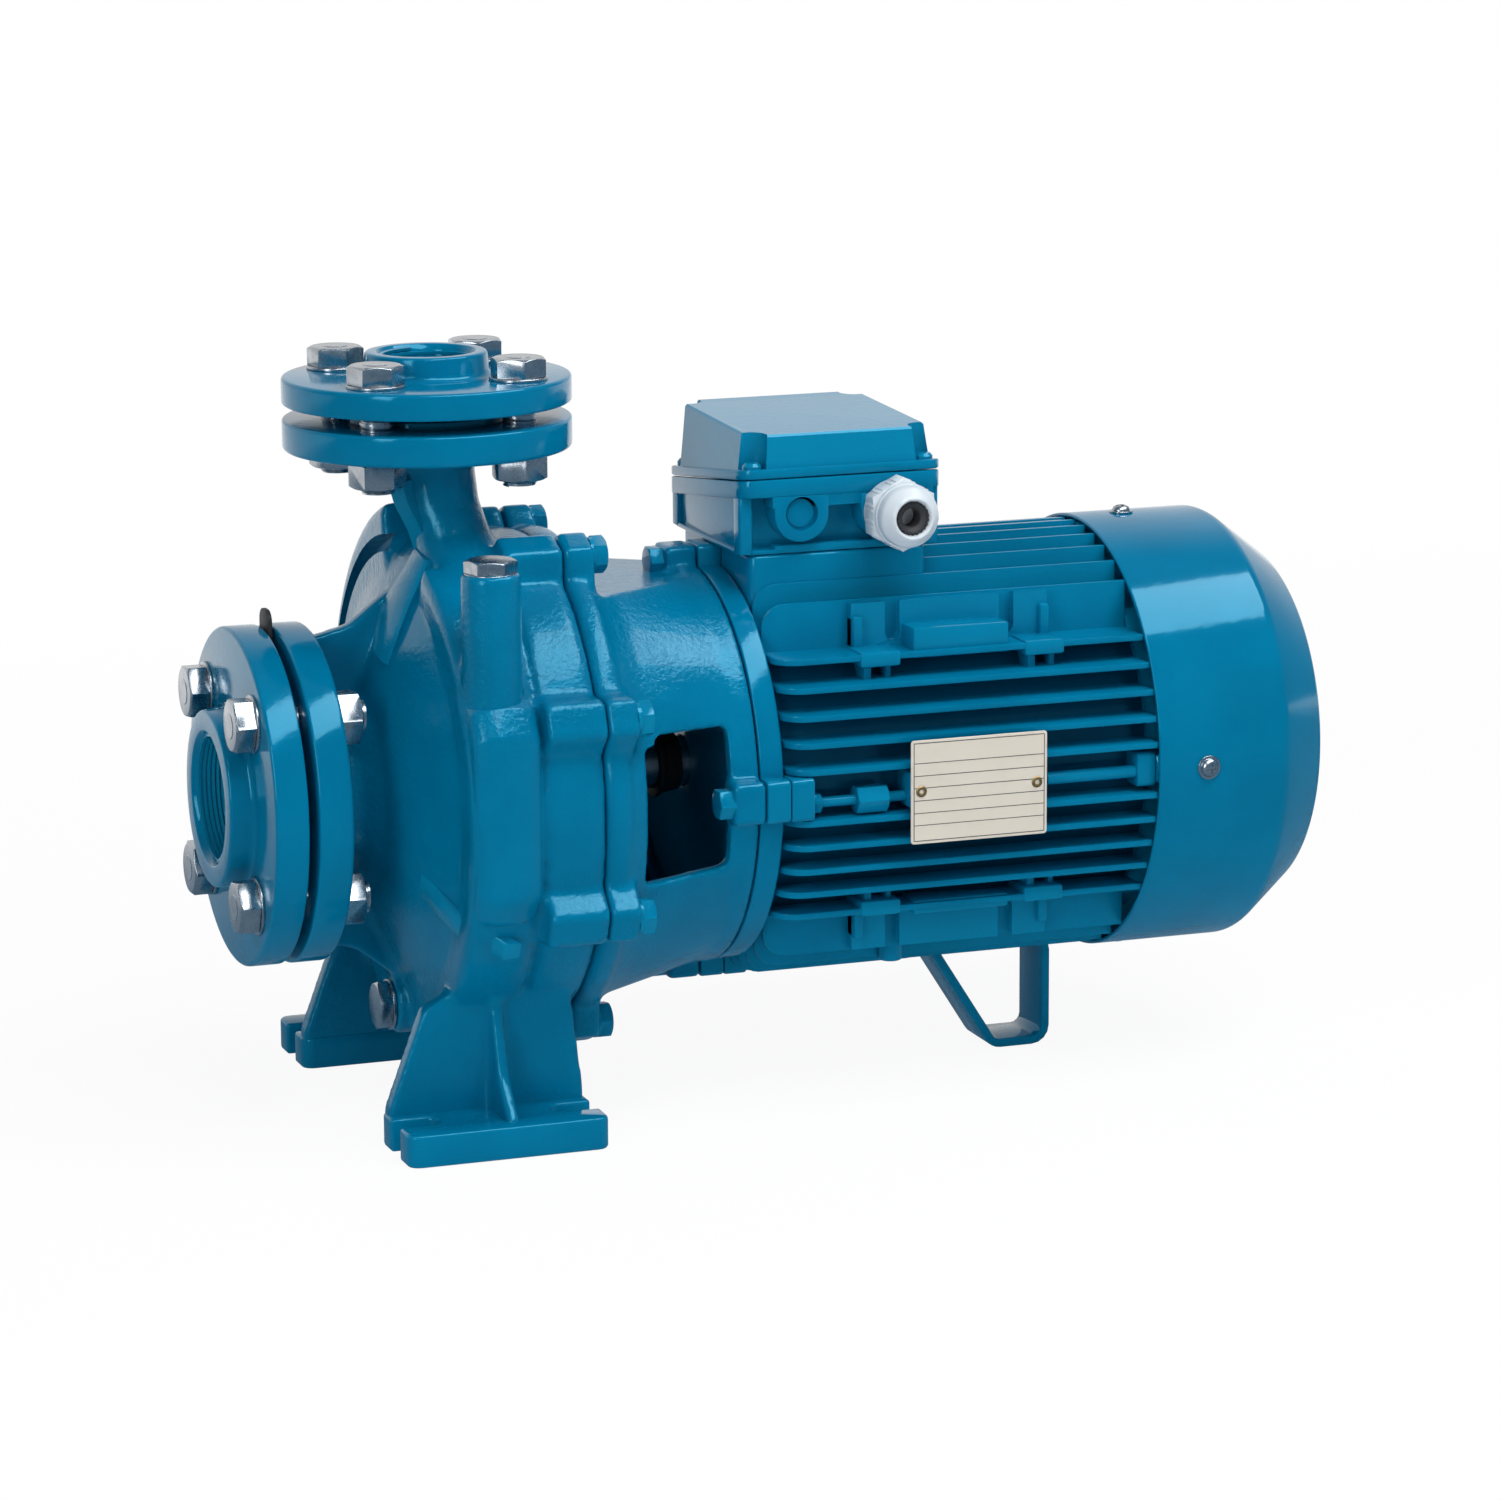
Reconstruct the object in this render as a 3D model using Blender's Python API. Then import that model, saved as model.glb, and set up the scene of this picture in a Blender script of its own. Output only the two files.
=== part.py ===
"""Close-coupled end-suction centrifugal pump, standard size 32-200, with screwed counter-flanges.

Every mesh is modelled about the crossing of the shaft line and the discharge axis: X runs along the
shaft from the suction to the fan, -Y is the side with the cable gland and Z is up.
"""

import math

import bmesh
import bpy
from mathutils import Matrix, Vector

MM = 0.001
FIT_GAP = 0.3 * MM
ROUND_STEPS = 28
COARSE_ROUND_STEPS = 18
SMALL_ROUND_STEPS = 16
DRILL_STEPS = 10
DRILL_TWIST_DEG = 4
SHARP_EDGE_DEG = 35
CUT_OVERRUN = 2 * MM
JOIN_DEPTH = 4 * MM
EDGE = 1.2 * MM

# Pump: main sizes of the standard 32-200 body
SHAFT_HEIGHT = 160 * MM
DISCHARGE_RISE = 180 * MM
SUCTION_REACH = 80 * MM

# Suction side, DN50
SUCTION_FLANGE_R = 82.5 * MM
SUCTION_FLANGE_THICK = 17 * MM
SUCTION_BOLT_CIRCLE_R = 62.5 * MM
SUCTION_BORE_R = 26 * MM
SUCTION_FACE_R = 49 * MM
SUCTION_FACE_RAISE = 1 * MM
SUCTION_GASKET_THICK = 2.4 * MM
SUCTION_COUNTER_THICK = 16.3 * MM
SUCTION_HUB_R = 43.5 * MM
SUCTION_HUB_LENGTH = 12 * MM
SUCTION_THREAD_R = 29.8 * MM
SUCTION_NECK_WALL = 15 * MM
GASKET_TAB_PROUD = 8.5 * MM
GASKET_TAB_WIDTH = 16 * MM

# Discharge side, DN32
DISCHARGE_FLANGE_R = 70 * MM
DISCHARGE_FLANGE_THICK = 15 * MM
DISCHARGE_BOLT_CIRCLE_R = 50 * MM
DISCHARGE_BORE_R = 16 * MM
DISCHARGE_FACE_R = 38 * MM
DISCHARGE_FACE_RAISE = 2 * MM
DISCHARGE_GASKET_THICK = 2.7 * MM
DISCHARGE_COUNTER_THICK = 13 * MM
DISCHARGE_HUB_R = 30 * MM
DISCHARGE_HUB_LENGTH = 11.5 * MM
DISCHARGE_THREAD_R = 20.95 * MM

FLANGE_BOLTS = 4
FLANGE_HOLE_R = 9 * MM
HUB_FILLET = 3 * MM

# Swan neck: how far down it each section lies, its half widths along X and Y and its lean to the near side
NECK_WALL = 5 * MM
NECK_FOOT_Z = 84 * MM
NECK_SECTIONS = (
    (-0.06, 25 * MM, 25 * MM, 0 * MM),
    (0.1, 21 * MM, 21 * MM, 2 * MM),
    (0.31, 20 * MM, 24 * MM, 7 * MM),
    (0.53, 22 * MM, 33 * MM, 14 * MM),
    (0.76, 26 * MM, 44 * MM, 22 * MM),
    (1.0, 28 * MM, 48 * MM, 24 * MM),
)

# Casing body
CASING_BACK_X = 49.5 * MM
BARREL_R = 122 * MM
BARREL_START_X = 12 * MM
BARREL_WALL = 16 * MM
SHOULDER_DROP = 12 * MM
SHOULDER_X = -14 * MM
SHOULDER_ROUND_X = 5 * MM
SHOULDER_ROUND_R = 6 * MM
DISH_MIDDLE_DROP = 42 * MM
DISH_MIDDLE_X = -26 * MM
DISH_START_X = -48 * MM
DISH_ROUND = 7 * MM
CASING_WALL = 8 * MM
DISH_WALL_X = 10 * MM
CHAMBER_FRONT_X = -31 * MM
CHAMBER_POCKET = 17 * MM
GUSSET_THICK = 8 * MM
GUSSET_FLANGE_SHORT = 4 * MM
GUSSET_BODY_SHORT = 14 * MM
GUSSET_BODY_DEPTH = 20 * MM

# Scroll: it rises above the barrel by these heights at its tongue, at the far side and at its end
SCROLL_HALF_WIDTH = 17 * MM
SCROLL_TONGUE_RISE = 1 * MM
SCROLL_SIDE_RISE = 5 * MM
SCROLL_END_RISE = 15 * MM
SCROLL_DEPTH = 26 * MM
SCROLL_ROUNDING = 0.7
SCROLL_START_DEG = 20
SCROLL_SIDE_DEG = 266
SCROLL_END_DEG = 350
SCROLL_STATIONS = 19

# Lugs that clamp the casing to the lantern
LUG_COUNT = 8
LUG_RISE = 12 * MM
LUG_WIDTH = 28 * MM
LUG_LENGTH = 29.5 * MM
LUG_CHAMFER = 5 * MM

# Bosses and plugs
PRIMING_BOSS_R = 14.3 * MM
PRIMING_BOSS_X = -1 * MM
PRIMING_BOSS_INSET = 18 * MM
PRIMING_BOSS_TOP = 118 * MM
DRAIN_BOSS_R = 14.5 * MM
DRAIN_BOSS_INSET = 11.2 * MM
DRAIN_BOSS_X = -24 * MM
PLUG_FLATS = 23 * MM
PLUG_HEAD = 7 * MM
PLUG_COLLAR_R = 12.5 * MM
PLUG_COLLAR = 1.5 * MM

# Feet of the casing
FOOT_LENGTH = 100 * MM
FOOT_SPAN = 240 * MM
FOOT_WIDTH = 50 * MM
FOOT_THICK = 16 * MM
FOOT_CORNER = 6 * MM
FOOT_SLOT_WIDTH = 14 * MM
FOOT_SLOT_SPACING = 70 * MM
FOOT_SLOT_TRACK = 190 * MM
LEG_THICK = 11 * MM
LEG_EDGE_INSET = 3 * MM
LEG_WAIST = 66 * MM
LEG_RISE = 75 * MM
LEG_FLARE_STEPS = 3
LEG_RIB_THICK = 6 * MM
LEG_RIB_X = 3 * MM
LEG_RIB_REACH = 32 * MM
LEG_RIB_TIP = 3 * MM

# Cover and shaft seal housing
COVER_FRONT_X = 27 * MM
COVER_PLATE_THICK = 14 * MM
COVER_RIM_WIDTH = 14 * MM
COVER_RIM_SLOPE = 4 * MM
COVER_HUB_R = 34 * MM
COVER_HUB_END_X = 70 * MM
COVER_HUB_FLARE = 7 * MM
COVER_NOSE_R = 22 * MM
COVER_NOSE_LENGTH = 14 * MM

# Lantern bracket between casing and motor
LANTERN_END_X = 134 * MM
LANTERN_WAIST_X = 75 * MM
LANTERN_WAIST_DROP = 10 * MM
LANTERN_END_DROP = 16 * MM
LANTERN_RING = 10.5 * MM
LANTERN_RING_SLOPE = 4 * MM
LANTERN_WALL = 9 * MM
LANTERN_FRONT_BORE_R = 60 * MM
LANTERN_BACK_BORE_R = 80 * MM
LANTERN_BACK_THICK = 8 * MM
LANTERN_LUG_LENGTH = 16 * MM
LANTERN_TOP_FLAT = 97 * MM
LANTERN_FLAT_THICK = 12 * MM
LANTERN_FLAT_HALF = 50 * MM
WINDOW_START_X = 73 * MM
WINDOW_END_X = 119 * MM
WINDOW_HALF_HEIGHT = 36 * MM
WINDOW_BOTTOM_RISE = 4 * MM
WINDOW_STEP_X = 6 * MM
WINDOW_STEP_Z = 5 * MM

# Lugs of the motor's tie bolts
MOTOR_LUG_R = 109.5 * MM
MOTOR_LUG_WIDTH = 21 * MM
MOTOR_LUG_LENGTH = 12 * MM
END_LUG_R = 105 * MM
END_LUG_WIDTH = 17 * MM
END_LUG_LENGTH = 10 * MM

# Motor
SHIELD_THICK = 12 * MM
SHIELD_STEP = 1 * MM
SHIELD_SPIGOT = 6 * MM
SHIELD_SPIGOT_SLOPE = 12 * MM
FRAME_BODY_R = 91 * MM
FRAME_FIN_R = 108 * MM
FRAME_END_X = 339 * MM
FRAME_FIN_STEP = 12.6 * MM
FRAME_FIN_THICK = 3 * MM
FRAME_FIN_INSET = 1 * MM
FRAME_FIN_PAIRS = 5
FIN_ROUND_R = 12 * MM
FIN_ROUND_STEPS = 2
ROTOR_TUNNEL_R = 16 * MM
BOX_PAD_CENTRE_X = 193.3 * MM
BOX_PAD_LENGTH = 92.4 * MM
BOX_PAD_WIDTH = 100 * MM
BOX_PAD_CORNER = 4 * MM
BOX_PAD_DEPTH = 40 * MM
REAR_SHIELD_THICK = 14 * MM
REAR_SHIELD_R = 95 * MM
REAR_SHIELD_EDGE = 3 * MM
REAR_HUB_R = 34 * MM
REAR_HUB_FLARE = 6 * MM
REAR_HUB_LENGTH = 8 * MM
COVER_ARM_X = 372 * MM
COVER_ARM_WIDTH = 14 * MM
COVER_ARM_THICK = 5 * MM

# Seats for loose feet, in the open corners between the side fins and the upright fins
SEAT_START_X = 192 * MM
SEAT_END_X = 295 * MM
SEAT_PLATE_THICK = 5 * MM
SEAT_HOLE_SPACING = 60 * MM
SEAT_HOLE_R = 4.5 * MM
SEAT_BLOCK_LENGTH = 50 * MM
SEAT_BLOCK_REACH = 21 * MM
SEAT_BLOCK_RISE = 11 * MM
SEAT_PAD_LENGTH = 21 * MM
SEAT_PAD_RISE = 5 * MM
SEAT_PAD_REACH = 24 * MM

# Shaft line
SHAFT_R = 12.5 * MM
SHAFT_RUNNING_GAP = 0.6 * MM
SHAFT_CHAMFER = 1 * MM
SHAFT_FRONT_X = -4 * MM
SHAFT_END_X = 404 * MM
SLINGER_X = 112 * MM
SLINGER_RISE = 4.5 * MM
SLINGER_THICK = 4 * MM
SLINGER_LIP = 1.5 * MM
IMPELLER_TIP_GAP = 11 * MM
IMPELLER_EYE_R = 26 * MM
IMPELLER_NECK_WALL = 4 * MM
IMPELLER_NOSE_X = -26 * MM
IMPELLER_BACK_X = 16 * MM
IMPELLER_OUTLET = 8 * MM
IMPELLER_SHROUD = 4 * MM
IMPELLER_SHROUD_RISE = 10 * MM
IMPELLER_SHROUD_FLARE = 8 * MM
IMPELLER_HUB_WALL = 6.5 * MM
IMPELLER_HUB_FLARE = 14 * MM
IMPELLER_HUB_BACK = 6 * MM
IMPELLER_VANES = 6
VANE_THICK = 4 * MM
VANE_WRAP_DEG = 110
VANE_STATIONS = 7
FAN_R = 92 * MM
FAN_DISC_R = 64 * MM
FAN_DISC_THICK = 3 * MM
FAN_HUB_R = 26 * MM
FAN_HUB_DRAFT = 3 * MM
FAN_START_X = 378 * MM
FAN_LENGTH = 22 * MM
FAN_BLADES = 8
FAN_BLADE_THICK = 3.5 * MM

# Fan cover
FAN_COVER_R = 110 * MM
FAN_COVER_SHEET = 2 * MM
FAN_COVER_CONE_X = 408 * MM
FAN_COVER_END_X = 438 * MM
FAN_COVER_END_R = 86 * MM
FAN_COVER_BEND = 3 * MM
GRILLE_OPENING_R = 74 * MM
GRILLE_RIM = 5 * MM
GRILLE_THICK = 2.5 * MM
GRILLE_RINGS = 2
GRILLE_RING_WIDTH = 4 * MM
GRILLE_SPOKES = 6
GRILLE_SPOKE_TURN = 0.25
GRILLE_SPOKE_SUNK = 0.2 * MM
GRILLE_HUB_R = 16 * MM

# Terminal box
BOX_CENTRE_X = 193.5 * MM
BOX_HALF_LENGTH = 52.5 * MM
BOX_HALF_DEPTH = 56 * MM
BOX_END_INSET = 2 * MM
BOX_SIDE_INSET = 13 * MM
BOX_BODY_CORNER = 5 * MM
BOX_FLANGE = 9 * MM
BOX_SEAM_Z = 141 * MM
BOX_SEAM_TILT_DEG = 7
BOX_SEAM_GAP = 0.4 * MM
BOX_TOP_Z = 168.5 * MM
BOX_TOP_TILT_DEG = 2
BOX_CORNER = 9 * MM
LID_FLANGE = 8 * MM
LID_FOOT_INSET = 2.5 * MM
LID_TOP_INSET = 5 * MM
LID_CORNER_CUT = 4 * MM
LID_TOP_EDGE = 1 * MM
LID_SCREW_INSET = 8 * MM
LID_SCREW_ROOM_R = 7.5 * MM
KNOCKOUT_X = 172 * MM
KNOCKOUT_Z = 130 * MM
KNOCKOUT_BOSS_R = 15 * MM
KNOCKOUT_SHORT = 1 * MM
KNOCKOUT_R = 8 * MM
KNOCKOUT_DEPTH = 2 * MM
APRON_START_X = 157 * MM
APRON_END_X = 241 * MM
APRON_Z = 133 * MM
APRON_SHORT = 0.6 * MM

# Cable gland
GLAND_X = 219 * MM
GLAND_Z = 129 * MM
GLAND_SEAT_R = 16.5 * MM
GLAND_SEAT_PROUD = 0.6 * MM
GLAND_BODY_FLATS = 32 * MM
GLAND_BODY_LENGTH = 15 * MM
GLAND_CAP_R = 15.8 * MM
GLAND_CAP_LENGTH = 13 * MM
GLAND_CAP_DOME = 7 * MM
GLAND_CAP_MOUTH = 6 * MM
GLAND_BORE_R = 8 * MM
GLAND_CABLE_R = 4.6 * MM
GLAND_SEAL_SHORT = 1 * MM

# Strap foot under the motor
STRAP_WIDTH = 30 * MM
STRAP_THICK = 4.5 * MM
STRAP_REAR_X = 321 * MM
STRAP_FLOOR_LENGTH = 32 * MM
STRAP_LEG_SLANT = 34 * MM
STRAP_TAB = 20 * MM
STRAP_TOP_DROP = 106 * MM
STRAP_PAD_THICK = 22 * MM
STRAP_PAD_CORNER = 3 * MM
STRAP_BEND_ROOM = 9 * MM

# Places that follow from the sizes above
SUCTION_FACE_X = -SUCTION_REACH
SUCTION_NECK_R = SUCTION_BORE_R + SUCTION_NECK_WALL
SUCTION_COUNTER_X = SUCTION_FACE_X - SUCTION_FACE_RAISE - SUCTION_GASKET_THICK - 2 * FIT_GAP
SUCTION_END_X = SUCTION_COUNTER_X - SUCTION_FACE_RAISE - SUCTION_COUNTER_THICK - SUCTION_HUB_LENGTH
DISCHARGE_UNDER = DISCHARGE_RISE - DISCHARGE_FLANGE_THICK
DISCHARGE_COUNTER_Z = (
    DISCHARGE_RISE + DISCHARGE_FACE_RAISE + DISCHARGE_GASKET_THICK + 2 * FIT_GAP
)
CHAMBER_R = BARREL_R - BARREL_WALL
SHOULDER_R = BARREL_R - SHOULDER_DROP
SCROLL_INNER_R = BARREL_R - SCROLL_DEPTH
LUG_OUTER_R = BARREL_R + LUG_RISE
LUG_STEP_DEG = 360 / LUG_COUNT
PRIMING_BOSS_Y = PRIMING_BOSS_INSET - BARREL_R
DRAIN_BOSS_Z = DRAIN_BOSS_INSET - BARREL_R
COVER_NOSE_END_X = COVER_HUB_END_X + COVER_NOSE_LENGTH
SHAFT_BORE_R = SHAFT_R + SHAFT_RUNNING_GAP
ROTOR_BORE_R = SHAFT_R + FIT_GAP
IMPELLER_R = CHAMBER_R - IMPELLER_TIP_GAP
IMPELLER_HUB_R = SHAFT_R + IMPELLER_HUB_WALL
LANTERN_START_X = CASING_BACK_X + FIT_GAP
LANTERN_LUG_END_X = LANTERN_START_X + LANTERN_LUG_LENGTH
LANTERN_WAIST_R = BARREL_R - LANTERN_WAIST_DROP
LANTERN_END_R = BARREL_R - LANTERN_END_DROP
SHIELD_START_X = LANTERN_END_X + FIT_GAP
FRAME_START_X = SHIELD_START_X + SHIELD_THICK + FIT_GAP
FRAME_PAD_TOP = MOTOR_LUG_R
REAR_SHIELD_X = FRAME_END_X + FIT_GAP
COVER_INNER_R = FAN_COVER_R - FAN_COVER_SHEET
STRAP_FLOOR_FRONT_X = STRAP_REAR_X - STRAP_FLOOR_LENGTH
STRAP_TOP_FRONT_X = STRAP_FLOOR_FRONT_X - STRAP_LEG_SLANT
BODY_MIDDLE_X = (SUCTION_END_X + FAN_COVER_END_X) / 2

ENAMEL = (0.0, 0.16, 0.33, 1.0)
DARK_RUBBER = (0.02, 0.02, 0.022, 1.0)
ZINC = (0.62, 0.62, 0.6, 1.0)
GLAND_GREY = (0.72, 0.74, 0.76, 1.0)
STEEL = (0.45, 0.45, 0.46, 1.0)
BRONZE = (0.45, 0.32, 0.16, 1.0)


def clear_scene():
    for thing in list(bpy.data.objects):
        bpy.data.objects.remove(thing, do_unlink=True)


def finish_material(name, colour, roughness, metallic):
    made = bpy.data.materials.get(name) or bpy.data.materials.new(name)
    made.use_nodes = True
    shader = made.node_tree.nodes["Principled BSDF"]
    shader.inputs["Base Color"].default_value = colour
    shader.inputs["Roughness"].default_value = roughness
    shader.inputs["Metallic"].default_value = metallic
    return made


def piece_from(name, shape):
    """Turn a bmesh into an object with outward faces."""
    bmesh.ops.recalc_face_normals(shape, faces=shape.faces[:])
    mesh = bpy.data.meshes.new(name)
    shape.to_mesh(mesh)
    shape.free()
    made = bpy.data.objects.new(name, mesh)
    bpy.context.scene.collection.objects.link(made)
    return made


def combine(body, tool, operation):
    """Join a tool piece to a body, or cut it away, and drop the tool."""
    modifier = body.modifiers.new(operation.title(), "BOOLEAN")
    modifier.operation = operation
    modifier.solver = "EXACT"
    modifier.object = tool
    graph = bpy.context.evaluated_depsgraph_get()
    graph.update()
    mesh = bpy.data.meshes.new_from_object(body.evaluated_get(graph))
    body.modifiers.clear()
    old = body.data
    body.data = mesh
    bpy.data.meshes.remove(old)
    bpy.data.objects.remove(tool, do_unlink=True)
    return body


def fuse(body, *tools):
    for tool in tools:
        combine(body, tool, "UNION")
    return body


def cut(body, *tools):
    for tool in tools:
        combine(body, tool, "DIFFERENCE")
    return body


def place(thing, matrix):
    thing.data.transform(matrix)
    return thing


def move(x, y, z):
    return Matrix.Translation((x, y, z))


def turn_x(degrees):
    return Matrix.Rotation(math.radians(degrees), 4, "X")


# A turned piece points along X. These stand it up along Z, turn it to the near side, or turn it about.
UPRIGHT = Matrix.Rotation(math.radians(-90), 4, "Y")
TO_NEAR_SIDE = Matrix.Rotation(math.radians(-90), 4, "Z")
TURNED_ABOUT = Matrix.Rotation(math.radians(180), 4, "Z")


def turned(name, profile, steps=ROUND_STEPS, ring=False):
    """Revolve (x, radius) points about X. A ring's profile closes on itself and stays off the axis."""
    shape = bmesh.new()
    rows = []
    for x, radius in profile:
        if radius <= 0:
            rows.append([shape.verts.new((x, 0, 0))])
            continue
        angles = (2 * math.pi * step / steps for step in range(steps))
        rows.append(
            [shape.verts.new((x, radius * math.sin(a), radius * math.cos(a))) for a in angles]
        )
    pairs = list(zip(rows, rows[1:]))
    if ring:
        pairs.append((rows[-1], rows[0]))
    for first, second in pairs:
        for step in range(steps):
            corners = [first[step % len(first)], first[(step + 1) % len(first)]]
            corners += [second[(step + 1) % len(second)], second[step % len(second)]]
            distinct = list(dict.fromkeys(corners))
            if len(distinct) > 2:
                shape.faces.new(distinct)
    return piece_from(name, shape)


def drum(name, start_x, end_x, radius, steps=SMALL_ROUND_STEPS):
    return turned(name, [(start_x, 0), (start_x, radius), (end_x, radius), (end_x, 0)], steps)


def washer(name, start_x, end_x, inner_r, outer_r, steps=ROUND_STEPS):
    profile = [(start_x, inner_r), (start_x, outer_r), (end_x, outer_r), (end_x, inner_r)]
    return turned(name, profile, steps, ring=True)


def loft(name, sections):
    """Skin a row of closed sections that have the same number of points, and cap both ends."""
    shape = bmesh.new()
    rows = [[shape.verts.new(point) for point in section] for section in sections]
    count = len(rows[0])
    for first, second in zip(rows, rows[1:]):
        for step in range(count):
            after = (step + 1) % count
            shape.faces.new((first[step], first[after], second[after], second[step]))
    shape.faces.new(rows[0])
    shape.faces.new(list(reversed(rows[-1])))
    return piece_from(name, shape)


def slab(name, outline, start, end, axis):
    """Extrude a closed outline of pairs along one axis, X, Y or Z."""

    def point(pair, level):
        first, second = pair
        places = {"X": (level, first, second), "Y": (first, level, second), "Z": (first, second, level)}
        return places[axis]

    return loft(name, [[point(pair, level) for pair in outline] for level in (start, end)])


def block(name, low, high):
    """Box between two opposite corners, given in either order."""
    outline = [(low[0], low[1]), (high[0], low[1]), (high[0], high[1]), (low[0], high[1])]
    return slab(name, outline, low[2], high[2], "Z")


def rounded_rectangle(half_a, half_b, radius, centre=(0.0, 0.0), corner_steps=3):
    """Corner points of a rectangle with round corners, going round once."""
    outline = []
    for quarter, (sign_a, sign_b) in enumerate(((1, 1), (-1, 1), (-1, -1), (1, -1))):
        for step in range(corner_steps + 1):
            angle = math.radians(90 * (quarter + step / corner_steps))
            a = centre[0] + sign_a * (half_a - radius) + radius * math.cos(angle)
            b = centre[1] + sign_b * (half_b - radius) + radius * math.sin(angle)
            outline.append((a, b))
    return outline


def hexagon(flats):
    corner = flats / math.sqrt(3)
    return [
        (corner * math.cos(math.radians(60 * side)), corner * math.sin(math.radians(60 * side)))
        for side in range(6)
    ]


def drill_bolt_circle(body, start_x, end_x, circle_r, frame=Matrix.Identity(4)):
    """Drill the flange holes, off the centre lines as flange holes are."""
    for number in range(FLANGE_BOLTS):
        degrees = 360 * (number + 0.5) / FLANGE_BOLTS
        drill = drum("drill", start_x - CUT_OVERRUN, end_x + CUT_OVERRUN, FLANGE_HOLE_R, DRILL_STEPS)
        place(drill, turn_x(DRILL_TWIST_DEG))
        place(drill, frame @ turn_x(degrees) @ move(0, 0, circle_r))
        cut(body, drill)
    return body


def lug_outline(width, inner_r, outer_r):
    """Outline across the shaft of one lug that stands up from a round body."""
    half = width / 2
    return [
        (-half, inner_r),
        (half, inner_r),
        (half, outer_r - LUG_CHAMFER),
        (half - LUG_CHAMFER, outer_r),
        (LUG_CHAMFER - half, outer_r),
        (-half, outer_r - LUG_CHAMFER),
    ]


def clamping_lugs(body, start_x, end_x, inner_r):
    """Add the lugs round the joint of casing and lantern."""
    for number in range(LUG_COUNT):
        lug = slab("lug", lug_outline(LUG_WIDTH, inner_r, LUG_OUTER_R), start_x, end_x, "X")
        fuse(body, place(lug, turn_x(LUG_STEP_DEG * (number + 0.5))))
    return body


def tie_lugs(body, start_x, end_x, inner_r, outer_r=MOTOR_LUG_R, width=MOTOR_LUG_WIDTH):
    """Add the lugs of the tie bolts, at the top, the bottom and both sides."""
    for quarter in range(4):
        lug = slab("lug", lug_outline(width, inner_r, outer_r), start_x, end_x, "X")
        fuse(body, place(lug, turn_x(90 * quarter)))
    return body


def scroll_radius(degrees):
    """Outer radius of the scroll, which grows from its tongue and fastest past the far side."""
    if degrees <= SCROLL_SIDE_DEG:
        share = (degrees - SCROLL_START_DEG) / (SCROLL_SIDE_DEG - SCROLL_START_DEG)
        return BARREL_R + SCROLL_TONGUE_RISE + share * (SCROLL_SIDE_RISE - SCROLL_TONGUE_RISE)
    share = (degrees - SCROLL_SIDE_DEG) / (SCROLL_END_DEG - SCROLL_SIDE_DEG)
    return BARREL_R + SCROLL_SIDE_RISE + share**2 * (SCROLL_END_RISE - SCROLL_SIDE_RISE)


def scroll(name, wall):
    """Loft the scroll round the shaft. A wall over nothing gives the waterway inside it."""
    sections = []
    for station in range(SCROLL_STATIONS):
        share = station / (SCROLL_STATIONS - 1)
        degrees = SCROLL_START_DEG + share * (SCROLL_END_DEG - SCROLL_START_DEG)
        outer = scroll_radius(degrees) - wall
        half_width = SCROLL_HALF_WIDTH - wall
        middle = (outer + SCROLL_INNER_R) / 2
        half_depth = (outer - SCROLL_INNER_R) / 2
        corner = min(half_width, half_depth) * SCROLL_ROUNDING
        outline = rounded_rectangle(half_width, half_depth, corner, (0, middle), 2)
        angle = math.radians(degrees)
        sections.append([(x, -r * math.sin(angle), r * math.cos(angle)) for x, r in outline])
    return loft(name, sections)


def oval(half_x, half_y, centre_y, level):
    points = []
    for step in range(SMALL_ROUND_STEPS):
        angle = 2 * math.pi * step / SMALL_ROUND_STEPS
        points.append((half_x * math.cos(angle), centre_y + half_y * math.sin(angle), level))
    return points


def discharge_neck():
    """Swan neck that widens from the discharge flange down into the near side of the body."""
    run = DISCHARGE_UNDER - NECK_FOOT_Z
    sections = []
    for share, half_x, half_y, lean in NECK_SECTIONS:
        least = DISCHARGE_BORE_R + NECK_WALL / 2
        sections.append(oval(max(half_x, least), max(half_y, least), -lean, DISCHARGE_UNDER - share * run))
    return loft("neck", sections)


def leg_outline():
    """Side view of a leg: narrow where it meets the body, flaring out to the pad in a curve."""
    floor = -SHAFT_HEIGHT
    half_base = FOOT_LENGTH / 2 - LEG_EDGE_INSET
    half_waist = LEG_WAIST / 2
    flare = []
    for step in range(LEG_FLARE_STEPS + 1):
        share = step / LEG_FLARE_STEPS
        half = half_waist + (half_base - half_waist) * share**2
        flare.append((half, floor + LEG_RISE + (FOOT_THICK - LEG_RISE) * share))
    foot = [(half_base, floor + FOOT_THICK / 2), (-half_base, floor + FOOT_THICK / 2)]
    return flare + foot + [(-half, z) for half, z in reversed(flare)]


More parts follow.
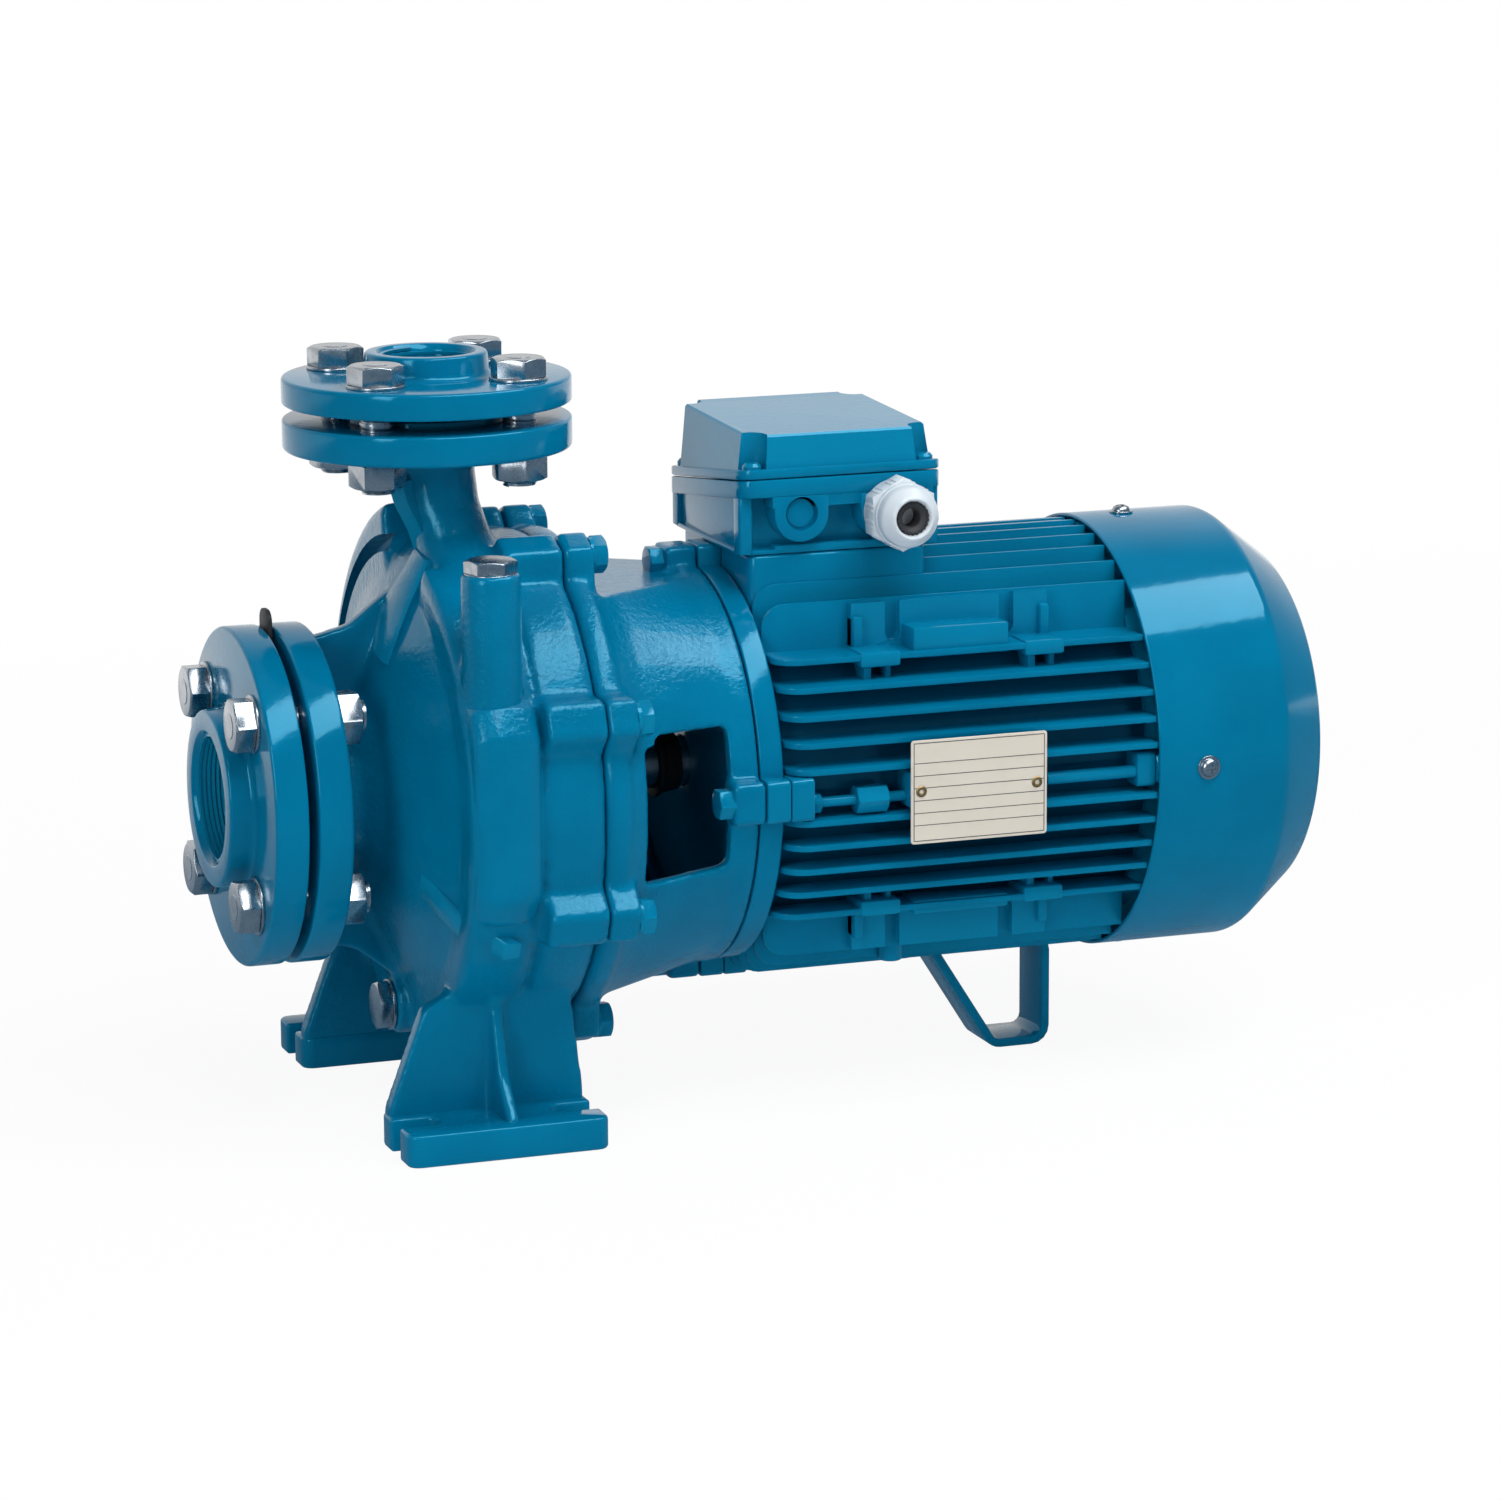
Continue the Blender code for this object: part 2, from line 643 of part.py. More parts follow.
def casing_foot(side):
    """One slotted pad with its upright leg and outer rib. side is 1 away from the gland, else -1."""
    floor = -SHAFT_HEIGHT
    middle_y = side * (FOOT_SPAN - FOOT_WIDTH) / 2
    pad_outline = rounded_rectangle(FOOT_LENGTH / 2, FOOT_WIDTH / 2, FOOT_CORNER, (0, middle_y))
    foot = slab("foot", pad_outline, floor, floor + FOOT_THICK, "Z")
    slot_r = FOOT_SLOT_WIDTH / 2
    for end in (-1, 1):
        slot_outline = rounded_rectangle(
            (FOOT_LENGTH - FOOT_SLOT_SPACING) / 2 + slot_r,
            slot_r,
            slot_r - FIT_GAP,
            (end * FOOT_LENGTH / 2, side * FOOT_SLOT_TRACK / 2),
        )
        slot_top = floor + FOOT_THICK + CUT_OVERRUN
        cut(foot, slab("slot", slot_outline, floor - CUT_OVERRUN, slot_top, "Z"))
    inner_y = FOOT_SPAN / 2 - FOOT_WIDTH + EDGE
    outer_y = inner_y + LEG_THICK
    leg = slab("leg", leg_outline(), side * inner_y, side * outer_y, "Y")
    rib_outline = [
        (side * (outer_y - JOIN_DEPTH), floor + FOOT_THICK / 2),
        (side * (outer_y + LEG_RIB_REACH), floor + FOOT_THICK / 2),
        (side * (outer_y + LEG_RIB_REACH - 2 * LEG_RIB_TIP), floor + FOOT_THICK + LEG_RIB_TIP),
        (side * (outer_y + LEG_RIB_TIP), floor + LEG_RISE - LEG_THICK),
        (side * (outer_y - JOIN_DEPTH), floor + LEG_RISE),
    ]
    rib_start = LEG_RIB_X - LEG_RIB_THICK / 2
    rib = slab("rib", rib_outline, rib_start, rib_start + LEG_RIB_THICK, "X")
    return fuse(foot, leg, rib)


def suction_gusset(side):
    """Rib between the suction flange and the body, above the shaft or, with side -1, below it."""
    flange_middle = SUCTION_FACE_X + SUCTION_FLANGE_THICK / 2
    root = side * SUCTION_NECK_R / 2
    outline = [
        (flange_middle, root),
        (flange_middle, side * (SUCTION_FLANGE_R - GUSSET_FLANGE_SHORT)),
        (SHOULDER_X - CASING_WALL, side * (SHOULDER_R - GUSSET_BODY_SHORT)),
        (SHOULDER_X, side * (SHOULDER_R - GUSSET_BODY_DEPTH)),
        (SHOULDER_X - GUSSET_BODY_DEPTH, root),
    ]
    return slab("gusset", outline, -GUSSET_THICK / 2, GUSSET_THICK / 2, "Y")


def casing_profile():
    """Outer outline of the casting, from the suction face to the joint with the lantern."""
    flange_back = SUCTION_FACE_X + SUCTION_FLANGE_THICK
    return [
        (SUCTION_FACE_X - SUCTION_FACE_RAISE, 0),
        (SUCTION_FACE_X - SUCTION_FACE_RAISE, SUCTION_FACE_R),
        (SUCTION_FACE_X, SUCTION_FACE_R),
        (SUCTION_FACE_X, SUCTION_FLANGE_R - EDGE),
        (SUCTION_FACE_X + EDGE, SUCTION_FLANGE_R),
        (flange_back - EDGE, SUCTION_FLANGE_R),
        (flange_back, SUCTION_FLANGE_R - EDGE),
        (flange_back, SUCTION_NECK_R + HUB_FILLET),
        (flange_back + HUB_FILLET, SUCTION_NECK_R),
        (DISH_START_X, SUCTION_NECK_R),
        (DISH_START_X + DISH_ROUND, SUCTION_NECK_R + DISH_ROUND),
        (DISH_MIDDLE_X, BARREL_R - DISH_MIDDLE_DROP),
        (SHOULDER_X, SHOULDER_R),
        (SHOULDER_X + SHOULDER_ROUND_X, SHOULDER_R + SHOULDER_ROUND_R),
        (BARREL_START_X, BARREL_R),
        (CASING_BACK_X, BARREL_R),
        (CASING_BACK_X, 0),
    ]


def casing_bore_profile():
    """Waterway and impeller chamber, open at the suction face and at the back."""
    mouth = SUCTION_FACE_X - SUCTION_FACE_RAISE - CUT_OVERRUN
    return [
        (mouth, 0),
        (mouth, SUCTION_BORE_R),
        (CHAMBER_FRONT_X, SUCTION_BORE_R),
        (CHAMBER_FRONT_X, SUCTION_BORE_R + CHAMBER_POCKET),
        (DISH_MIDDLE_X + DISH_WALL_X / 2, BARREL_R - DISH_MIDDLE_DROP - CASING_WALL),
        (SHOULDER_X + DISH_WALL_X, SHOULDER_R - DISH_WALL_X),
        (SHOULDER_X + BARREL_WALL, CHAMBER_R),
        (CASING_BACK_X + CUT_OVERRUN, CHAMBER_R),
        (CASING_BACK_X + CUT_OVERRUN, 0),
    ]


def discharge_flange():
    top = DISCHARGE_RISE
    profile = [
        (DISCHARGE_UNDER, 0),
        (DISCHARGE_UNDER, DISCHARGE_FLANGE_R - EDGE),
        (DISCHARGE_UNDER + EDGE, DISCHARGE_FLANGE_R),
        (top - EDGE, DISCHARGE_FLANGE_R),
        (top, DISCHARGE_FLANGE_R - EDGE),
        (top, DISCHARGE_FACE_R),
        (top + DISCHARGE_FACE_RAISE, DISCHARGE_FACE_R),
        (top + DISCHARGE_FACE_RAISE, 0),
    ]
    return place(turned("flange", profile), UPRIGHT)


def pump_casing():
    """The pump's one main casting: scroll, swan neck, both flanges, lugs and feet."""
    body = turned("pump_casing", casing_profile())
    fuse(body, scroll("scroll", 0), discharge_neck(), discharge_flange())
    clamping_lugs(body, CASING_BACK_X - LUG_LENGTH, CASING_BACK_X, SHOULDER_R)
    for side in (-1, 1):
        fuse(body, casing_foot(side), suction_gusset(side))
    priming_boss = drum("boss", 0, PRIMING_BOSS_TOP, PRIMING_BOSS_R)
    place(priming_boss, move(PRIMING_BOSS_X, PRIMING_BOSS_Y, 0) @ UPRIGHT)
    drain_boss = drum("boss", DRAIN_BOSS_X, BARREL_START_X, DRAIN_BOSS_R)
    fuse(body, priming_boss, place(drain_boss, move(0, 0, DRAIN_BOSS_Z)))
    cut(body, turned("bore", casing_bore_profile()), scroll("waterway", CASING_WALL))
    outlet_end = DISCHARGE_RISE + DISCHARGE_FACE_RAISE + CUT_OVERRUN
    cut(body, place(drum("outlet", SCROLL_INNER_R, outlet_end, DISCHARGE_BORE_R), UPRIGHT))
    flange_back = SUCTION_FACE_X + SUCTION_FLANGE_THICK
    drill_bolt_circle(body, SUCTION_FACE_X, flange_back, SUCTION_BOLT_CIRCLE_R)
    drill_bolt_circle(body, DISCHARGE_UNDER, DISCHARGE_RISE, DISCHARGE_BOLT_CIRCLE_R, UPRIGHT)
    return body


def hex_plug(name):
    """Hexagon plug that seats on X = 0 and points along X, with its sealing collar."""
    head = slab(name, hexagon(PLUG_FLATS), PLUG_COLLAR / 2, PLUG_COLLAR + PLUG_HEAD, "X")
    return fuse(head, drum("collar", 0, PLUG_COLLAR, PLUG_COLLAR_R))


def priming_plug():
    seat = move(PRIMING_BOSS_X, PRIMING_BOSS_Y, PRIMING_BOSS_TOP + FIT_GAP)
    return place(hex_plug("priming_plug"), seat @ UPRIGHT)


def drain_plug():
    seat = move(DRAIN_BOSS_X - FIT_GAP, 0, DRAIN_BOSS_Z)
    return place(hex_plug("drain_plug"), seat @ TURNED_ABOUT)


def counter_flange(name, sizes):
    """Screwed flange with its hub along X, its joint face at X = 0, made for either pipe size."""
    face_end = sizes["raise"]
    plate_end = face_end + sizes["thick"]
    hub_end = plate_end + sizes["length"]
    profile = [
        (0, sizes["thread"]),
        (0, sizes["face"]),
        (face_end, sizes["face"]),
        (face_end, sizes["outer"] - EDGE),
        (face_end + EDGE, sizes["outer"]),
        (plate_end - EDGE, sizes["outer"]),
        (plate_end, sizes["outer"] - EDGE),
        (plate_end, sizes["hub"] + HUB_FILLET),
        (plate_end + HUB_FILLET, sizes["hub"]),
        (hub_end - EDGE, sizes["hub"]),
        (hub_end, sizes["hub"] - EDGE),
        (hub_end, sizes["thread"]),
    ]
    body = turned(name, profile, ring=True)
    return drill_bolt_circle(body, 0, plate_end, sizes["circle"])


def suction_counter_flange():
    sizes = {
        "thread": SUCTION_THREAD_R,
        "face": SUCTION_FACE_R,
        "raise": SUCTION_FACE_RAISE,
        "outer": SUCTION_FLANGE_R,
        "thick": SUCTION_COUNTER_THICK,
        "hub": SUCTION_HUB_R,
        "length": SUCTION_HUB_LENGTH,
        "circle": SUCTION_BOLT_CIRCLE_R,
    }
    body = counter_flange("suction_counter_flange", sizes)
    return place(body, move(SUCTION_COUNTER_X, 0, 0) @ TURNED_ABOUT)


def discharge_counter_flange():
    sizes = {
        "thread": DISCHARGE_THREAD_R,
        "face": DISCHARGE_FACE_R,
        "raise": DISCHARGE_FACE_RAISE,
        "outer": DISCHARGE_FLANGE_R,
        "thick": DISCHARGE_COUNTER_THICK,
        "hub": DISCHARGE_HUB_R,
        "length": DISCHARGE_HUB_LENGTH,
        "circle": DISCHARGE_BOLT_CIRCLE_R,
    }
    body = counter_flange("discharge_counter_flange", sizes)
    return place(body, move(0, 0, DISCHARGE_COUNTER_Z) @ UPRIGHT)


def suction_gasket():
    """Flat gasket with the tab that stands out above the flanges."""
    end_x = SUCTION_FACE_X - SUCTION_FACE_RAISE - FIT_GAP
    start_x = end_x - SUCTION_GASKET_THICK
    body = washer("suction_gasket", start_x, end_x, SUCTION_THREAD_R, SUCTION_FACE_R)
    tab_r = SUCTION_FLANGE_R + GASKET_TAB_PROUD
    outline = lug_outline(GASKET_TAB_WIDTH, SUCTION_FACE_R - JOIN_DEPTH, tab_r)
    return fuse(body, slab("tab", outline, start_x, end_x, "X"))


def discharge_gasket():
    start_z = DISCHARGE_RISE + DISCHARGE_FACE_RAISE + FIT_GAP
    end_z = start_z + DISCHARGE_GASKET_THICK
    body = washer("discharge_gasket", start_z, end_z, DISCHARGE_THREAD_R, DISCHARGE_FACE_R)
    return place(body, UPRIGHT)


def casing_cover():
    """Back wall of the pump chamber, with the pocket of the shaft seal."""
    plate_end = COVER_FRONT_X + COVER_PLATE_THICK
    rim_r = CHAMBER_R - FIT_GAP
    profile = [
        (COVER_FRONT_X, SHAFT_BORE_R),
        (COVER_FRONT_X, rim_r),
        (CASING_BACK_X, rim_r),
        (CASING_BACK_X, rim_r - COVER_RIM_WIDTH),
        (plate_end, rim_r - COVER_RIM_WIDTH - COVER_RIM_SLOPE),
        (plate_end, COVER_HUB_R + COVER_HUB_FLARE),
        (plate_end + COVER_HUB_FLARE, COVER_HUB_R),
        (COVER_HUB_END_X, COVER_HUB_R),
        (COVER_HUB_END_X + EDGE, COVER_NOSE_R + EDGE),
        (COVER_NOSE_END_X, COVER_NOSE_R),
        (COVER_NOSE_END_X, SHAFT_BORE_R),
    ]
    return turned("casing_cover", profile, ring=True)


def lantern_window():
    low = -WINDOW_HALF_HEIGHT
    step_x = WINDOW_START_X + WINDOW_STEP_X
    step_z = WINDOW_HALF_HEIGHT - WINDOW_STEP_Z
    outline = [
        (WINDOW_START_X, low),
        (WINDOW_END_X, low + WINDOW_BOTTOM_RISE),
        (WINDOW_END_X, WINDOW_HALF_HEIGHT),
        (step_x, WINDOW_HALF_HEIGHT),
        (step_x, step_z),
        (WINDOW_START_X, step_z),
    ]
    reach = BARREL_R + CUT_OVERRUN
    return slab("window", outline, -reach, reach, "Y")


def lantern_bracket():
    """Cast lantern between pump and motor, flat on top, with its two side windows."""
    ring_end = LANTERN_START_X + LANTERN_RING
    back_inner = LANTERN_END_X - LANTERN_BACK_THICK
    waist_inner = LANTERN_WAIST_R - LANTERN_WALL
    profile = [
        (LANTERN_START_X, LANTERN_FRONT_BORE_R),
        (LANTERN_START_X, BARREL_R),
        (ring_end, BARREL_R),
        (ring_end + LANTERN_RING_SLOPE, BARREL_R - LANTERN_RING_SLOPE),
        (LANTERN_WAIST_X, LANTERN_WAIST_R),
        (LANTERN_END_X, LANTERN_END_R),
        (LANTERN_END_X, LANTERN_BACK_BORE_R),
        (back_inner, LANTERN_BACK_BORE_R),
        (back_inner, LANTERN_END_R - LANTERN_WALL),
        (LANTERN_WAIST_X, waist_inner),
        (ring_end, waist_inner),
        (ring_end, LANTERN_FRONT_BORE_R),
    ]
    body = turned("lantern_bracket", profile, ring=True)
    clamping_lugs(body, LANTERN_START_X, LANTERN_LUG_END_X, LANTERN_WAIST_R - LANTERN_WALL / 2)
    lug_start = LANTERN_END_X - MOTOR_LUG_LENGTH
    tie_lugs(body, lug_start, LANTERN_END_X, LANTERN_END_R - LANTERN_WALL / 2)
    flat_low = (LANTERN_LUG_END_X - LANTERN_WALL, -LANTERN_FLAT_HALF, LANTERN_TOP_FLAT - LANTERN_FLAT_THICK)
    flat_high = (lug_start + LANTERN_WALL / 2, LANTERN_FLAT_HALF, LANTERN_TOP_FLAT)
    fuse(body, block("flat", flat_low, flat_high))
    above_low = (LANTERN_LUG_END_X, -BARREL_R, LANTERN_TOP_FLAT)
    cut(body, block("above", above_low, (lug_start, BARREL_R, LUG_OUTER_R)))
    return cut(body, lantern_window())


def motor_end_shield():
    """Drive-end shield, clamped between the lantern and the finned frame."""
    end_x = SHIELD_START_X + SHIELD_THICK
    spigot_r = LANTERN_BACK_BORE_R - FIT_GAP
    profile = [
        (SHIELD_START_X - SHIELD_SPIGOT, SHAFT_BORE_R),
        (SHIELD_START_X - SHIELD_SPIGOT, spigot_r - SHIELD_SPIGOT_SLOPE),
        (SHIELD_START_X - SHIELD_SPIGOT / 2, spigot_r),
        (SHIELD_START_X, spigot_r),
        (SHIELD_START_X, LANTERN_END_R - SHIELD_STEP),
        (end_x, LANTERN_END_R - SHIELD_STEP),
        (end_x, SHAFT_BORE_R),
    ]
    body = turned("motor_end_shield", profile, ring=True)
    return tie_lugs(body, SHIELD_START_X, end_x, FRAME_BODY_R)


def fin_reach(offset):
    """How far a fin stands out at this distance from the middle, so that all tips lie on one circle."""
    return math.sqrt(FRAME_FIN_R**2 - offset**2)


def fin(offset, upright):
    """One fin right across the frame, rounded at its front, standing up if upright and lying flat if not."""
    front = FRAME_START_X + FRAME_FIN_INSET
    reach = fin_reach(offset)
    side = []
    for step in range(FIN_ROUND_STEPS + 1):
        angle = math.radians(90 * step / FIN_ROUND_STEPS)
        out = reach - FIN_ROUND_R * (1 - math.sin(angle))
        side.append((front + FIN_ROUND_R * (1 - math.cos(angle)), out))
    side.append((FRAME_END_X, reach))
    outline = side + [(x, -out) for x, out in reversed(side)]
    start = offset - FRAME_FIN_THICK / 2
    return slab("fin", outline, start, start + FRAME_FIN_THICK, "Y" if upright else "Z")


def foot_seat(body, side, level):
    """Cast seat for a loose foot in one open corner of the fins. side and level are 1 or -1."""
    wall = FRAME_FIN_PAIRS * FRAME_FIN_STEP
    shelf = wall + FRAME_FIN_THICK / 2
    middle = (SEAT_START_X + SEAT_END_X) / 2
    root = shelf - JOIN_DEPTH

    def seat_block(start_x, end_x, reach, low, high):
        corners = ((start_x, side * root, level * low), (end_x, side * (shelf + reach), level * high))
        return block("seat", *corners)

    plate_top = fin_reach(wall) - EDGE
    fuse(body, seat_block(SEAT_START_X, SEAT_END_X, SEAT_PLATE_THICK, root, plate_top))
    half = SEAT_BLOCK_LENGTH / 2
    block_top = shelf + SEAT_BLOCK_RISE
    fuse(body, seat_block(middle - half, middle + half, SEAT_BLOCK_REACH, root, block_top))
    for start_x in (SEAT_START_X, SEAT_END_X - SEAT_PAD_LENGTH):
        pad_end = start_x + SEAT_PAD_LENGTH
        fuse(body, seat_block(start_x, pad_end, SEAT_PAD_REACH, wall - SEAT_PAD_RISE, shelf + EDGE))
    for end in (-1, 1):
        hole = drum("hole", shelf + CUT_OVERRUN, FRAME_FIN_R, SEAT_HOLE_R, DRILL_STEPS)
        place(hole, UPRIGHT if level > 0 else turn_x(180) @ UPRIGHT)
        hole_x = middle + end * SEAT_HOLE_SPACING / 2
        cut(body, place(hole, move(hole_x, side * (shelf + SEAT_PLATE_THICK), 0)))
    return body


def strap_seat(body, bend_x, spare):
    """Pad for one end of the strap, and room for the strap's own tab under it."""
    seat_z = -STRAP_TOP_DROP + STRAP_THICK + FIT_GAP
    pad = rounded_rectangle(STRAP_TAB / 2, STRAP_WIDTH / 2, STRAP_PAD_CORNER, (bend_x - STRAP_TAB / 2, 0))
    fuse(body, slab("pad", pad, seat_z, seat_z + STRAP_PAD_THICK, "Z"))
    half_y = STRAP_WIDTH / 2 + FIT_GAP
    low = (bend_x - STRAP_TAB - FIT_GAP, -half_y, -FRAME_FIN_R - CUT_OVERRUN)
    return cut(body, block("room", low, (bend_x + spare, half_y, seat_z)))


def motor_frame():
    """Finned motor frame with its box pad, foot seats, strap pads and tie-bolt lugs."""
    body = drum("motor_frame", FRAME_START_X, FRAME_END_X, FRAME_BODY_R, ROUND_STEPS)
    for number in range(-FRAME_FIN_PAIRS, FRAME_FIN_PAIRS + 1):
        offset = number * FRAME_FIN_STEP
        fuse(body, fin(offset, True))
        if number != 0:
            fuse(body, fin(offset, False))
    for side in (-1, 1):
        for level in (-1, 1):
            foot_seat(body, side, level)
    pad_outline = rounded_rectangle(
        BOX_PAD_LENGTH / 2, BOX_PAD_WIDTH / 2, BOX_PAD_CORNER, (BOX_PAD_CENTRE_X, 0)
    )
    fuse(body, slab("pad", pad_outline, FRAME_PAD_TOP - BOX_PAD_DEPTH, FRAME_PAD_TOP, "Z"))
    strap_seat(body, STRAP_TOP_FRONT_X, STRAP_BEND_ROOM)
    strap_seat(body, STRAP_REAR_X, FIT_GAP)
    tie_lugs(body, FRAME_START_X, FRAME_START_X + MOTOR_LUG_LENGTH, FRAME_BODY_R - JOIN_DEPTH)
    end_lug_x = FRAME_END_X - END_LUG_LENGTH
    tie_lugs(body, end_lug_x, FRAME_END_X, FRAME_BODY_R - JOIN_DEPTH, END_LUG_R, END_LUG_WIDTH)
    return cut(body, drum("bore", FRAME_START_X - CUT_OVERRUN, FRAME_END_X + CUT_OVERRUN, ROTOR_TUNNEL_R))


def rear_end_shield():
    """Rear shield with the four arms that carry the fan cover."""
    end_x = REAR_SHIELD_X + REAR_SHIELD_THICK
    profile = [
        (REAR_SHIELD_X, SHAFT_BORE_R),
        (REAR_SHIELD_X, REAR_SHIELD_R),
        (end_x - REAR_SHIELD_EDGE, REAR_SHIELD_R),
        (end_x, REAR_SHIELD_R - REAR_SHIELD_EDGE),
        (end_x, REAR_HUB_R + REAR_HUB_FLARE),
        (end_x + REAR_HUB_LENGTH, REAR_HUB_R),
        (end_x + REAR_HUB_LENGTH, SHAFT_BORE_R),
    ]
    body = turned("rear_end_shield", profile, COARSE_ROUND_STEPS, ring=True)
    half = COVER_ARM_WIDTH / 2
    seat_r = COVER_INNER_R - FIT_GAP
    for quarter in range(4):
        outline = [
            (REAR_SHIELD_X + EDGE, REAR_SHIELD_R - 2 * JOIN_DEPTH),
            (end_x - EDGE, REAR_SHIELD_R - 2 * JOIN_DEPTH),
            (end_x + JOIN_DEPTH, seat_r - EDGE - COVER_ARM_THICK),
            (COVER_ARM_X, seat_r - EDGE - COVER_ARM_THICK),
            (COVER_ARM_X, seat_r - EDGE),
            (REAR_SHIELD_X + EDGE, seat_r - EDGE),
        ]
        fuse(body, place(slab("arm", outline, -half, half, "Y"), turn_x(90 * quarter)))
    return body


def motor_shaft():
    profile = [
        (SHAFT_FRONT_X, 0),
        (SHAFT_FRONT_X, SHAFT_R - SHAFT_CHAMFER),
        (SHAFT_FRONT_X + SHAFT_CHAMFER, SHAFT_R),
        (SHAFT_END_X - SHAFT_CHAMFER, SHAFT_R),
        (SHAFT_END_X, SHAFT_R - SHAFT_CHAMFER),
        (SHAFT_END_X, 0),
    ]
    return turned("motor_shaft", profile, SMALL_ROUND_STEPS)


def shaft_slinger():
    """Rubber ring that throws off water before the motor, with its long lip."""
    outer = SHAFT_R + SLINGER_RISE
    lip_end = SLINGER_X + 3 * SLINGER_THICK
    profile = [
        (SLINGER_X, ROTOR_BORE_R),
        (SLINGER_X, outer),
        (SLINGER_X + SLINGER_THICK / 2, outer),
        (SLINGER_X + SLINGER_THICK, outer - SLINGER_LIP),
        (lip_end, ROTOR_BORE_R + SLINGER_LIP),
        (lip_end, ROTOR_BORE_R),
    ]
    return turned("shaft_slinger", profile, SMALL_ROUND_STEPS, ring=True)


def vane(number):
    """One backward-curved vane on a logarithmic spiral, from the eye to the rim."""
    start_r = IMPELLER_EYE_R - EDGE
    end_r = IMPELLER_R - EDGE / 2
    start = math.radians(360 * number / IMPELLER_VANES)
    wrap = math.radians(VANE_WRAP_DEG)
    centre_line = []
    for station in range(VANE_STATIONS):
        share = station / (VANE_STATIONS - 1)
        centre_line.append((start_r * (end_r / start_r) ** share, start + wrap * share))
    outline = []
    for side in (1, -1):
        run = centre_line if side > 0 else reversed(centre_line)
        for radius, angle in run:
            shift = side * VANE_THICK / 2 / radius
            outline.append((radius * math.sin(angle + shift), radius * math.cos(angle + shift)))
    plate_x = IMPELLER_BACK_X - IMPELLER_SHROUD
    front = plate_x - IMPELLER_OUTLET - EDGE
    return slab("vane", outline, front, plate_x + IMPELLER_SHROUD / 2, "X")


def impeller():
    """Closed impeller: back plate, front shroud with its eye, and the vanes between them."""
    plate_x = IMPELLER_BACK_X - IMPELLER_SHROUD
    hub_start = SHAFT_FRONT_X + JOIN_DEPTH
    hub_end = IMPELLER_BACK_X + IMPELLER_HUB_BACK
    back = [
        (hub_end, ROTOR_BORE_R),
        (hub_start, ROTOR_BORE_R),
        (hub_start, IMPELLER_HUB_R - EDGE),
        (plate_x - IMPELLER_SHROUD, IMPELLER_HUB_R + EDGE),
        (plate_x, IMPELLER_HUB_R + IMPELLER_HUB_FLARE),
        (plate_x, IMPELLER_R),
        (IMPELLER_BACK_X, IMPELLER_R),
        (IMPELLER_BACK_X, IMPELLER_HUB_R + JOIN_DEPTH),
        (hub_end, IMPELLER_HUB_R + EDGE),
    ]
    body = turned("impeller", back, COARSE_ROUND_STEPS, ring=True)
    for number in range(IMPELLER_VANES):
        fuse(body, vane(number))
    inner_x = plate_x - IMPELLER_OUTLET
    neck_r = IMPELLER_EYE_R + IMPELLER_NECK_WALL
    flare_r = neck_r + IMPELLER_SHROUD_FLARE
    shroud = [
        (IMPELLER_NOSE_X, IMPELLER_EYE_R),
        (IMPELLER_NOSE_X, neck_r),
        (inner_x - IMPELLER_SHROUD_RISE - IMPELLER_SHROUD, neck_r),
        (inner_x - 2 * IMPELLER_SHROUD, flare_r),
        (inner_x - IMPELLER_SHROUD, IMPELLER_R),
        (inner_x, IMPELLER_R),
        (inner_x - IMPELLER_SHROUD, flare_r),
        (inner_x - IMPELLER_SHROUD_RISE, IMPELLER_EYE_R),
    ]
    return fuse(body, turned("shroud", shroud, COARSE_ROUND_STEPS, ring=True))


def cooling_fan():
    """Radial fan with straight blades, so that it works in either direction."""
    end_x = FAN_START_X + FAN_LENGTH
    disc_end = FAN_START_X + FAN_DISC_THICK
    profile = [
        (FAN_START_X, ROTOR_BORE_R),
        (FAN_START_X, FAN_DISC_R),
        (disc_end, FAN_DISC_R),
        (disc_end, FAN_HUB_R),
        (end_x, FAN_HUB_R - FAN_HUB_DRAFT),
        (end_x, ROTOR_BORE_R),
    ]
    body = turned("cooling_fan", profile, COARSE_ROUND_STEPS, ring=True)
    half = FAN_BLADE_THICK / 2
    root_r = FAN_HUB_R - FAN_HUB_DRAFT - JOIN_DEPTH
    for number in range(FAN_BLADES):
        low = (FAN_START_X + EDGE, -half, root_r)
        blade = block("blade", low, (end_x - EDGE, half, FAN_R))
        fuse(body, place(blade, turn_x(360 * number / FAN_BLADES)))
    return body


def fan_cover():
    """Sheet cover over the fan, open towards the fins, with a round air opening behind."""
    inner_end = FAN_COVER_END_X - FAN_COVER_SHEET
    bend = FAN_COVER_BEND
    profile = [
        (FRAME_END_X, COVER_INNER_R),
        (FRAME_END_X, FAN_COVER_R),
        (FAN_COVER_CONE_X, FAN_COVER_R),
        (FAN_COVER_CONE_X + bend, FAN_COVER_R - bend / 2),
        (FAN_COVER_END_X - bend, FAN_COVER_END_R + bend / 2),
        (FAN_COVER_END_X, FAN_COVER_END_R - bend / 2),
        (FAN_COVER_END_X, GRILLE_OPENING_R),
        (inner_end, GRILLE_OPENING_R),
        (inner_end, FAN_COVER_END_R - bend),
        (inner_end - bend / 2, FAN_COVER_END_R - bend / 4),
        (FAN_COVER_CONE_X + bend / 2, COVER_INNER_R - bend / 2),
        (FAN_COVER_CONE_X - bend / 4, COVER_INNER_R),
    ]
    return turned("fan_cover", profile, ring=True)


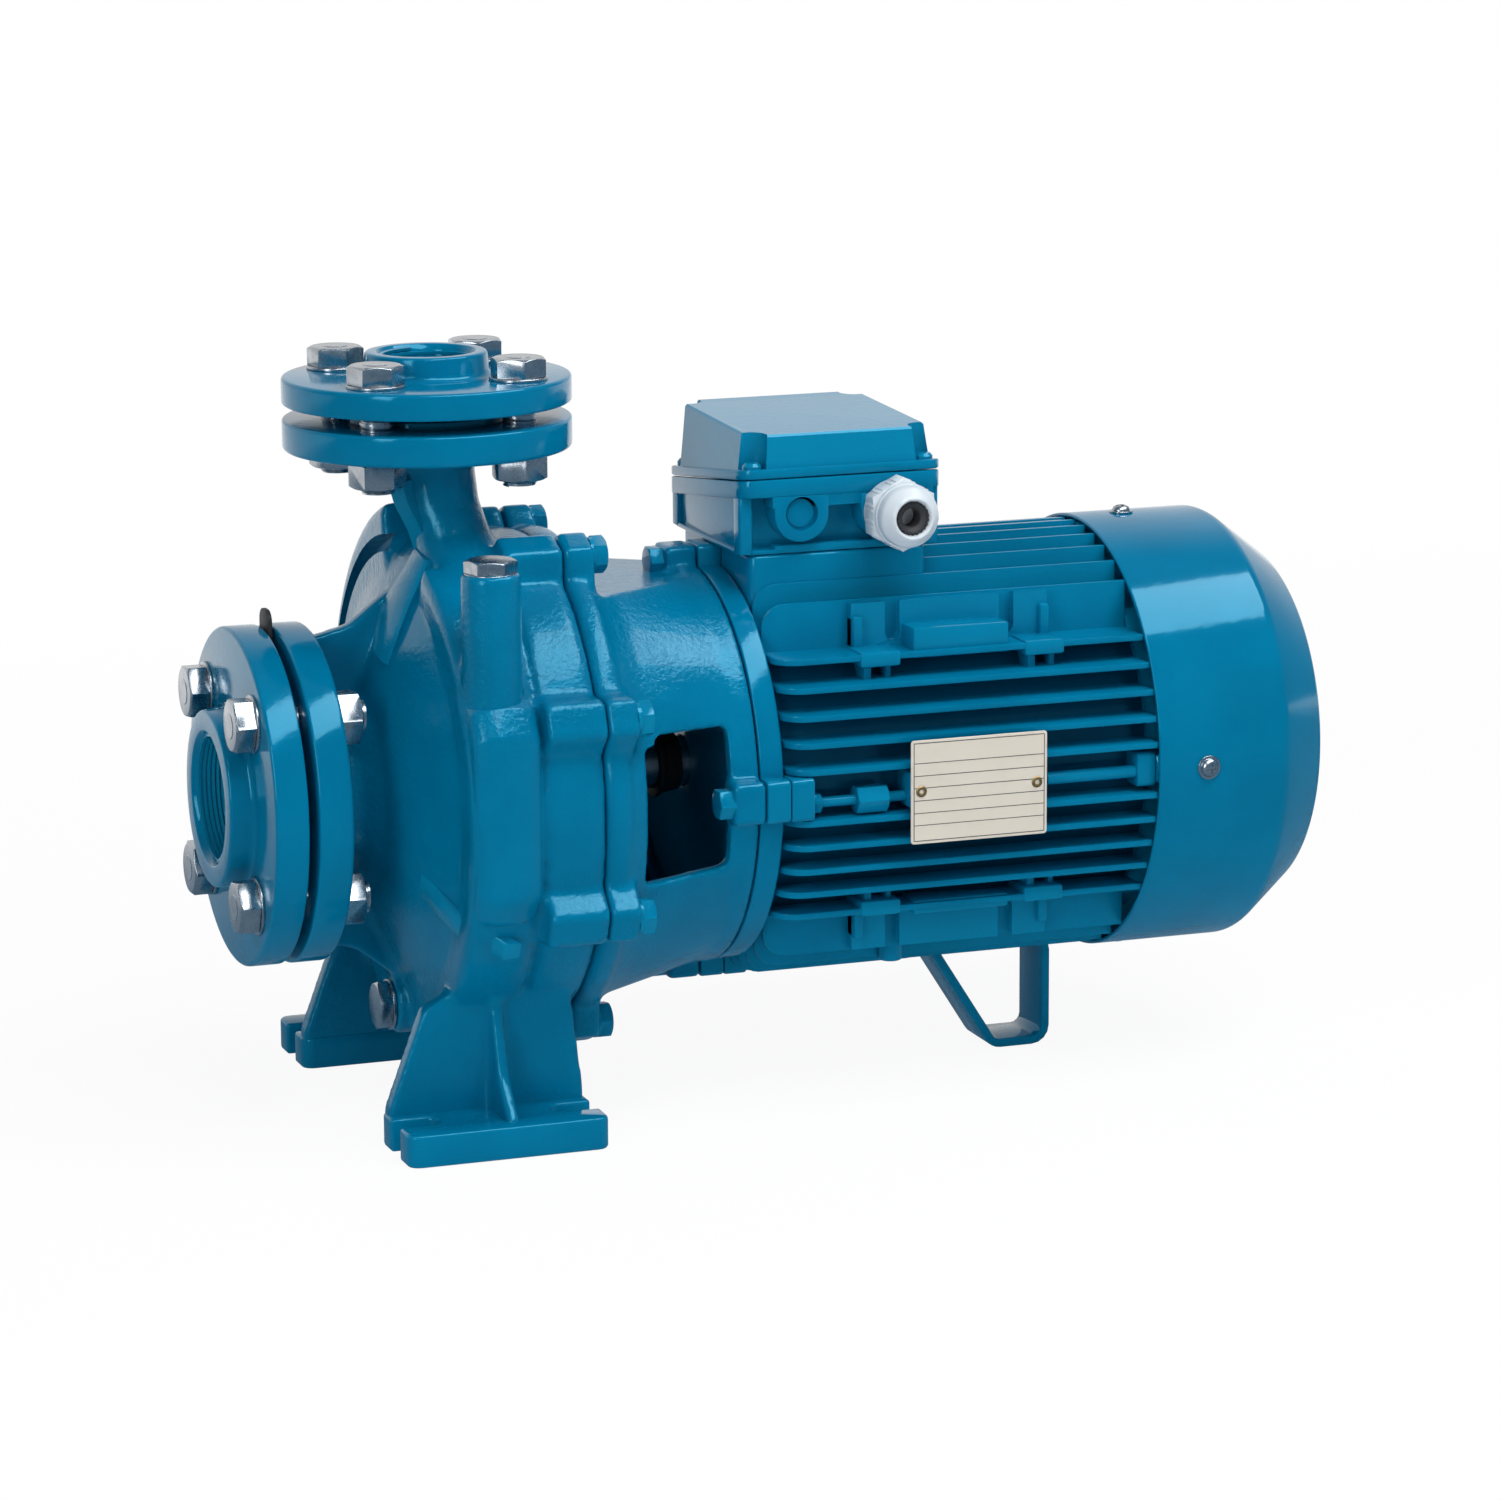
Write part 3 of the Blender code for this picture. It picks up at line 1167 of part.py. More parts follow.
def fan_cover_grille():
    """Guard of flat rings on spokes, welded inside the air opening."""
    end_x = FAN_COVER_END_X - FAN_COVER_SHEET - FIT_GAP
    start_x = end_x - GRILLE_THICK
    outer_r = GRILLE_OPENING_R + GRILLE_RIM
    rim_r = outer_r - GRILLE_RIM - EDGE
    body = washer("fan_cover_grille", start_x, end_x, rim_r, outer_r, COARSE_ROUND_STEPS)
    half = GRILLE_RING_WIDTH / 2
    sunk = GRILLE_SPOKE_SUNK
    for number in range(GRILLE_SPOKES):
        spoke = block("spoke", (start_x + sunk, -half, 0), (end_x - sunk, half, outer_r - GRILLE_RIM / 2))
        fuse(body, place(spoke, turn_x(360 * (number + GRILLE_SPOKE_TURN) / GRILLE_SPOKES)))
    fuse(body, drum("middle", start_x, end_x, GRILLE_HUB_R))
    for ring in range(1, GRILLE_RINGS + 1):
        middle = GRILLE_HUB_R + (rim_r - GRILLE_HUB_R) * ring / (GRILLE_RINGS + 1)
        fuse(body, washer("ring", start_x, end_x, middle - half, middle + half, COARSE_ROUND_STEPS))
    return body


def seam_level(y, offset=0.0):
    """Height of the sloping seam of the box at a place across it."""
    return BOX_SEAM_Z - y * math.tan(math.radians(BOX_SEAM_TILT_DEG)) + offset


def sloped(outline, offset):
    return [(x, y, seam_level(y, offset)) for x, y in outline]


def level_with(outline, height):
    return [(x, y, height) for x, y in outline]


def box_outline(inset, corner=BOX_CORNER):
    half_x = BOX_HALF_LENGTH - inset
    half_y = BOX_HALF_DEPTH - inset
    return rounded_rectangle(half_x, half_y, corner, (BOX_CENTRE_X, 0))


def lid_outline(inset):
    """Outline of the raised part of the lid, with its corners cut off straight."""
    half_x = BOX_HALF_LENGTH - inset
    half_y = BOX_HALF_DEPTH - inset
    corner = LID_CORNER_CUT
    quarter = [(half_x, half_y - corner), (half_x - corner, half_y)]
    outline = quarter + [(-x, y) for x, y in reversed(quarter)]
    outline += [(-x, -y) for x, y in quarter] + [(x, -y) for x, y in reversed(quarter)]
    return [(BOX_CENTRE_X + x, y) for x, y in outline]


def lid_top(outline, offset):
    """Lay an outline on the top of the lid, which rises slightly to the back."""
    rise = math.tan(math.radians(BOX_TOP_TILT_DEG))
    return [(x, y, BOX_TOP_Z + offset + (y + BOX_HALF_DEPTH) * rise) for x, y in outline]


def terminal_box_base():
    """Box under the sloping seam, with the apron, the knock-out's boss and the gland's seat."""
    base_z = FRAME_PAD_TOP + FIT_GAP
    wide = box_outline(0)
    half_gap = BOX_SEAM_GAP / 2
    base = loft("terminal_box_base", [sloped(wide, -BOX_FLANGE), sloped(wide, -half_gap)])
    half_length, half_depth = BOX_HALF_LENGTH - BOX_END_INSET, BOX_HALF_DEPTH - BOX_SIDE_INSET
    narrow = rounded_rectangle(half_length, half_depth, BOX_BODY_CORNER, (BOX_CENTRE_X, 0))
    fuse(base, loft("body", [level_with(narrow, base_z), sloped(narrow, -BOX_FLANGE / 2)]))
    apron_y = APRON_SHORT - BOX_HALF_DEPTH
    root_y = BOX_SIDE_INSET - BOX_HALF_DEPTH + JOIN_DEPTH
    top_z = seam_level(0, -BOX_FLANGE / 2)
    fuse(base, block("apron", (APRON_START_X, apron_y, APRON_Z), (APRON_END_X, root_y, top_z)))
    boss_end = BOX_SIDE_INSET - KNOCKOUT_SHORT
    seats = (
        (KNOCKOUT_X, KNOCKOUT_Z, KNOCKOUT_BOSS_R, boss_end),
        (GLAND_X, GLAND_Z, GLAND_SEAT_R, BOX_SIDE_INSET + GLAND_SEAT_PROUD),
    )
    front_y = BOX_SIDE_INSET - BOX_HALF_DEPTH
    for centre_x, centre_z, radius, end in seats:
        boss = drum("boss", -JOIN_DEPTH / 2, end, radius)
        fuse(base, place(boss, move(centre_x, front_y, centre_z) @ TO_NEAR_SIDE))
    recess = drum("recess", boss_end - KNOCKOUT_DEPTH, boss_end + CUT_OVERRUN, KNOCKOUT_R)
    return cut(base, place(recess, move(KNOCKOUT_X, front_y, KNOCKOUT_Z) @ TO_NEAR_SIDE))


def terminal_box_lid():
    """Lid with a round recess over each corner screw."""
    wide = box_outline(0)
    lid = loft("terminal_box_lid", [sloped(wide, BOX_SEAM_GAP / 2), sloped(wide, LID_FLANGE)])
    dome = [
        sloped(lid_outline(LID_FOOT_INSET), LID_FLANGE / 2),
        lid_top(lid_outline(LID_TOP_INSET), -LID_TOP_EDGE),
        lid_top(lid_outline(LID_TOP_INSET + LID_TOP_EDGE), 0),
    ]
    fuse(lid, loft("dome", dome))
    for side_x in (-1, 1):
        for side_y in (-1, 1):
            x = BOX_CENTRE_X + side_x * (BOX_HALF_LENGTH - LID_SCREW_INSET)
            y = side_y * (BOX_HALF_DEPTH - LID_SCREW_INSET)
            floor = seam_level(y, LID_FLANGE - EDGE)
            top = BOX_TOP_Z + BOX_HALF_DEPTH / 4
            room = drum("room", floor, top, LID_SCREW_ROOM_R, DRILL_STEPS)
            cut(lid, place(room, move(x, y, 0) @ UPRIGHT))
    return lid


def along_gland(thing, distance):
    """Point a piece that runs along X out of the front of the box."""
    seat_y = -(BOX_HALF_DEPTH + GLAND_SEAT_PROUD + distance)
    return place(thing, move(GLAND_X, seat_y, GLAND_Z) @ TO_NEAR_SIDE)


def gland_body():
    body = slab("gland_body", hexagon(GLAND_BODY_FLATS), 0, GLAND_BODY_LENGTH, "X")
    bore_end = GLAND_BODY_LENGTH + CUT_OVERRUN
    cut(body, drum("bore", GLAND_BODY_LENGTH / 2, bore_end, GLAND_BORE_R + FIT_GAP))
    return along_gland(body, FIT_GAP)


def gland_cap():
    """Domed nut of the gland, with its round mouth."""
    mouth_r = GLAND_CAP_R - GLAND_CAP_MOUTH
    profile = [
        (0, GLAND_BORE_R + FIT_GAP),
        (0, GLAND_CAP_R),
        (GLAND_CAP_LENGTH - GLAND_CAP_DOME, GLAND_CAP_R),
        (GLAND_CAP_LENGTH - GLAND_CAP_DOME / 2, GLAND_CAP_R - EDGE),
        (GLAND_CAP_LENGTH - EDGE, (GLAND_CAP_R + mouth_r) / 2),
        (GLAND_CAP_LENGTH, mouth_r),
        (GLAND_CAP_LENGTH, GLAND_BORE_R + FIT_GAP),
    ]
    body = turned("gland_cap", profile, COARSE_ROUND_STEPS, ring=True)
    return along_gland(body, GLAND_BODY_LENGTH + 2 * FIT_GAP)


def gland_seal():
    start = GLAND_BODY_LENGTH / 2 + FIT_GAP
    end = GLAND_BODY_LENGTH + GLAND_CAP_LENGTH - GLAND_SEAL_SHORT
    body = washer("gland_seal", start, end, GLAND_CABLE_R, GLAND_BORE_R, SMALL_ROUND_STEPS)
    return along_gland(body, FIT_GAP)


def offset_path(points, distance):
    """Run a second line beside a bent one, at the same distance all along."""
    moved = []
    for number, (x, z) in enumerate(points):
        directions = []
        for first, second in ((number - 1, number), (number, number + 1)):
            if first >= 0 and second < len(points):
                run = Vector(points[second]) - Vector(points[first])
                directions.append(run.normalized())
        normals = [Vector((-d.y, d.x)) for d in directions]
        mitre = sum(normals, Vector((0, 0))).normalized()
        share = distance / mitre.dot(normals[0])
        moved.append((x + mitre.x * share, z + mitre.y * share))
    return moved


def motor_support_strap():
    """Flat bar bent into the foot that carries the motor end."""
    top = -STRAP_TOP_DROP
    floor = -SHAFT_HEIGHT
    path = [
        (STRAP_TOP_FRONT_X - STRAP_TAB, top),
        (STRAP_TOP_FRONT_X, top),
        (STRAP_FLOOR_FRONT_X, floor),
        (STRAP_REAR_X, floor),
        (STRAP_REAR_X, top + STRAP_THICK),
        (STRAP_REAR_X - STRAP_TAB, top + STRAP_THICK),
    ]
    outline = path + list(reversed(offset_path(path, STRAP_THICK)))
    return slab("motor_support_strap", outline, -STRAP_WIDTH / 2, STRAP_WIDTH / 2, "Y")


def hang_on(frame, pieces, material):
    for made in pieces:
        made.parent = frame
        made.data.materials.clear()
        made.data.materials.append(material)
        made.data.shade_smooth()
        made.data.set_sharp_from_angle(angle=math.radians(SHARP_EDGE_DEG))


def empty_at(name):
    frame = bpy.data.objects.new(name, None)
    bpy.context.scene.collection.objects.link(frame)
    frame.location = (-BODY_MIDDLE_X, 0, SHAFT_HEIGHT)
    return frame


def main():
    clear_scene()
    enamel = finish_material("enamel", ENAMEL, 0.28, 0.0)
    rubber = finish_material("rubber", DARK_RUBBER, 0.7, 0.0)
    zinc = finish_material("zinc", ZINC, 0.3, 1.0)
    gland_plastic = finish_material("gland_plastic", GLAND_GREY, 0.4, 0.0)
    steel = finish_material("steel", STEEL, 0.35, 1.0)
    bronze = finish_material("bronze", BRONZE, 0.4, 1.0)
    fan_plastic = finish_material("fan_plastic", DARK_RUBBER, 0.5, 0.0)

    stator = empty_at("pump_axis")
    painted = [
        pump_casing(),
        casing_cover(),
        lantern_bracket(),
        suction_counter_flange(),
        discharge_counter_flange(),
        motor_end_shield(),
        motor_frame(),
        rear_end_shield(),
        fan_cover(),
        fan_cover_grille(),
        terminal_box_base(),
        terminal_box_lid(),
        motor_support_strap(),
    ]
    hang_on(stator, painted, enamel)
    hang_on(stator, [suction_gasket(), discharge_gasket(), gland_seal()], rubber)
    hang_on(stator, [priming_plug(), drain_plug()], zinc)
    hang_on(stator, [gland_body(), gland_cap()], gland_plastic)

    rotor = empty_at("rotor_axis")
    hang_on(rotor, [motor_shaft()], steel)
    hang_on(rotor, [impeller()], bronze)
    hang_on(rotor, [shaft_slinger()], rubber)
    hang_on(rotor, [cooling_fan()], fan_plastic)


main()
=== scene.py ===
"""Looks of a close-coupled centrifugal pump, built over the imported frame.

Every piece is made in millimetres in the pump's own frame, with the shaft along X through the
origin and the discharge branch straight above it, and is then moved into the row frame in metres.
"""

import logging
import math
from dataclasses import dataclass
from enum import Enum
from typing import Any, Iterable, Sequence

import bmesh
import bpy
from mathutils import Matrix, Vector


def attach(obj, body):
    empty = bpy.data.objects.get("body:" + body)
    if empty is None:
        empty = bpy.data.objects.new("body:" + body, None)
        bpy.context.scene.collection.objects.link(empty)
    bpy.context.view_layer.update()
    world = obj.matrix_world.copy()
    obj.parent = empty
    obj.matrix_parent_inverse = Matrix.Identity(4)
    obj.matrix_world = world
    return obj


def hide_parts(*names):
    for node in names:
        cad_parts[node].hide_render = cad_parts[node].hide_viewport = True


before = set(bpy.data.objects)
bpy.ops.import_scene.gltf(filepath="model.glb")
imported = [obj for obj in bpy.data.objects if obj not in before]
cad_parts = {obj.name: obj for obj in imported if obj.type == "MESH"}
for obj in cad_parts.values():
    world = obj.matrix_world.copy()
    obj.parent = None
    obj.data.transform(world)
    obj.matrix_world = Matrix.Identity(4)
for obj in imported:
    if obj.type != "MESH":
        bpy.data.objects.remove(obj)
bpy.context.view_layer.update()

LOG = logging.getLogger("pump")

Pair = tuple[float, float]
Point = tuple[float, float, float]
Colour = tuple[float, float, float, float]
Piece = bpy.types.Object

MM = 0.001
DISCHARGE_AXIS_X = -162.35
SHAFT_HEIGHT = 160.0
TO_ROW = Matrix.Translation((DISCHARGE_AXIS_X * MM, 0.0, SHAFT_HEIGHT * MM)) @ Matrix.Scale(MM, 4)
UPRIGHT = Matrix.Rotation(math.radians(-90), 4, "Y")
TO_NEAR_SIDE = Matrix.Rotation(math.radians(-90), 4, "Z")
TURNED_ABOUT = Matrix.Rotation(math.radians(180), 4, "Z")
FULL_TURN = 2 * math.pi
CORNER_SIGNS = ((-1, -1), (-1, 1), (1, -1), (1, 1))
CLAMP_SCREWS = 8
FIRST_CLAMP_SCREW = math.radians(22.5)
HEAD_SPIN = math.radians(60)
CHAMFER_DEPTH = 1.15
CHAMFER_LEAN = 0.55
WHITE = (1.0, 1.0, 1.0, 1.0)
DARK_ROOM = (0.11, 0.19, 0.27, 1.0)


class Body(Enum):
    """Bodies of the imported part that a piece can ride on."""

    STATOR = "stator"
    ROTOR = "rotor"


class Slot(Enum):
    """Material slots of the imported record."""

    ENAMEL = "enamel"
    RUBBER = "rubber"
    ZINC = "zinc"
    GLAND_PLASTIC = "gland_plastic"
    STEEL = "steel"
    BRONZE = "bronze"
    FAN_PLASTIC = "fan_plastic"


class Axis(Enum):
    """Axes that a shape runs along or turns about."""

    X = "X"
    Y = "Y"
    Z = "Z"


class Operation(Enum):
    """Ways to combine two solids."""

    UNION = "UNION"
    DIFFERENCE = "DIFFERENCE"
    INTERSECT = "INTERSECT"


class Wire:
    """One output socket of a node tree. Plain arithmetic on it adds Math nodes."""

    def __init__(self, graph: "NodeGraph", socket: bpy.types.NodeSocket) -> None:
        """Keep the tree and the socket that carries the value."""
        self.graph = graph
        self.socket = socket

    def math(self, operation: str, *others: "Operand", swapped: bool = False) -> "Wire":
        """Add one Math node.

        Args:
            operation: Name of the Math node's operation.
            others: The other operands.
            swapped: Put this value last instead of first.

        Returns:
            The result.
        """
        operands = (*others, self) if swapped else (self, *others)
        return self.graph.node("ShaderNodeMath", {"operation": operation}, dict(enumerate(operands)))

    def __add__(self, other: "Operand") -> "Wire":
        """Add."""
        return self.math("ADD", other)

    def __radd__(self, other: "Operand") -> "Wire":
        """Add, reflected."""
        return self.math("ADD", other, swapped=True)

    def __sub__(self, other: "Operand") -> "Wire":
        """Subtract."""
        return self.math("SUBTRACT", other)

    def __rsub__(self, other: "Operand") -> "Wire":
        """Subtract this from a number."""
        return self.math("SUBTRACT", other, swapped=True)

    def __mul__(self, other: "Operand") -> "Wire":
        """Multiply."""
        return self.math("MULTIPLY", other)

    def __rmul__(self, other: "Operand") -> "Wire":
        """Multiply, reflected."""
        return self.math("MULTIPLY", other, swapped=True)

    def __rtruediv__(self, other: "Operand") -> "Wire":
        """Divide a number by this."""
        return self.math("DIVIDE", other, swapped=True)

    def __pow__(self, other: "Operand") -> "Wire":
        """Raise to a power."""
        return self.math("POWER", other)

    def between(self, low: float, high: float) -> "Wire":
        """Smooth step from 0 at low to 1 at high.

        Args:
            low: Value that gives 0.
            high: Value that gives 1.

        Returns:
            The step.
        """
        return self.graph.node(
            "ShaderNodeMapRange",
            {"interpolation_type": "SMOOTHSTEP"},
            {"Value": self, "From Min": low, "From Max": high},
        )


Operand = Wire | float | int


class NodeGraph:
    """A node tree that is filled through one method."""

    def __init__(self, tree: bpy.types.NodeTree) -> None:
        """Keep the tree to fill."""
        self.tree = tree

    def node(
        self,
        kind: str,
        settings: dict[str, Any] | None = None,
        sockets: dict[str | int, Any] | None = None,
        output: str | int = 0,
    ) -> Wire:
        """Add a node.

        Args:
            kind: Type name of the node.
            settings: Settings of the node, set first.
            sockets: Values or wires for its input sockets, by name or number.
            output: The output socket to return.

        Returns:
            The chosen output of the new node.
        """
        made = self.tree.nodes.new(kind)
        for name, value in (settings or {}).items():
            setattr(made, name, value)
        for key, value in (sockets or {}).items():
            if isinstance(value, Wire):
                self.tree.links.new(value.socket, made.inputs[key])
            else:
                made.inputs[key].default_value = value
        return Wire(self, made.outputs[output])

    def parts(self, vector: Wire) -> tuple[Wire, Wire, Wire]:
        """Split a vector into its three values."""
        made = self.node("ShaderNodeSeparateXYZ", None, {0: vector}).socket.node
        return tuple(Wire(self, made.outputs[number]) for number in range(3))

    def blend(self, share: Operand, first: Wire | Colour, second: Wire | Colour) -> Wire:
        """Mix two colours.

        Args:
            share: How much of the second colour shows.
            first: Colour at a share of 0.
            second: Colour at a share of 1.

        Returns:
            The mixed colour.
        """
        sockets = {0: share, 6: first, 7: second}
        return self.node("ShaderNodeMix", {"data_type": "RGBA"}, sockets, output=2)

    def noise(self, scale: float, detail: float = 2.0, roughness: float = 0.5) -> Wire:
        """Noise over the piece's own coordinates.

        Args:
            scale: Cells per metre.
            detail: Octaves.
            roughness: Share of the finer octaves.

        Returns:
            The noise, about 0 to 1.
        """
        place = self.node("ShaderNodeTexCoord", output="Object")
        sockets = {"Vector": place, "Scale": scale, "Detail": detail, "Roughness": roughness}
        return self.node("ShaderNodeTexNoise", None, sockets)

    def bump(self, height: Wire, depth: float, under: Wire | None = None) -> Wire:
        """Turn a height from 0 to 1 into a normal.

        Args:
            height: The height.
            depth: What a height of 1 stands for, in millimetres.
            under: Normal that the bumps lie on, or None for the bare surface.

        Returns:
            The normal.
        """
        sockets = {"Height": height, "Distance": depth * MM, "Strength": 1.0}
        if under is not None:
            sockets["Normal"] = under
        return self.node("ShaderNodeBump", None, sockets)


def new_shader(name: str, constants: dict[str, Any]) -> tuple[bpy.types.Material, NodeGraph, Any]:
    """Start a material on a Principled shader.

    Args:
        name: Name of the material.
        constants: Values of the sockets that don't vary.

    Returns:
        The material, its graph, and the Principled node.
    """
    material = bpy.data.materials.new(name)
    material.use_nodes = True
    principled = material.node_tree.nodes["Principled BSDF"]
    for socket, value in constants.items():
        principled.inputs[socket].default_value = value
    return material, NodeGraph(material.node_tree), principled


def feed(graph: NodeGraph, principled: bpy.types.Node, wires: dict[str, Wire]) -> None:
    """Link wires to the sockets of a Principled shader."""
    for socket, wire in wires.items():
        graph.tree.links.new(wire.socket, principled.inputs[socket])


@dataclass(frozen=True)
class Enamel:
    """Glossy petrol-blue enamel, over rough castings or smooth sheet.

    grain is the height of the casting's grain under the paint and peel that of the paint's own
    orange peel, both in millimetres.
    """

    name: str
    grain: float
    slot: Slot = Slot.ENAMEL
    peel: float = 0.048
    gloss: float = 0.06
    coat: float = 0.12
    patchiness: float = 0.35
    hollow_shade: float = 0.5
    edge_wear_and_highlight: float = 0.55
    sheen: Colour = (0.12, 0.72, 1.0, 1.0)
    colour: Colour = (0.0, 0.165, 0.32, 1.0)
    # shade: darker tone for random patches, and for the painted shade in hollows
    shade: Colour = (0.0, 0.1, 0.2, 1.0)
    # edge: lighter blue of worn edges, which also paints a highlight on them
    edge: Colour = (0.003, 0.23, 0.41, 1.0)

    def material(self) -> bpy.types.Material:
        """Make the material.

        Returns:
            The material.
        """
        constants = {"Coat Weight": self.coat, "Coat Roughness": 0.04, "Specular Tint": self.sheen}
        material, graph, principled = new_shader(self.name, constants)
        patches = graph.noise(22.0, 3.0)
        thin = graph.noise(7.0, 1.0)
        tone = graph.blend(patches.between(0.3, 0.75) * self.patchiness, self.colour, self.shade)
        pointed = graph.node("ShaderNodeNewGeometry", output="Pointiness")
        # edge wear and painted highlight: edges that pointiness finds sharp are painted the lighter edge
        # colour
        worn_and_lit_edges = pointed.between(0.52, 0.6) * self.edge_wear_and_highlight
        # painted shade: hollows that pointiness finds are painted towards the shade colour
        hollow = 1.0 - pointed.between(0.4, 0.495)
        tone = graph.blend(hollow * self.hollow_shade, tone, self.shade)
        tone = graph.blend(worn_and_lit_edges, tone, self.edge)
        roughness = self.gloss + 0.05 * graph.noise(60.0, 4.0) + 0.03 * thin
        normal = graph.bump(graph.noise(240.0, 1.0), self.peel)
        if self.grain > 0:
            pits = graph.noise(420.0, 3.0, 0.62)
            swell = graph.noise(130.0, 2.0)
            cover = graph.noise(16.0, 1.0).between(0.32, 0.62)
            height = (0.65 * pits + 0.35 * swell) * (0.35 + 0.65 * cover)
            normal = graph.bump(height, self.grain, normal)
        feed(graph, principled, {"Base Color": tone, "Roughness": roughness, "Normal": normal})
        return material


@dataclass(frozen=True)
class Metal:
    """Bare or plated metal with fine scratches and stains."""

    name: str
    slot: Slot
    colour: Colour
    stain: Colour
    gloss: float = 0.24
    scratch: float = 0.006

    def material(self) -> bpy.types.Material:
        """Make the material.

        Returns:
            The material.
        """
        material, graph, principled = new_shader(self.name, {"Metallic": 1.0})
        mottle = graph.noise(160.0, 4.0, 0.6)
        tone = graph.blend(mottle.between(0.42, 0.75) * 0.6, self.colour, self.stain)
        roughness = self.gloss + 0.16 * graph.noise(420.0, 3.0)
        normal = graph.bump(graph.noise(900.0, 3.0, 0.7), self.scratch)
        feed(graph, principled, {"Base Color": tone, "Roughness": roughness, "Normal": normal})
        return material


@dataclass(frozen=True)
class Moulding:
    """Moulded plastic or rubber with a fine grain."""

    name: str
    slot: Slot
    colour: Colour
    dust: Colour
    gloss: float = 0.4
    grain: float = 0.02
    cloud: float = 0.25

    def material(self) -> bpy.types.Material:
        """Make the material.

        Returns:
            The material.
        """
        material, graph, principled = new_shader(self.name, {"IOR": 1.48})
        dusty = graph.noise(45.0, 3.0).between(0.35, 0.8) * self.cloud
        tone = graph.blend(dusty, self.colour, self.dust)
        roughness = self.gloss + 0.12 * graph.noise(300.0, 2.0)
        normal = graph.bump(graph.noise(1100.0, 2.0), self.grain)
        feed(graph, principled, {"Base Color": tone, "Roughness": roughness, "Normal": normal})
        return material


ROUGH_ENAMEL = Enamel("rough_cast_enamel", grain=0.75)
FINE_ENAMEL = Enamel("fine_cast_enamel", grain=0.12)
SHEET_ENAMEL = Enamel("sheet_enamel", grain=0.0)
# painted shade: darker enamel for the frame's barrel between the fins, where shade falls
SHADED_GAP_ENAMEL = Enamel(
    "shaded_enamel",
    grain=0.12,
    colour=(0.0, 0.055, 0.12, 1.0),
    shade=(0.002, 0.02, 0.05, 1.0),
    edge=(0.0, 0.08, 0.16, 1.0),
)
ZINC = Metal("bright_zinc", Slot.ZINC, (0.5, 0.53, 0.56, 1.0), (0.3, 0.33, 0.36, 1.0), gloss=0.18)
GROUND_STEEL = Metal("ground_steel", Slot.STEEL, (0.5, 0.5, 0.51, 1.0), (0.3, 0.29, 0.28, 1.0), gloss=0.3)
CAST_BRONZE = Metal("cast_bronze", Slot.BRONZE, (0.5, 0.33, 0.15, 1.0), (0.26, 0.17, 0.08, 1.0), gloss=0.4)
BLACK_RUBBER = Moulding(
    "black_rubber", Slot.RUBBER, (0.017, 0.018, 0.02, 1.0), (0.05, 0.05, 0.052, 1.0), gloss=0.5
)
GREY_RUBBER = Moulding(
    "grey_rubber", Slot.RUBBER, (0.03, 0.032, 0.036, 1.0), (0.06, 0.065, 0.07, 1.0), gloss=0.5
)
PALE_PLASTIC = Moulding(
    "pale_gland_plastic", Slot.GLAND_PLASTIC, (0.6, 0.67, 0.73, 1.0), (0.72, 0.77, 0.8, 1.0), gloss=0.26
)
BLACK_PLASTIC = Moulding(
    "black_fan_plastic", Slot.FAN_PLASTIC, (0.02, 0.02, 0.022, 1.0), (0.05, 0.05, 0.05, 1.0), gloss=0.4
)
CREAM_PLATE = Moulding(
    "cream_plate", Slot.ENAMEL, (0.66, 0.62, 0.54, 1.0), (0.58, 0.54, 0.46, 1.0), gloss=0.3, grain=0.008
)
PLATE_INK = Moulding(
    "plate_ink", Slot.RUBBER, (0.045, 0.05, 0.06, 1.0), (0.09, 0.09, 0.1, 1.0), gloss=0.45
)
Finish = Enamel | Metal | Moulding


class Paintshop:
    """Makes each finish once and hands it out again."""

    def __init__(self) -> None:
        """Start with no material made."""
        self._made: dict[str, bpy.types.Material] = {}

    def material(self, finish: Finish) -> bpy.types.Material:
        """Give the material of a finish.

        Args:
            finish: The finish.

        Returns:
            Its material.
        """
        if finish.name not in self._made:
            self._made[finish.name] = finish.material()
        return self._made[finish.name]


SHOP = Paintshop()


def linked(name: str, shape: bmesh.types.BMesh) -> Piece:
    """Turn a bmesh into an object in the scene.

    Args:
        name: Name of the piece.
        shape: The bmesh, used up.

    Returns:
        The object.
    """
    mesh = bpy.data.meshes.new(name)
    shape.to_mesh(mesh)
    shape.free()
    made = bpy.data.objects.new(name, mesh)
    bpy.context.scene.collection.objects.link(made)
    return made


def as_piece(name: str, shape: bmesh.types.BMesh) -> Piece:
    """Turn a bmesh of closed shapes into an object whose faces point outwards."""
    bmesh.ops.recalc_face_normals(shape, faces=shape.faces[:])
    return linked(name, shape)


def applied(piece: Piece) -> Piece:
    """Turn a piece with its modifiers into a plain mesh.

    Args:
        piece: The piece.

    Returns:
        The same piece.
    """
    graph = bpy.context.evaluated_depsgraph_get()
    graph.update()
    mesh = bpy.data.meshes.new_from_object(piece.evaluated_get(graph))
    piece.modifiers.clear()
    old = piece.data
    piece.data = mesh
    bpy.data.meshes.remove(old)
    return piece


def placed(piece: Piece, matrix: Matrix) -> Piece:
    """Move the mesh of a piece, and leave its object at the origin."""
    piece.data.transform(matrix)
    return piece


def move(x: float, y: float, z: float) -> Matrix:
    """Translation."""
    return Matrix.Translation((x, y, z))


def turn(degrees: float, axis: Axis = Axis.X) -> Matrix:
    """Rotation about an axis through the origin."""
    return Matrix.Rotation(math.radians(degrees), 4, axis.value)


def joined(name: str, pieces: Iterable[Piece]) -> Piece:
    """Gather the meshes of several pieces in one, without any Boolean.

    Args:
        name: Name of the piece.
        pieces: Pieces that are used up.

    Returns:
        The new piece.
    """
    shape = bmesh.new()
    for piece in pieces:
        shape.from_mesh(piece.data)
        bpy.data.objects.remove(piece, do_unlink=True)
    return linked(name, shape)


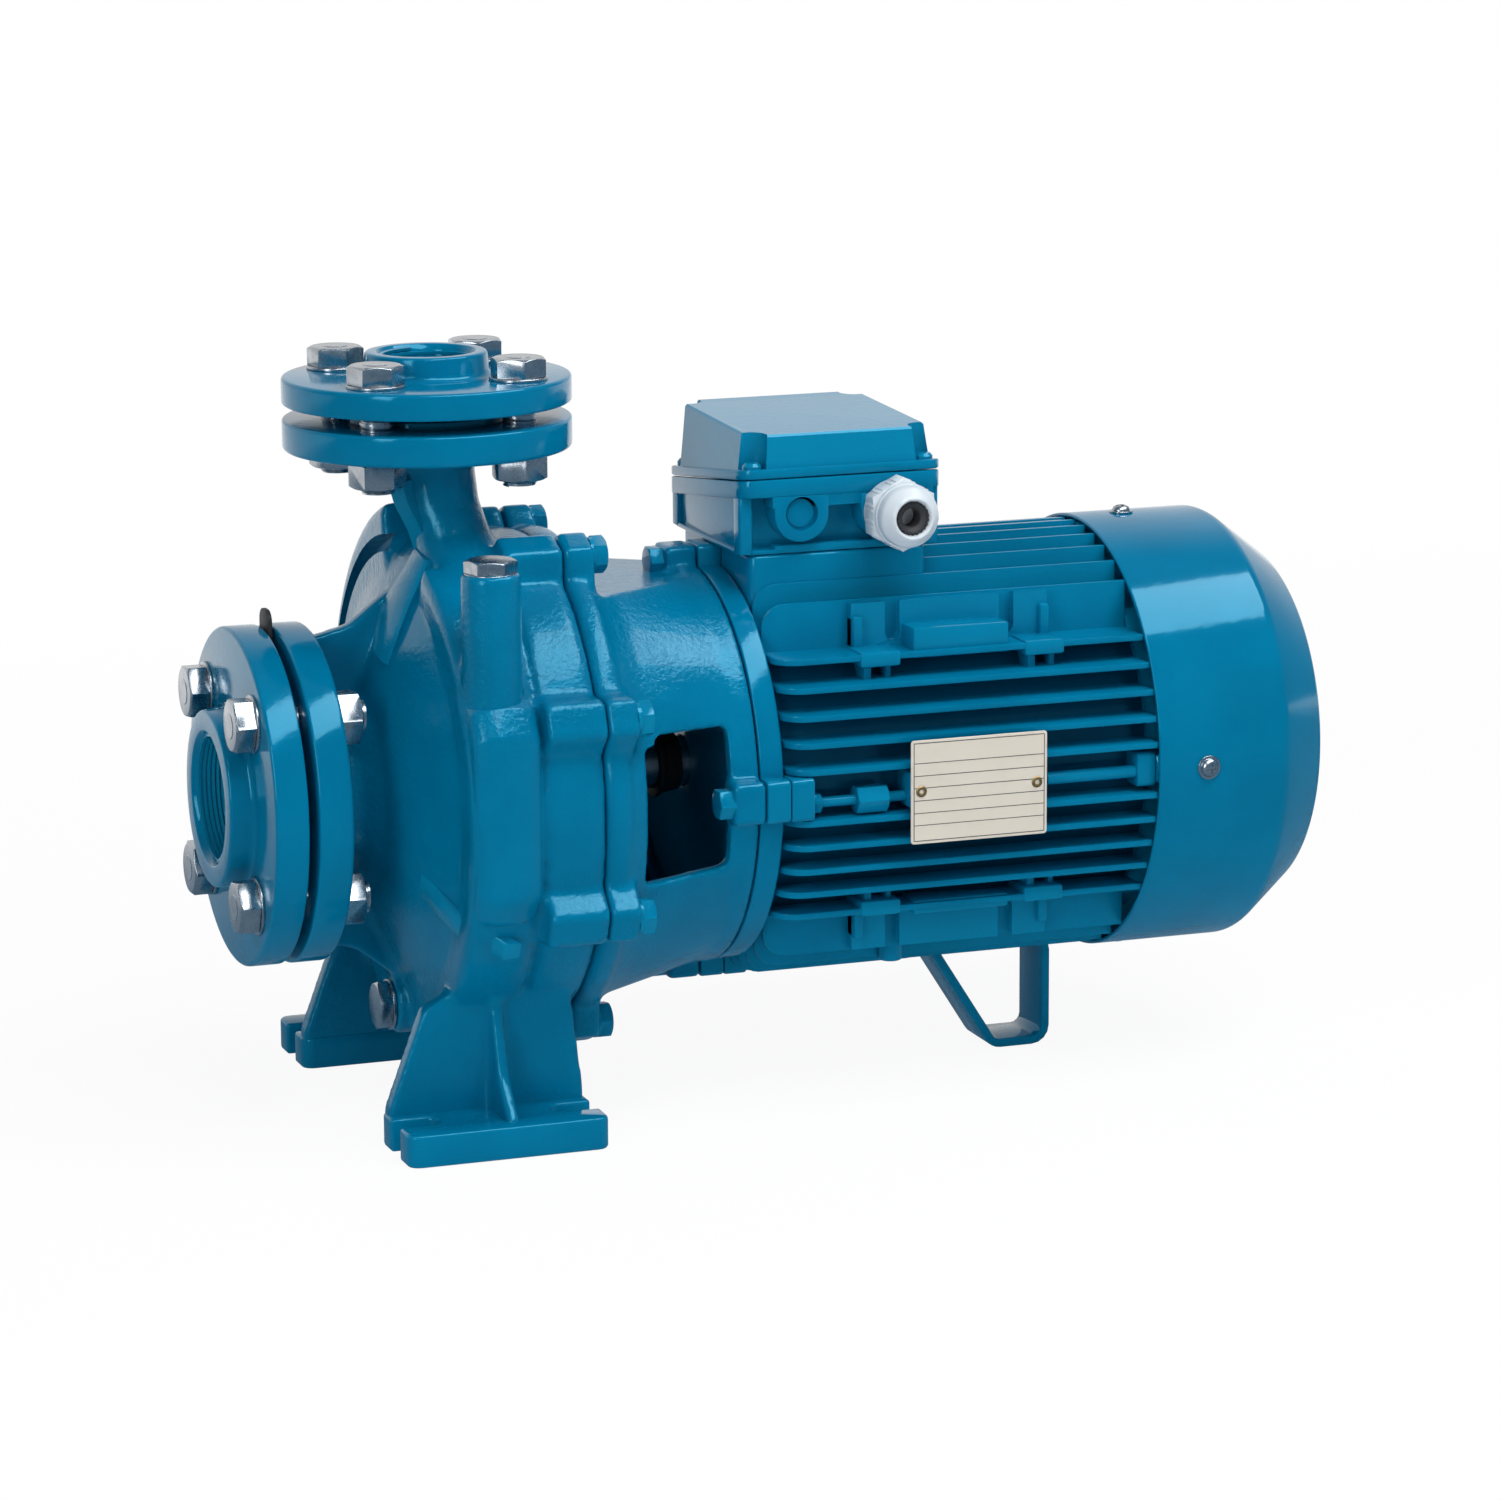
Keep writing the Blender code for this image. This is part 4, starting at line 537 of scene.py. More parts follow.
def boolean(body: Piece, tools: Iterable[Piece], operation: Operation) -> Piece:
    """Combine a body with tools, one after the other.

    Args:
        body: The piece that is changed.
        tools: Pieces that are used up.
        operation: How they are combined.

    Returns:
        The body.
    """
    for tool in tools:
        modifier = body.modifiers.new("Boolean", "BOOLEAN")
        modifier.operation = operation.value
        modifier.solver = "EXACT"
        modifier.object = tool
        applied(body)
        bpy.data.objects.remove(tool, do_unlink=True)
    return body


def cut(body: Piece, *tools: Piece) -> Piece:
    """Cut tools out of a body."""
    return boolean(body, tools, Operation.DIFFERENCE)


def softened(piece: Piece, width: float, segments: int = 2, angle: float = 30) -> Piece:
    """Round the edges of a piece.

    Args:
        piece: The piece.
        width: Width of the rounding.
        segments: Faces across it.
        angle: Edges sharper than this are rounded, in degrees.

    Returns:
        The piece.
    """
    modifier = piece.modifiers.new("Bevel", "BEVEL")
    modifier.width = width
    modifier.segments = segments
    modifier.angle_limit = math.radians(angle)
    return applied(piece)


def cast(piece: Piece, cell: float, rounds: int) -> Piece:
    """Melt overlapping solids into one casting with fillets where they meet.

    Args:
        piece: Overlapping closed solids.
        cell: Size of the cells that the casting is built from.
        rounds: Rounds of smoothing, which set the size of the fillets.

    Returns:
        The piece.
    """
    remesh = piece.modifiers.new("Remesh", "REMESH")
    remesh.mode = "VOXEL"
    remesh.voxel_size = cell
    smooth = piece.modifiers.new("Smooth", "SMOOTH")
    smooth.factor = 0.5
    smooth.iterations = rounds
    return applied(piece)


def filleted(corners: Sequence[tuple[float, ...]], closed: bool = True, steps: int = 4) -> list[Pair]:
    """Round the corners of an outline.

    Args:
        corners: Corner points, each with an optional third number, its radius.
        closed: Whether the last corner joins the first.
        steps: Segments of each rounding.

    Returns:
        The points of the rounded outline.
    """
    outline: list[Pair] = []
    count = len(corners)
    for number, corner in enumerate(corners):
        here = Vector(corner[:2])
        radius = corner[2] if len(corner) > 2 else 0.0
        at_end = not closed and number in (0, count - 1)
        if radius <= 0 or at_end:
            outline.append((here.x, here.y))
            continue
        before = (Vector(corners[number - 1][:2]) - here).normalized()
        after = (Vector(corners[(number + 1) % count][:2]) - here).normalized()
        half = before.angle(after) / 2
        reach = radius / math.tan(half)
        start, end = here + before * reach, here + after * reach
        middle = here + (before + after).normalized() * radius / math.sin(half)
        first, last = start - middle, end - middle
        sweep = first.angle_signed(last)
        for step in range(steps + 1):
            arm = Matrix.Rotation(-sweep * step / steps, 2) @ first
            outline.append((middle.x + arm.x, middle.y + arm.y))
    return outline


def turned(name: str, profile: Sequence[Pair], steps: int = 96, ring: bool = False) -> Piece:
    """Revolve (x, radius) points about X. A ring's profile closes on itself.

    Args:
        name: Name of the piece.
        profile: Points of the profile.
        steps: Faces round the axis.
        ring: Whether the last point joins the first.

    Returns:
        The piece.
    """
    shape = bmesh.new()
    rows = []
    for x, radius in profile:
        if radius <= 0:
            rows.append([shape.verts.new((x, 0, 0))])
            continue
        angles = [FULL_TURN * step / steps for step in range(steps)]
        rows.append([shape.verts.new((x, radius * math.sin(a), radius * math.cos(a))) for a in angles])
    pairs = list(zip(rows, rows[1:]))
    if ring:
        pairs.append((rows[-1], rows[0]))
    for first, second in pairs:
        for step in range(steps):
            corners = [first[step % len(first)], first[(step + 1) % len(first)]]
            corners += [second[(step + 1) % len(second)], second[step % len(second)]]
            distinct = list(dict.fromkeys(corners))
            if len(distinct) > 2:
                shape.faces.new(distinct)
    return as_piece(name, shape)


def drum(name: str, start: float, end: float, radius: float, steps: int = 32) -> Piece:
    """Plain cylinder along X."""
    return turned(name, [(start, 0), (start, radius), (end, radius), (end, 0)], steps)


def stud(name: str, length: float, radius: float, edge: float, steps: int = 32) -> Piece:
    """Cylinder from X = 0 whose outer edge is rounded."""
    profile = filleted([(0, 0), (0, radius), (length, radius, edge), (length, 0)], closed=False)
    return turned(name, profile, steps)


def loft(name: str, sections: Sequence[Sequence[Point]]) -> Piece:
    """Skin a row of closed sections that have the same number of points, and cap both ends.

    Args:
        name: Name of the piece.
        sections: The sections, from one end to the other.

    Returns:
        The piece.
    """
    shape = bmesh.new()
    rows = [[shape.verts.new(point) for point in section] for section in sections]
    count = len(rows[0])
    for first, second in zip(rows, rows[1:]):
        for step in range(count):
            after = (step + 1) % count
            shape.faces.new((first[step], first[after], second[after], second[step]))
    shape.faces.new(rows[0])
    shape.faces.new(list(reversed(rows[-1])))
    return as_piece(name, shape)


def slab(name: str, outline: Sequence[Pair], start: float, end: float, axis: Axis) -> Piece:
    """Extrude a closed outline of pairs along X, Y or Z.

    Args:
        name: Name of the piece.
        outline: Corners in the plane across the axis.
        start: Where it begins along the axis.
        end: Where it ends.
        axis: The axis.

    Returns:
        The piece.
    """

    def point(pair: Pair, level: float) -> Point:
        """Place one corner at one end."""
        first, second = pair
        return {Axis.X: (level, *pair), Axis.Y: (first, level, second), Axis.Z: (*pair, level)}[axis]

    return loft(name, [[point(pair, level) for pair in outline] for level in (start, end)])


def block(name: str, low: Point, high: Point, edge: float = 0.0) -> Piece:
    """Box between two opposite corners, with its edges rounded if edge is above 0.

    Args:
        name: Name of the piece.
        low: The lowest corner.
        high: The highest corner.
        edge: The rounding.

    Returns:
        The piece.
    """
    outline = [(low[0], low[1]), (high[0], low[1]), (high[0], high[1]), (low[0], high[1])]
    made = slab(name, outline, low[2], high[2], Axis.Z)
    return softened(made, edge) if edge > 0 else made


def rectangle(half_a: float, half_b: float, radius: float, centre: Pair = (0.0, 0.0)) -> list[Pair]:
    """Corner points of a rectangle with round corners."""
    signs = ((1, 1), (-1, 1), (-1, -1), (1, -1))
    return filleted([(centre[0] + a * half_a, centre[1] + b * half_b, radius) for a, b in signs])


def ellipse(centre: Pair, half: Pair, level: float, steps: int) -> list[Point]:
    """Points round a level ellipse at one height."""
    angles = [FULL_TURN * step / steps for step in range(steps)]
    return [(centre[0] + half[0] * math.cos(a), centre[1] + half[1] * math.sin(a), level) for a in angles]


def hexagon(flats: float) -> list[Pair]:
    """Corners of a hexagon from its width across flats.

    Args:
        flats: Width across the flats.

    Returns:
        The six corners.
    """
    corner = flats / math.sqrt(3)
    angles = [math.radians(60 * side) for side in range(6)]
    return [(corner * math.cos(a), corner * math.sin(a)) for a in angles]


def hex_block(name: str, flats: float, start: float, end: float, both_ends: bool = False) -> Piece:
    """Hexagon head or nut along X, with the turned chamfer that rounds its corners off.

    Args:
        name: Name of the piece.
        flats: Width across the flats.
        start: Where it begins along X.
        end: Where it ends, with its chamfer.
        both_ends: Whether the start has a chamfer too.

    Returns:
        The piece.
    """
    corner = flats / math.sqrt(3)
    drop = (corner - flats / 2) * CHAMFER_DEPTH
    lean = drop * CHAMFER_LEAN
    far = [(end - lean, corner + 0.05), (end, corner - drop), (end, 0)]
    if both_ends:
        near = [(start, 0), (start, corner - drop), (start + lean, corner + 0.05)]
    else:
        near = [(start - 1, 0), (start - 1, corner + 0.05)]
    body = slab(name, hexagon(flats), start - (1 if both_ends else 0), end + 1, Axis.X)
    envelope = turned("envelope", near + far, 48)
    boolean(body, [envelope], Operation.INTERSECT)
    return softened(body, 0.35, 1, 25)


def dressed(
    piece: Piece,
    finish: Finish,
    replaced: Sequence[str] = (),
    body: Body = Body.STATOR,
    sharp: float = 38.0,
) -> None:
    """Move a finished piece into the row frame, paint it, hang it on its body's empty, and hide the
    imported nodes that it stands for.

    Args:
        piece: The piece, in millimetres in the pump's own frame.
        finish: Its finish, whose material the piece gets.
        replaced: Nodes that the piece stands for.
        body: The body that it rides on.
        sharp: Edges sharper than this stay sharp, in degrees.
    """
    placed(piece, TO_ROW)
    mesh, slot = piece.data, finish.slot
    mesh.materials.clear()
    mesh.materials.append(SHOP.material(finish))
    for polygon in mesh.polygons:
        polygon.material_index = 0
    mesh.shade_smooth()
    mesh.set_sharp_from_angle(angle=math.radians(sharp))
    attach(piece, body.value)
    if replaced:
        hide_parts(*replaced)
    LOG.info("%s: %d faces, %s", piece.name, len(mesh.polygons), finish.name)


class GeometryTree(NodeGraph):
    """A Geometry Nodes tree with named inputs, whose result becomes a plain mesh."""

    def __init__(self, name: str) -> None:
        """Make an empty tree that takes and gives geometry.

        Args:
            name: Name of the tree.
        """
        group = bpy.data.node_groups.new(name, "GeometryNodeTree")
        super().__init__(group)
        group.interface.new_socket("Geometry", in_out="INPUT", socket_type="NodeSocketGeometry")
        group.interface.new_socket("Geometry", in_out="OUTPUT", socket_type="NodeSocketGeometry")
        finish = group.interface.new_socket("Finish", in_out="INPUT", socket_type="NodeSocketMaterial")
        self._source = group.nodes.new("NodeGroupInput")
        self._inputs: dict[str, str] = {"Finish": finish.identifier}

    def size(self, name: str, default: float | int) -> Wire:
        """Add a named input for a size or a count.

        Args:
            name: Name of the input.
            default: Its value.

        Returns:
            Its wire.
        """
        kind = "NodeSocketInt" if isinstance(default, int) else "NodeSocketFloat"
        socket = self.tree.interface.new_socket(name, in_out="INPUT", socket_type=kind)
        socket.default_value = default
        self._inputs[name] = socket.identifier
        return Wire(self, self._source.outputs[name])

    def given(self, name: str = "Geometry") -> Wire:
        """Give the wire of the incoming geometry or finish."""
        return Wire(self, self._source.outputs[name])

    def vector(self, x: Operand = 0.0, y: Operand = 0.0, z: Operand = 0.0) -> Wire:
        """Combine three values."""
        return self.node("ShaderNodeCombineXYZ", None, {"X": x, "Y": y, "Z": z})

    def close(self, geometry: Wire) -> None:
        """End the tree with Realize Instances and Set Material.

        Args:
            geometry: What the tree gives.
        """
        real = self.node("GeometryNodeRealizeInstances", None, {"Geometry": geometry})
        sockets = {"Geometry": real, "Material": self.given("Finish")}
        painted = self.node("GeometryNodeSetMaterial", None, sockets)
        target = self.tree.nodes.new("NodeGroupOutput")
        self.tree.links.new(painted.socket, target.inputs[0])

    def run(
        self,
        name: str,
        finish: Finish,
        sizes: dict[str, float | int],
        template: Piece | None = None,
    ) -> Piece:
        """Run the tree and keep its result as a plain mesh.

        Args:
            name: Name of the piece.
            finish: Its finish.
            sizes: Values of the named inputs.
            template: The piece that is repeated, used up, or None.

        Returns:
            The new piece.
        """
        piece = template or bpy.data.objects.new(name, bpy.data.meshes.new(name))
        if template is None:
            bpy.context.scene.collection.objects.link(piece)
        piece.name = name
        modifier = piece.modifiers.new("Nodes", "NODES")
        modifier.node_group = self.tree
        for given, value in {"Finish": SHOP.material(finish), **sizes}.items():
            modifier[self._inputs[given]] = value
        return applied(piece)


class Repeats:
    """The Geometry Nodes trees of everything on the pump that repeats or follows a path."""

    def __init__(self) -> None:
        """Build each tree once."""
        self.ring = self._ring()
        self.corners = self._corners()
        self.fins = self._fins()
        self.thread = self._thread()
        self.guard = self._guard()

    @staticmethod
    def _ring() -> GeometryTree:
        """Copies of a template round the X axis, each turned about its own axis by its own angle.

        Returns:
            The tree.
        """
        tree = GeometryTree("ring_of_copies")
        count = tree.size("Count", 4)
        radius = tree.size("Radius", 50.0)
        first = tree.size("First Angle", 0.0)
        spin = tree.size("Spin", 0.0)
        seed = tree.size("Seed", 3)
        points = tree.node("GeometryNodePoints", None, {"Count": count})
        index = tree.node("GeometryNodeInputIndex")
        step = FULL_TURN / count
        angle = first + index * step
        place = tree.vector(0.0, radius * angle.math("SINE") * -1.0, radius * angle.math("COSINE"))
        sockets = {"ID": index, "Seed": seed}
        random = tree.node("FunctionNodeRandomValue", {"data_type": "FLOAT"}, sockets, 1)
        turned_by = tree.vector(angle + (random - 0.5) * spin)
        set_place = tree.node("GeometryNodeSetPosition", None, {"Geometry": points, "Position": place})
        sockets = {"Points": set_place, "Instance": tree.given(), "Rotation": turned_by}
        tree.close(tree.node("GeometryNodeInstanceOnPoints", None, sockets))
        return tree

    @staticmethod
    def _corners() -> GeometryTree:
        """Copies of a template at the corners of a rectangle on a sloping plane.

        Returns:
            The tree.
        """
        tree = GeometryTree("corner_copies")
        length = tree.size("Length", 90.0)
        depth = tree.size("Depth", 90.0)
        slope = tree.size("Slope", 0.0)
        sockets = {"Size X": length, "Size Y": depth, "Vertices X": 2, "Vertices Y": 2}
        grid = tree.node("GeometryNodeMeshGrid", None, sockets)
        _, across, _ = tree.parts(tree.node("GeometryNodeInputPosition"))
        lift = tree.vector(0.0, 0.0, across * slope * -1.0)
        sloping = tree.node("GeometryNodeSetPosition", None, {"Geometry": grid, "Offset": lift})
        sockets = {"Points": sloping, "Instance": tree.given()}
        tree.close(tree.node("GeometryNodeInstanceOnPoints", None, sockets))
        return tree

    @staticmethod
    def _fins() -> GeometryTree:
        """A row of upright cooling fins whose tips lie on one circle, each rounded at its front.

        Returns:
            The tree.
        """
        tree = GeometryTree("row_of_fins")
        pairs = tree.size("Pairs", 5)
        step = tree.size("Step", 12.6)
        tip = tree.size("Tip Radius", 108.0)
        thick = tree.size("Thickness", 3.0)
        start = tree.size("Start", 147.0)
        length = tree.size("Length", 192.0)
        corner = tree.size("Corner", 12.0)
        skipped = tree.size("Skip", -1.0)
        count = pairs * 2.0 + 1.0
        sockets = {
            "Count": count, "Start Location": tree.vector(0.0, pairs * step * -1.0),
            "Offset": tree.vector(0.0, step),
        }
        line = tree.node("GeometryNodeMeshLine", None, sockets)
        place = tree.node("GeometryNodeInputPosition")
        capture = tree.tree.nodes.new("GeometryNodeCaptureAttribute")
        capture.capture_items.new("VECTOR", "Middle")
        tree.tree.links.new(line.socket, capture.inputs[0])
        tree.tree.links.new(place.socket, capture.inputs[1])
        _, offset, _ = tree.parts(Wire(tree, capture.outputs[1]))
        size = tree.vector(1.0, thick, 2.0)
        cube = tree.node("GeometryNodeMeshCube", None, {"Size": size, "Vertices X": 30, "Vertices Z": 2})
        sockets = {"Points": Wire(tree, capture.outputs[0]), "Instance": cube}
        fins = tree.node("GeometryNodeInstanceOnPoints", None, sockets)
        real = tree.node("GeometryNodeRealizeInstances", None, {"Geometry": fins})
        along, across, up = tree.parts(place)
        share = (along + 0.5) ** 2.0
        reach = (tip * tip - offset * offset).math("SQRT")
        short = (corner - share * length).math("MAXIMUM", 0.0)
        drop = corner - (corner * corner - short * short).math("SQRT")
        shaped = tree.vector(start + share * length, across, up.math("SIGN") * (reach - drop))
        moved = tree.node("GeometryNodeSetPosition", None, {"Geometry": real, "Position": shaped})
        middle = offset.math("ABSOLUTE").math("LESS_THAN", skipped)
        kept = tree.node("GeometryNodeDeleteGeometry", None, {"Geometry": moved, "Selection": middle})
        tree.close(kept)
        return tree

    @staticmethod
    def _thread() -> GeometryTree:
        """A screw thread along Z, as a ridge on a spiral.

        Returns:
            The tree.
        """
        tree = GeometryTree("screw_thread")
        radius = tree.size("Radius", 8.0)
        pitch = tree.size("Pitch", 2.0)
        turns = tree.size("Turns", 5.0)
        ridge = tree.size("Ridge", 0.8)
        sockets = {
            "Resolution": 28, "Rotations": turns, "Start Radius": radius, "End Radius": radius,
            "Height": pitch * turns,
        }
        spiral = tree.node("GeometryNodeCurveSpiral", None, sockets)
        profile = tree.node("GeometryNodeCurvePrimitiveCircle", None, {"Resolution": 4, "Radius": ridge})
        sockets = {"Curve": spiral, "Profile Curve": profile, "Fill Caps": True}
        tree.close(tree.node("GeometryNodeCurveToMesh", None, sockets))
        return tree

    @staticmethod
    def _guard() -> GeometryTree:
        """Rings and spokes of a wire guard across the Z axis.

        Returns:
            The tree.
        """
        tree = GeometryTree("wire_guard")
        rings = tree.size("Rings", 6)
        inner = tree.size("Inner Radius", 16.0)
        outer = tree.size("Outer Radius", 76.0)
        spokes = tree.size("Spokes", 8)
        wire = tree.size("Wire", 1.2)
        index = tree.node("GeometryNodeInputIndex")
        step = (outer - inner) * (1.0 / (rings - 1.0))
        points = tree.node("GeometryNodePoints", None, {"Count": rings})
        circle = tree.node("GeometryNodeCurvePrimitiveCircle", None, {"Resolution": 72, "Radius": 1.0})
        scale = inner + index * step
        sockets = {"Points": points, "Instance": circle, "Scale": tree.vector(scale, scale, 1.0)}
        rows = tree.node("GeometryNodeInstanceOnPoints", None, sockets)
        start, end = tree.vector(inner * 0.5), tree.vector(outer)
        straight = tree.node("GeometryNodeCurvePrimitiveLine", None, {"Start": start, "End": end})
        arms = tree.node("GeometryNodePoints", None, {"Count": spokes})
        angle = index * (FULL_TURN / spokes)
        sockets = {"Points": arms, "Instance": straight, "Rotation": tree.vector(0.0, 0.0, angle)}
        rays = tree.node("GeometryNodeInstanceOnPoints", None, sockets)
        both = tree.tree.nodes.new("GeometryNodeJoinGeometry")
        for part in (rays, rows):
            tree.tree.links.new(part.socket, both.inputs[0])
        lines = tree.node("GeometryNodeRealizeInstances", None, {"Geometry": Wire(tree, both.outputs[0])})
        section = tree.node("GeometryNodeCurvePrimitiveCircle", None, {"Resolution": 8, "Radius": wire})
        sockets = {"Curve": lines, "Profile Curve": section, "Fill Caps": True}
        tree.close(tree.node("GeometryNodeCurveToMesh", None, sockets))
        return tree


REPEATS = Repeats()


def clamp_lugs(barrel_r: float, start: float, end: float, finish: Finish) -> Piece:
    """Ring of clamping lugs, whose flanks spread down to the barrel.

    Args:
        barrel_r: Radius of the barrel that carries them.
        start: Where they begin along the shaft.
        end: Where they end.
        finish: Finish of the casting.

    Returns:
        The ring.
    """
    top = barrel_r + 11.8
    corners = [(-19, barrel_r - 12), (19, barrel_r - 12), (8.5, top, 3.5), (-8.5, top, 3.5)]
    lug = softened(slab("lug", filleted(corners), start, end, Axis.X), 1.6, 3)
    sizes = {"Count": CLAMP_SCREWS, "Radius": 0.0, "First Angle": FIRST_CLAMP_SCREW}
    return REPEATS.ring.run("clamp_lugs", finish, sizes, lug)


@dataclass(frozen=True)
class TieLugs:
    """Four lugs round a casting for the motor's tie bolts."""

    start: float
    end: float
    root: float
    top: float = 109.5
    width: float = 21.0
    corner: float = 3.0
    edge: float = 1.2

    def ring(self) -> Piece:
        """Make the four lugs.

        Returns:
            The lugs.
        """
        half, tip = self.width / 2, self.corner
        corners = [(-half, self.root), (half, self.root), (half, self.top, tip), (-half, self.top, tip)]
        lug = softened(slab("lug", filleted(corners), self.start, self.end, Axis.X), self.edge, 2)
        return REPEATS.ring.run("tie_lugs", FINE_ENAMEL, {"Count": 4, "Radius": 0.0}, lug)


@dataclass
class PumpCasing:
    """The pump's main casting: scroll, swan neck, flanges, lugs, bosses and feet."""

    barrel_r: float = 122.0
    barrel_start: float = 12.0
    back_x: float = 49.5
    shoulder_x: float = -14.0
    shoulder_drop: float = 12.0
    neck_r: float = 41.0
    dish_start: float = -48.0
    suction_x: float = -80.0
    suction_r: float = 82.5
    suction_thick: float = 17.0
    face_r: float = 49.0
    discharge_z: float = 180.0
    discharge_r: float = 70.0
    discharge_thick: float = 15.0
    lug_length: float = 29.5
    tongue: float = 20.0
    swell: float = 266.0
    mouth: float = 350.0
    foot_span: float = 240.0
    foot_width: float = 50.0
    foot_length: float = 100.0
    foot_thick: float = 16.0
    slot_track: float = 95.0
    slot_half: float = 7.0
    leg_rise: float = 75.0
    leg_thick: float = 11.0
    cell: float = 1.9
    fillet_rounds: int = 5

    def scroll_radius(self, degrees: float) -> float:
        """Outer radius of the scroll, which grows from the tongue and fastest past the far side.

        Args:
            degrees: Angle round the shaft.

        Returns:
            The radius.
        """
        if degrees <= self.swell:
            return self.barrel_r - 1 + 6 * (degrees - self.tongue) / (self.swell - self.tongue)
        return self.barrel_r + 5 + 10 * ((degrees - self.swell) / (self.mouth - self.swell)) ** 2

    def scroll(self) -> Piece:
        """Outside of the scroll, lofted round the shaft.

        Returns:
            The scroll.
        """
        inner = self.barrel_r - 26
        sections = []
        stations = 72
        for station in range(stations):
            degrees = self.tongue + (self.mouth - self.tongue) * station / (stations - 1)
            outer = self.scroll_radius(degrees)
            middle, half = (outer + inner) / 2, (outer - inner) / 2
            angle = math.radians(degrees)
            outline = rectangle(17, half, 5, (0, middle))
            sections.append([(x, -r * math.sin(angle), r * math.cos(angle)) for x, r in outline])
        return loft("scroll", sections)

    def barrel(self) -> Piece:
        """Round body from the suction neck over the dished front to the joint with the lantern.

        Returns:
            The round body.
        """
        shoulder_r = self.barrel_r - self.shoulder_drop
        corners = [
            (self.suction_x + 4, 0), (self.suction_x + 4, self.neck_r),
            (self.dish_start, self.neck_r, 8), (self.dish_start + 9, self.neck_r + 9, 6),
            (-26, self.barrel_r - 42, 20), (self.shoulder_x, shoulder_r, 2.5),
            (self.shoulder_x + 8, self.barrel_r - 4, 4), (self.barrel_start, self.barrel_r, 4),
            (16.5, self.barrel_r), (19, self.barrel_r - 4.5), (22, self.barrel_r - 0.5),
            (self.back_x - 5, self.barrel_r - 0.5, 3), (self.back_x, self.barrel_r - 3),
            (self.back_x, 0),
        ]
        return turned("barrel", filleted(corners, closed=False), 128)

    def neck(self) -> Piece:
        """Swan neck from the discharge flange down into the near side of the body.

        Returns:
            The neck.
        """
        top, foot = self.discharge_z - self.discharge_thick, 84.0
        sections = []
        stops = (
            (-0.06, 27.0, 27.0, 0.0, 0.0), (0.02, 24.0, 24.0, 0.5, 0.3),
            (0.12, 20.8, 21.0, 2.5, 1.0), (0.31, 19.3, 20.0, 7.0, 3.0),
            (0.47, 19.2, 21.0, 12.0, 6.5), (0.6, 20.0, 24.5, 18.0, 9.0),
            (0.7, 20.5, 32.0, 24.0, 9.0), (0.8, 20.5, 39.0, 29.0, 7.5), (1.0, 20.0, 46.0, 36.0, 4.0),
        )
        for share, half_x, half_y, lean, ahead in stops:
            level = top - share * (top - foot)
            sections.append(ellipse((ahead, -lean), (half_x, half_y), level, 48))
        return loft("neck", sections)

    def leg(self, side: int) -> Piece:
        """Flared leg with its outer rib.

        Args:
            side: 1 for the far leg, -1 for the near one.

        Returns:
            The leg.
        """
        floor = -SHAFT_HEIGHT
        outline = filleted([
            (43, floor + self.leg_rise + 24), (43, floor + self.leg_rise - 8),
            (48.5, floor + 22, 14), (49, floor + 6), (-49, floor + 6), (-49, floor + 18),
            (-31, floor + self.leg_rise - 9, 3), (-14, floor + self.leg_rise + 1),
            (-8, floor + self.leg_rise + 24),
        ])
        inner = self.foot_span / 2 - self.foot_width + 1.2
        leg = slab("leg", outline, side * inner, side * (inner + self.leg_thick), Axis.Y)
        outer = inner + self.leg_thick
        rib_corners = [
            (side * (outer - 4), floor + 6), (side * (outer + 33), floor + 6),
            (side * (outer + 30), floor + 17), (side * (outer + 14), floor + 34, 30),
            (side * (outer + 3), floor + self.leg_rise - 4),
            (side * (outer - 4), floor + self.leg_rise + 12),
        ]
        rib = slab("rib", filleted(rib_corners), 1.0, 7.5, Axis.X)
        return joined("leg", [leg, rib])

    def gussets(self) -> Piece:
        """Ribs above and below the neck, between the suction flange and the dished front.

        Returns:
            Both ribs.
        """
        ribs = []
        for side in (-1, 1):
            outline = [
                (self.suction_x + 8, side * 20), (self.suction_x + 8, side * (self.suction_r - 4)),
                (self.suction_x + 18, side * (self.suction_r - 7)),
                (self.suction_x + 38, side * (self.suction_r - 2)),
                (self.shoulder_x - 8, side * (self.barrel_r - 26)),
                (self.shoulder_x, side * (self.barrel_r - 32)), (self.shoulder_x - 20, side * 20),
            ]
            ribs.append(slab("gusset", outline, -4.5, 4.5, Axis.Y))
        return joined("gussets", ribs)

    def bosses(self) -> Piece:
        """Tall boss of the priming plug and short boss of the drain plug.

        Returns:
            Both bosses.
        """
        priming = stud("priming", 121.0, 14.3, 2.2, 48)
        placed(priming, move(-1, 18 - self.barrel_r, 0) @ UPRIGHT)
        drain = stud("drain", 36.0, 14.5, 2.0, 48)
        placed(drain, move(self.barrel_start, 0, 11.2 - self.barrel_r) @ TURNED_ABOUT)
        return joined("bosses", [priming, drain])

    def spine(self) -> Piece:
        """Upright rounded band below the priming boss, on the near side of the scroll.

        Returns:
            The band.
        """
        outline = filleted([
            (-98, 63), (-112, 61.5), (-118.5, 58.5, 3), (-125.8, 46, 5), (-126.6, 0),
            (-125.5, -34, 14), (-118, -46, 8), (-102, -52), (-115.5, -20), (-115.5, 25),
        ])
        sections = []
        for step in range(17):
            angle = math.radians(-84 + 168 * step / 16)
            inset = 7.5 * (1 - math.cos(angle))
            x, squeeze = 1 + 16.5 * math.sin(angle), 1 - inset / 90
            sections.append([(x, y + inset, z * squeeze) for y, z in outline])
        return loft("spine", sections)

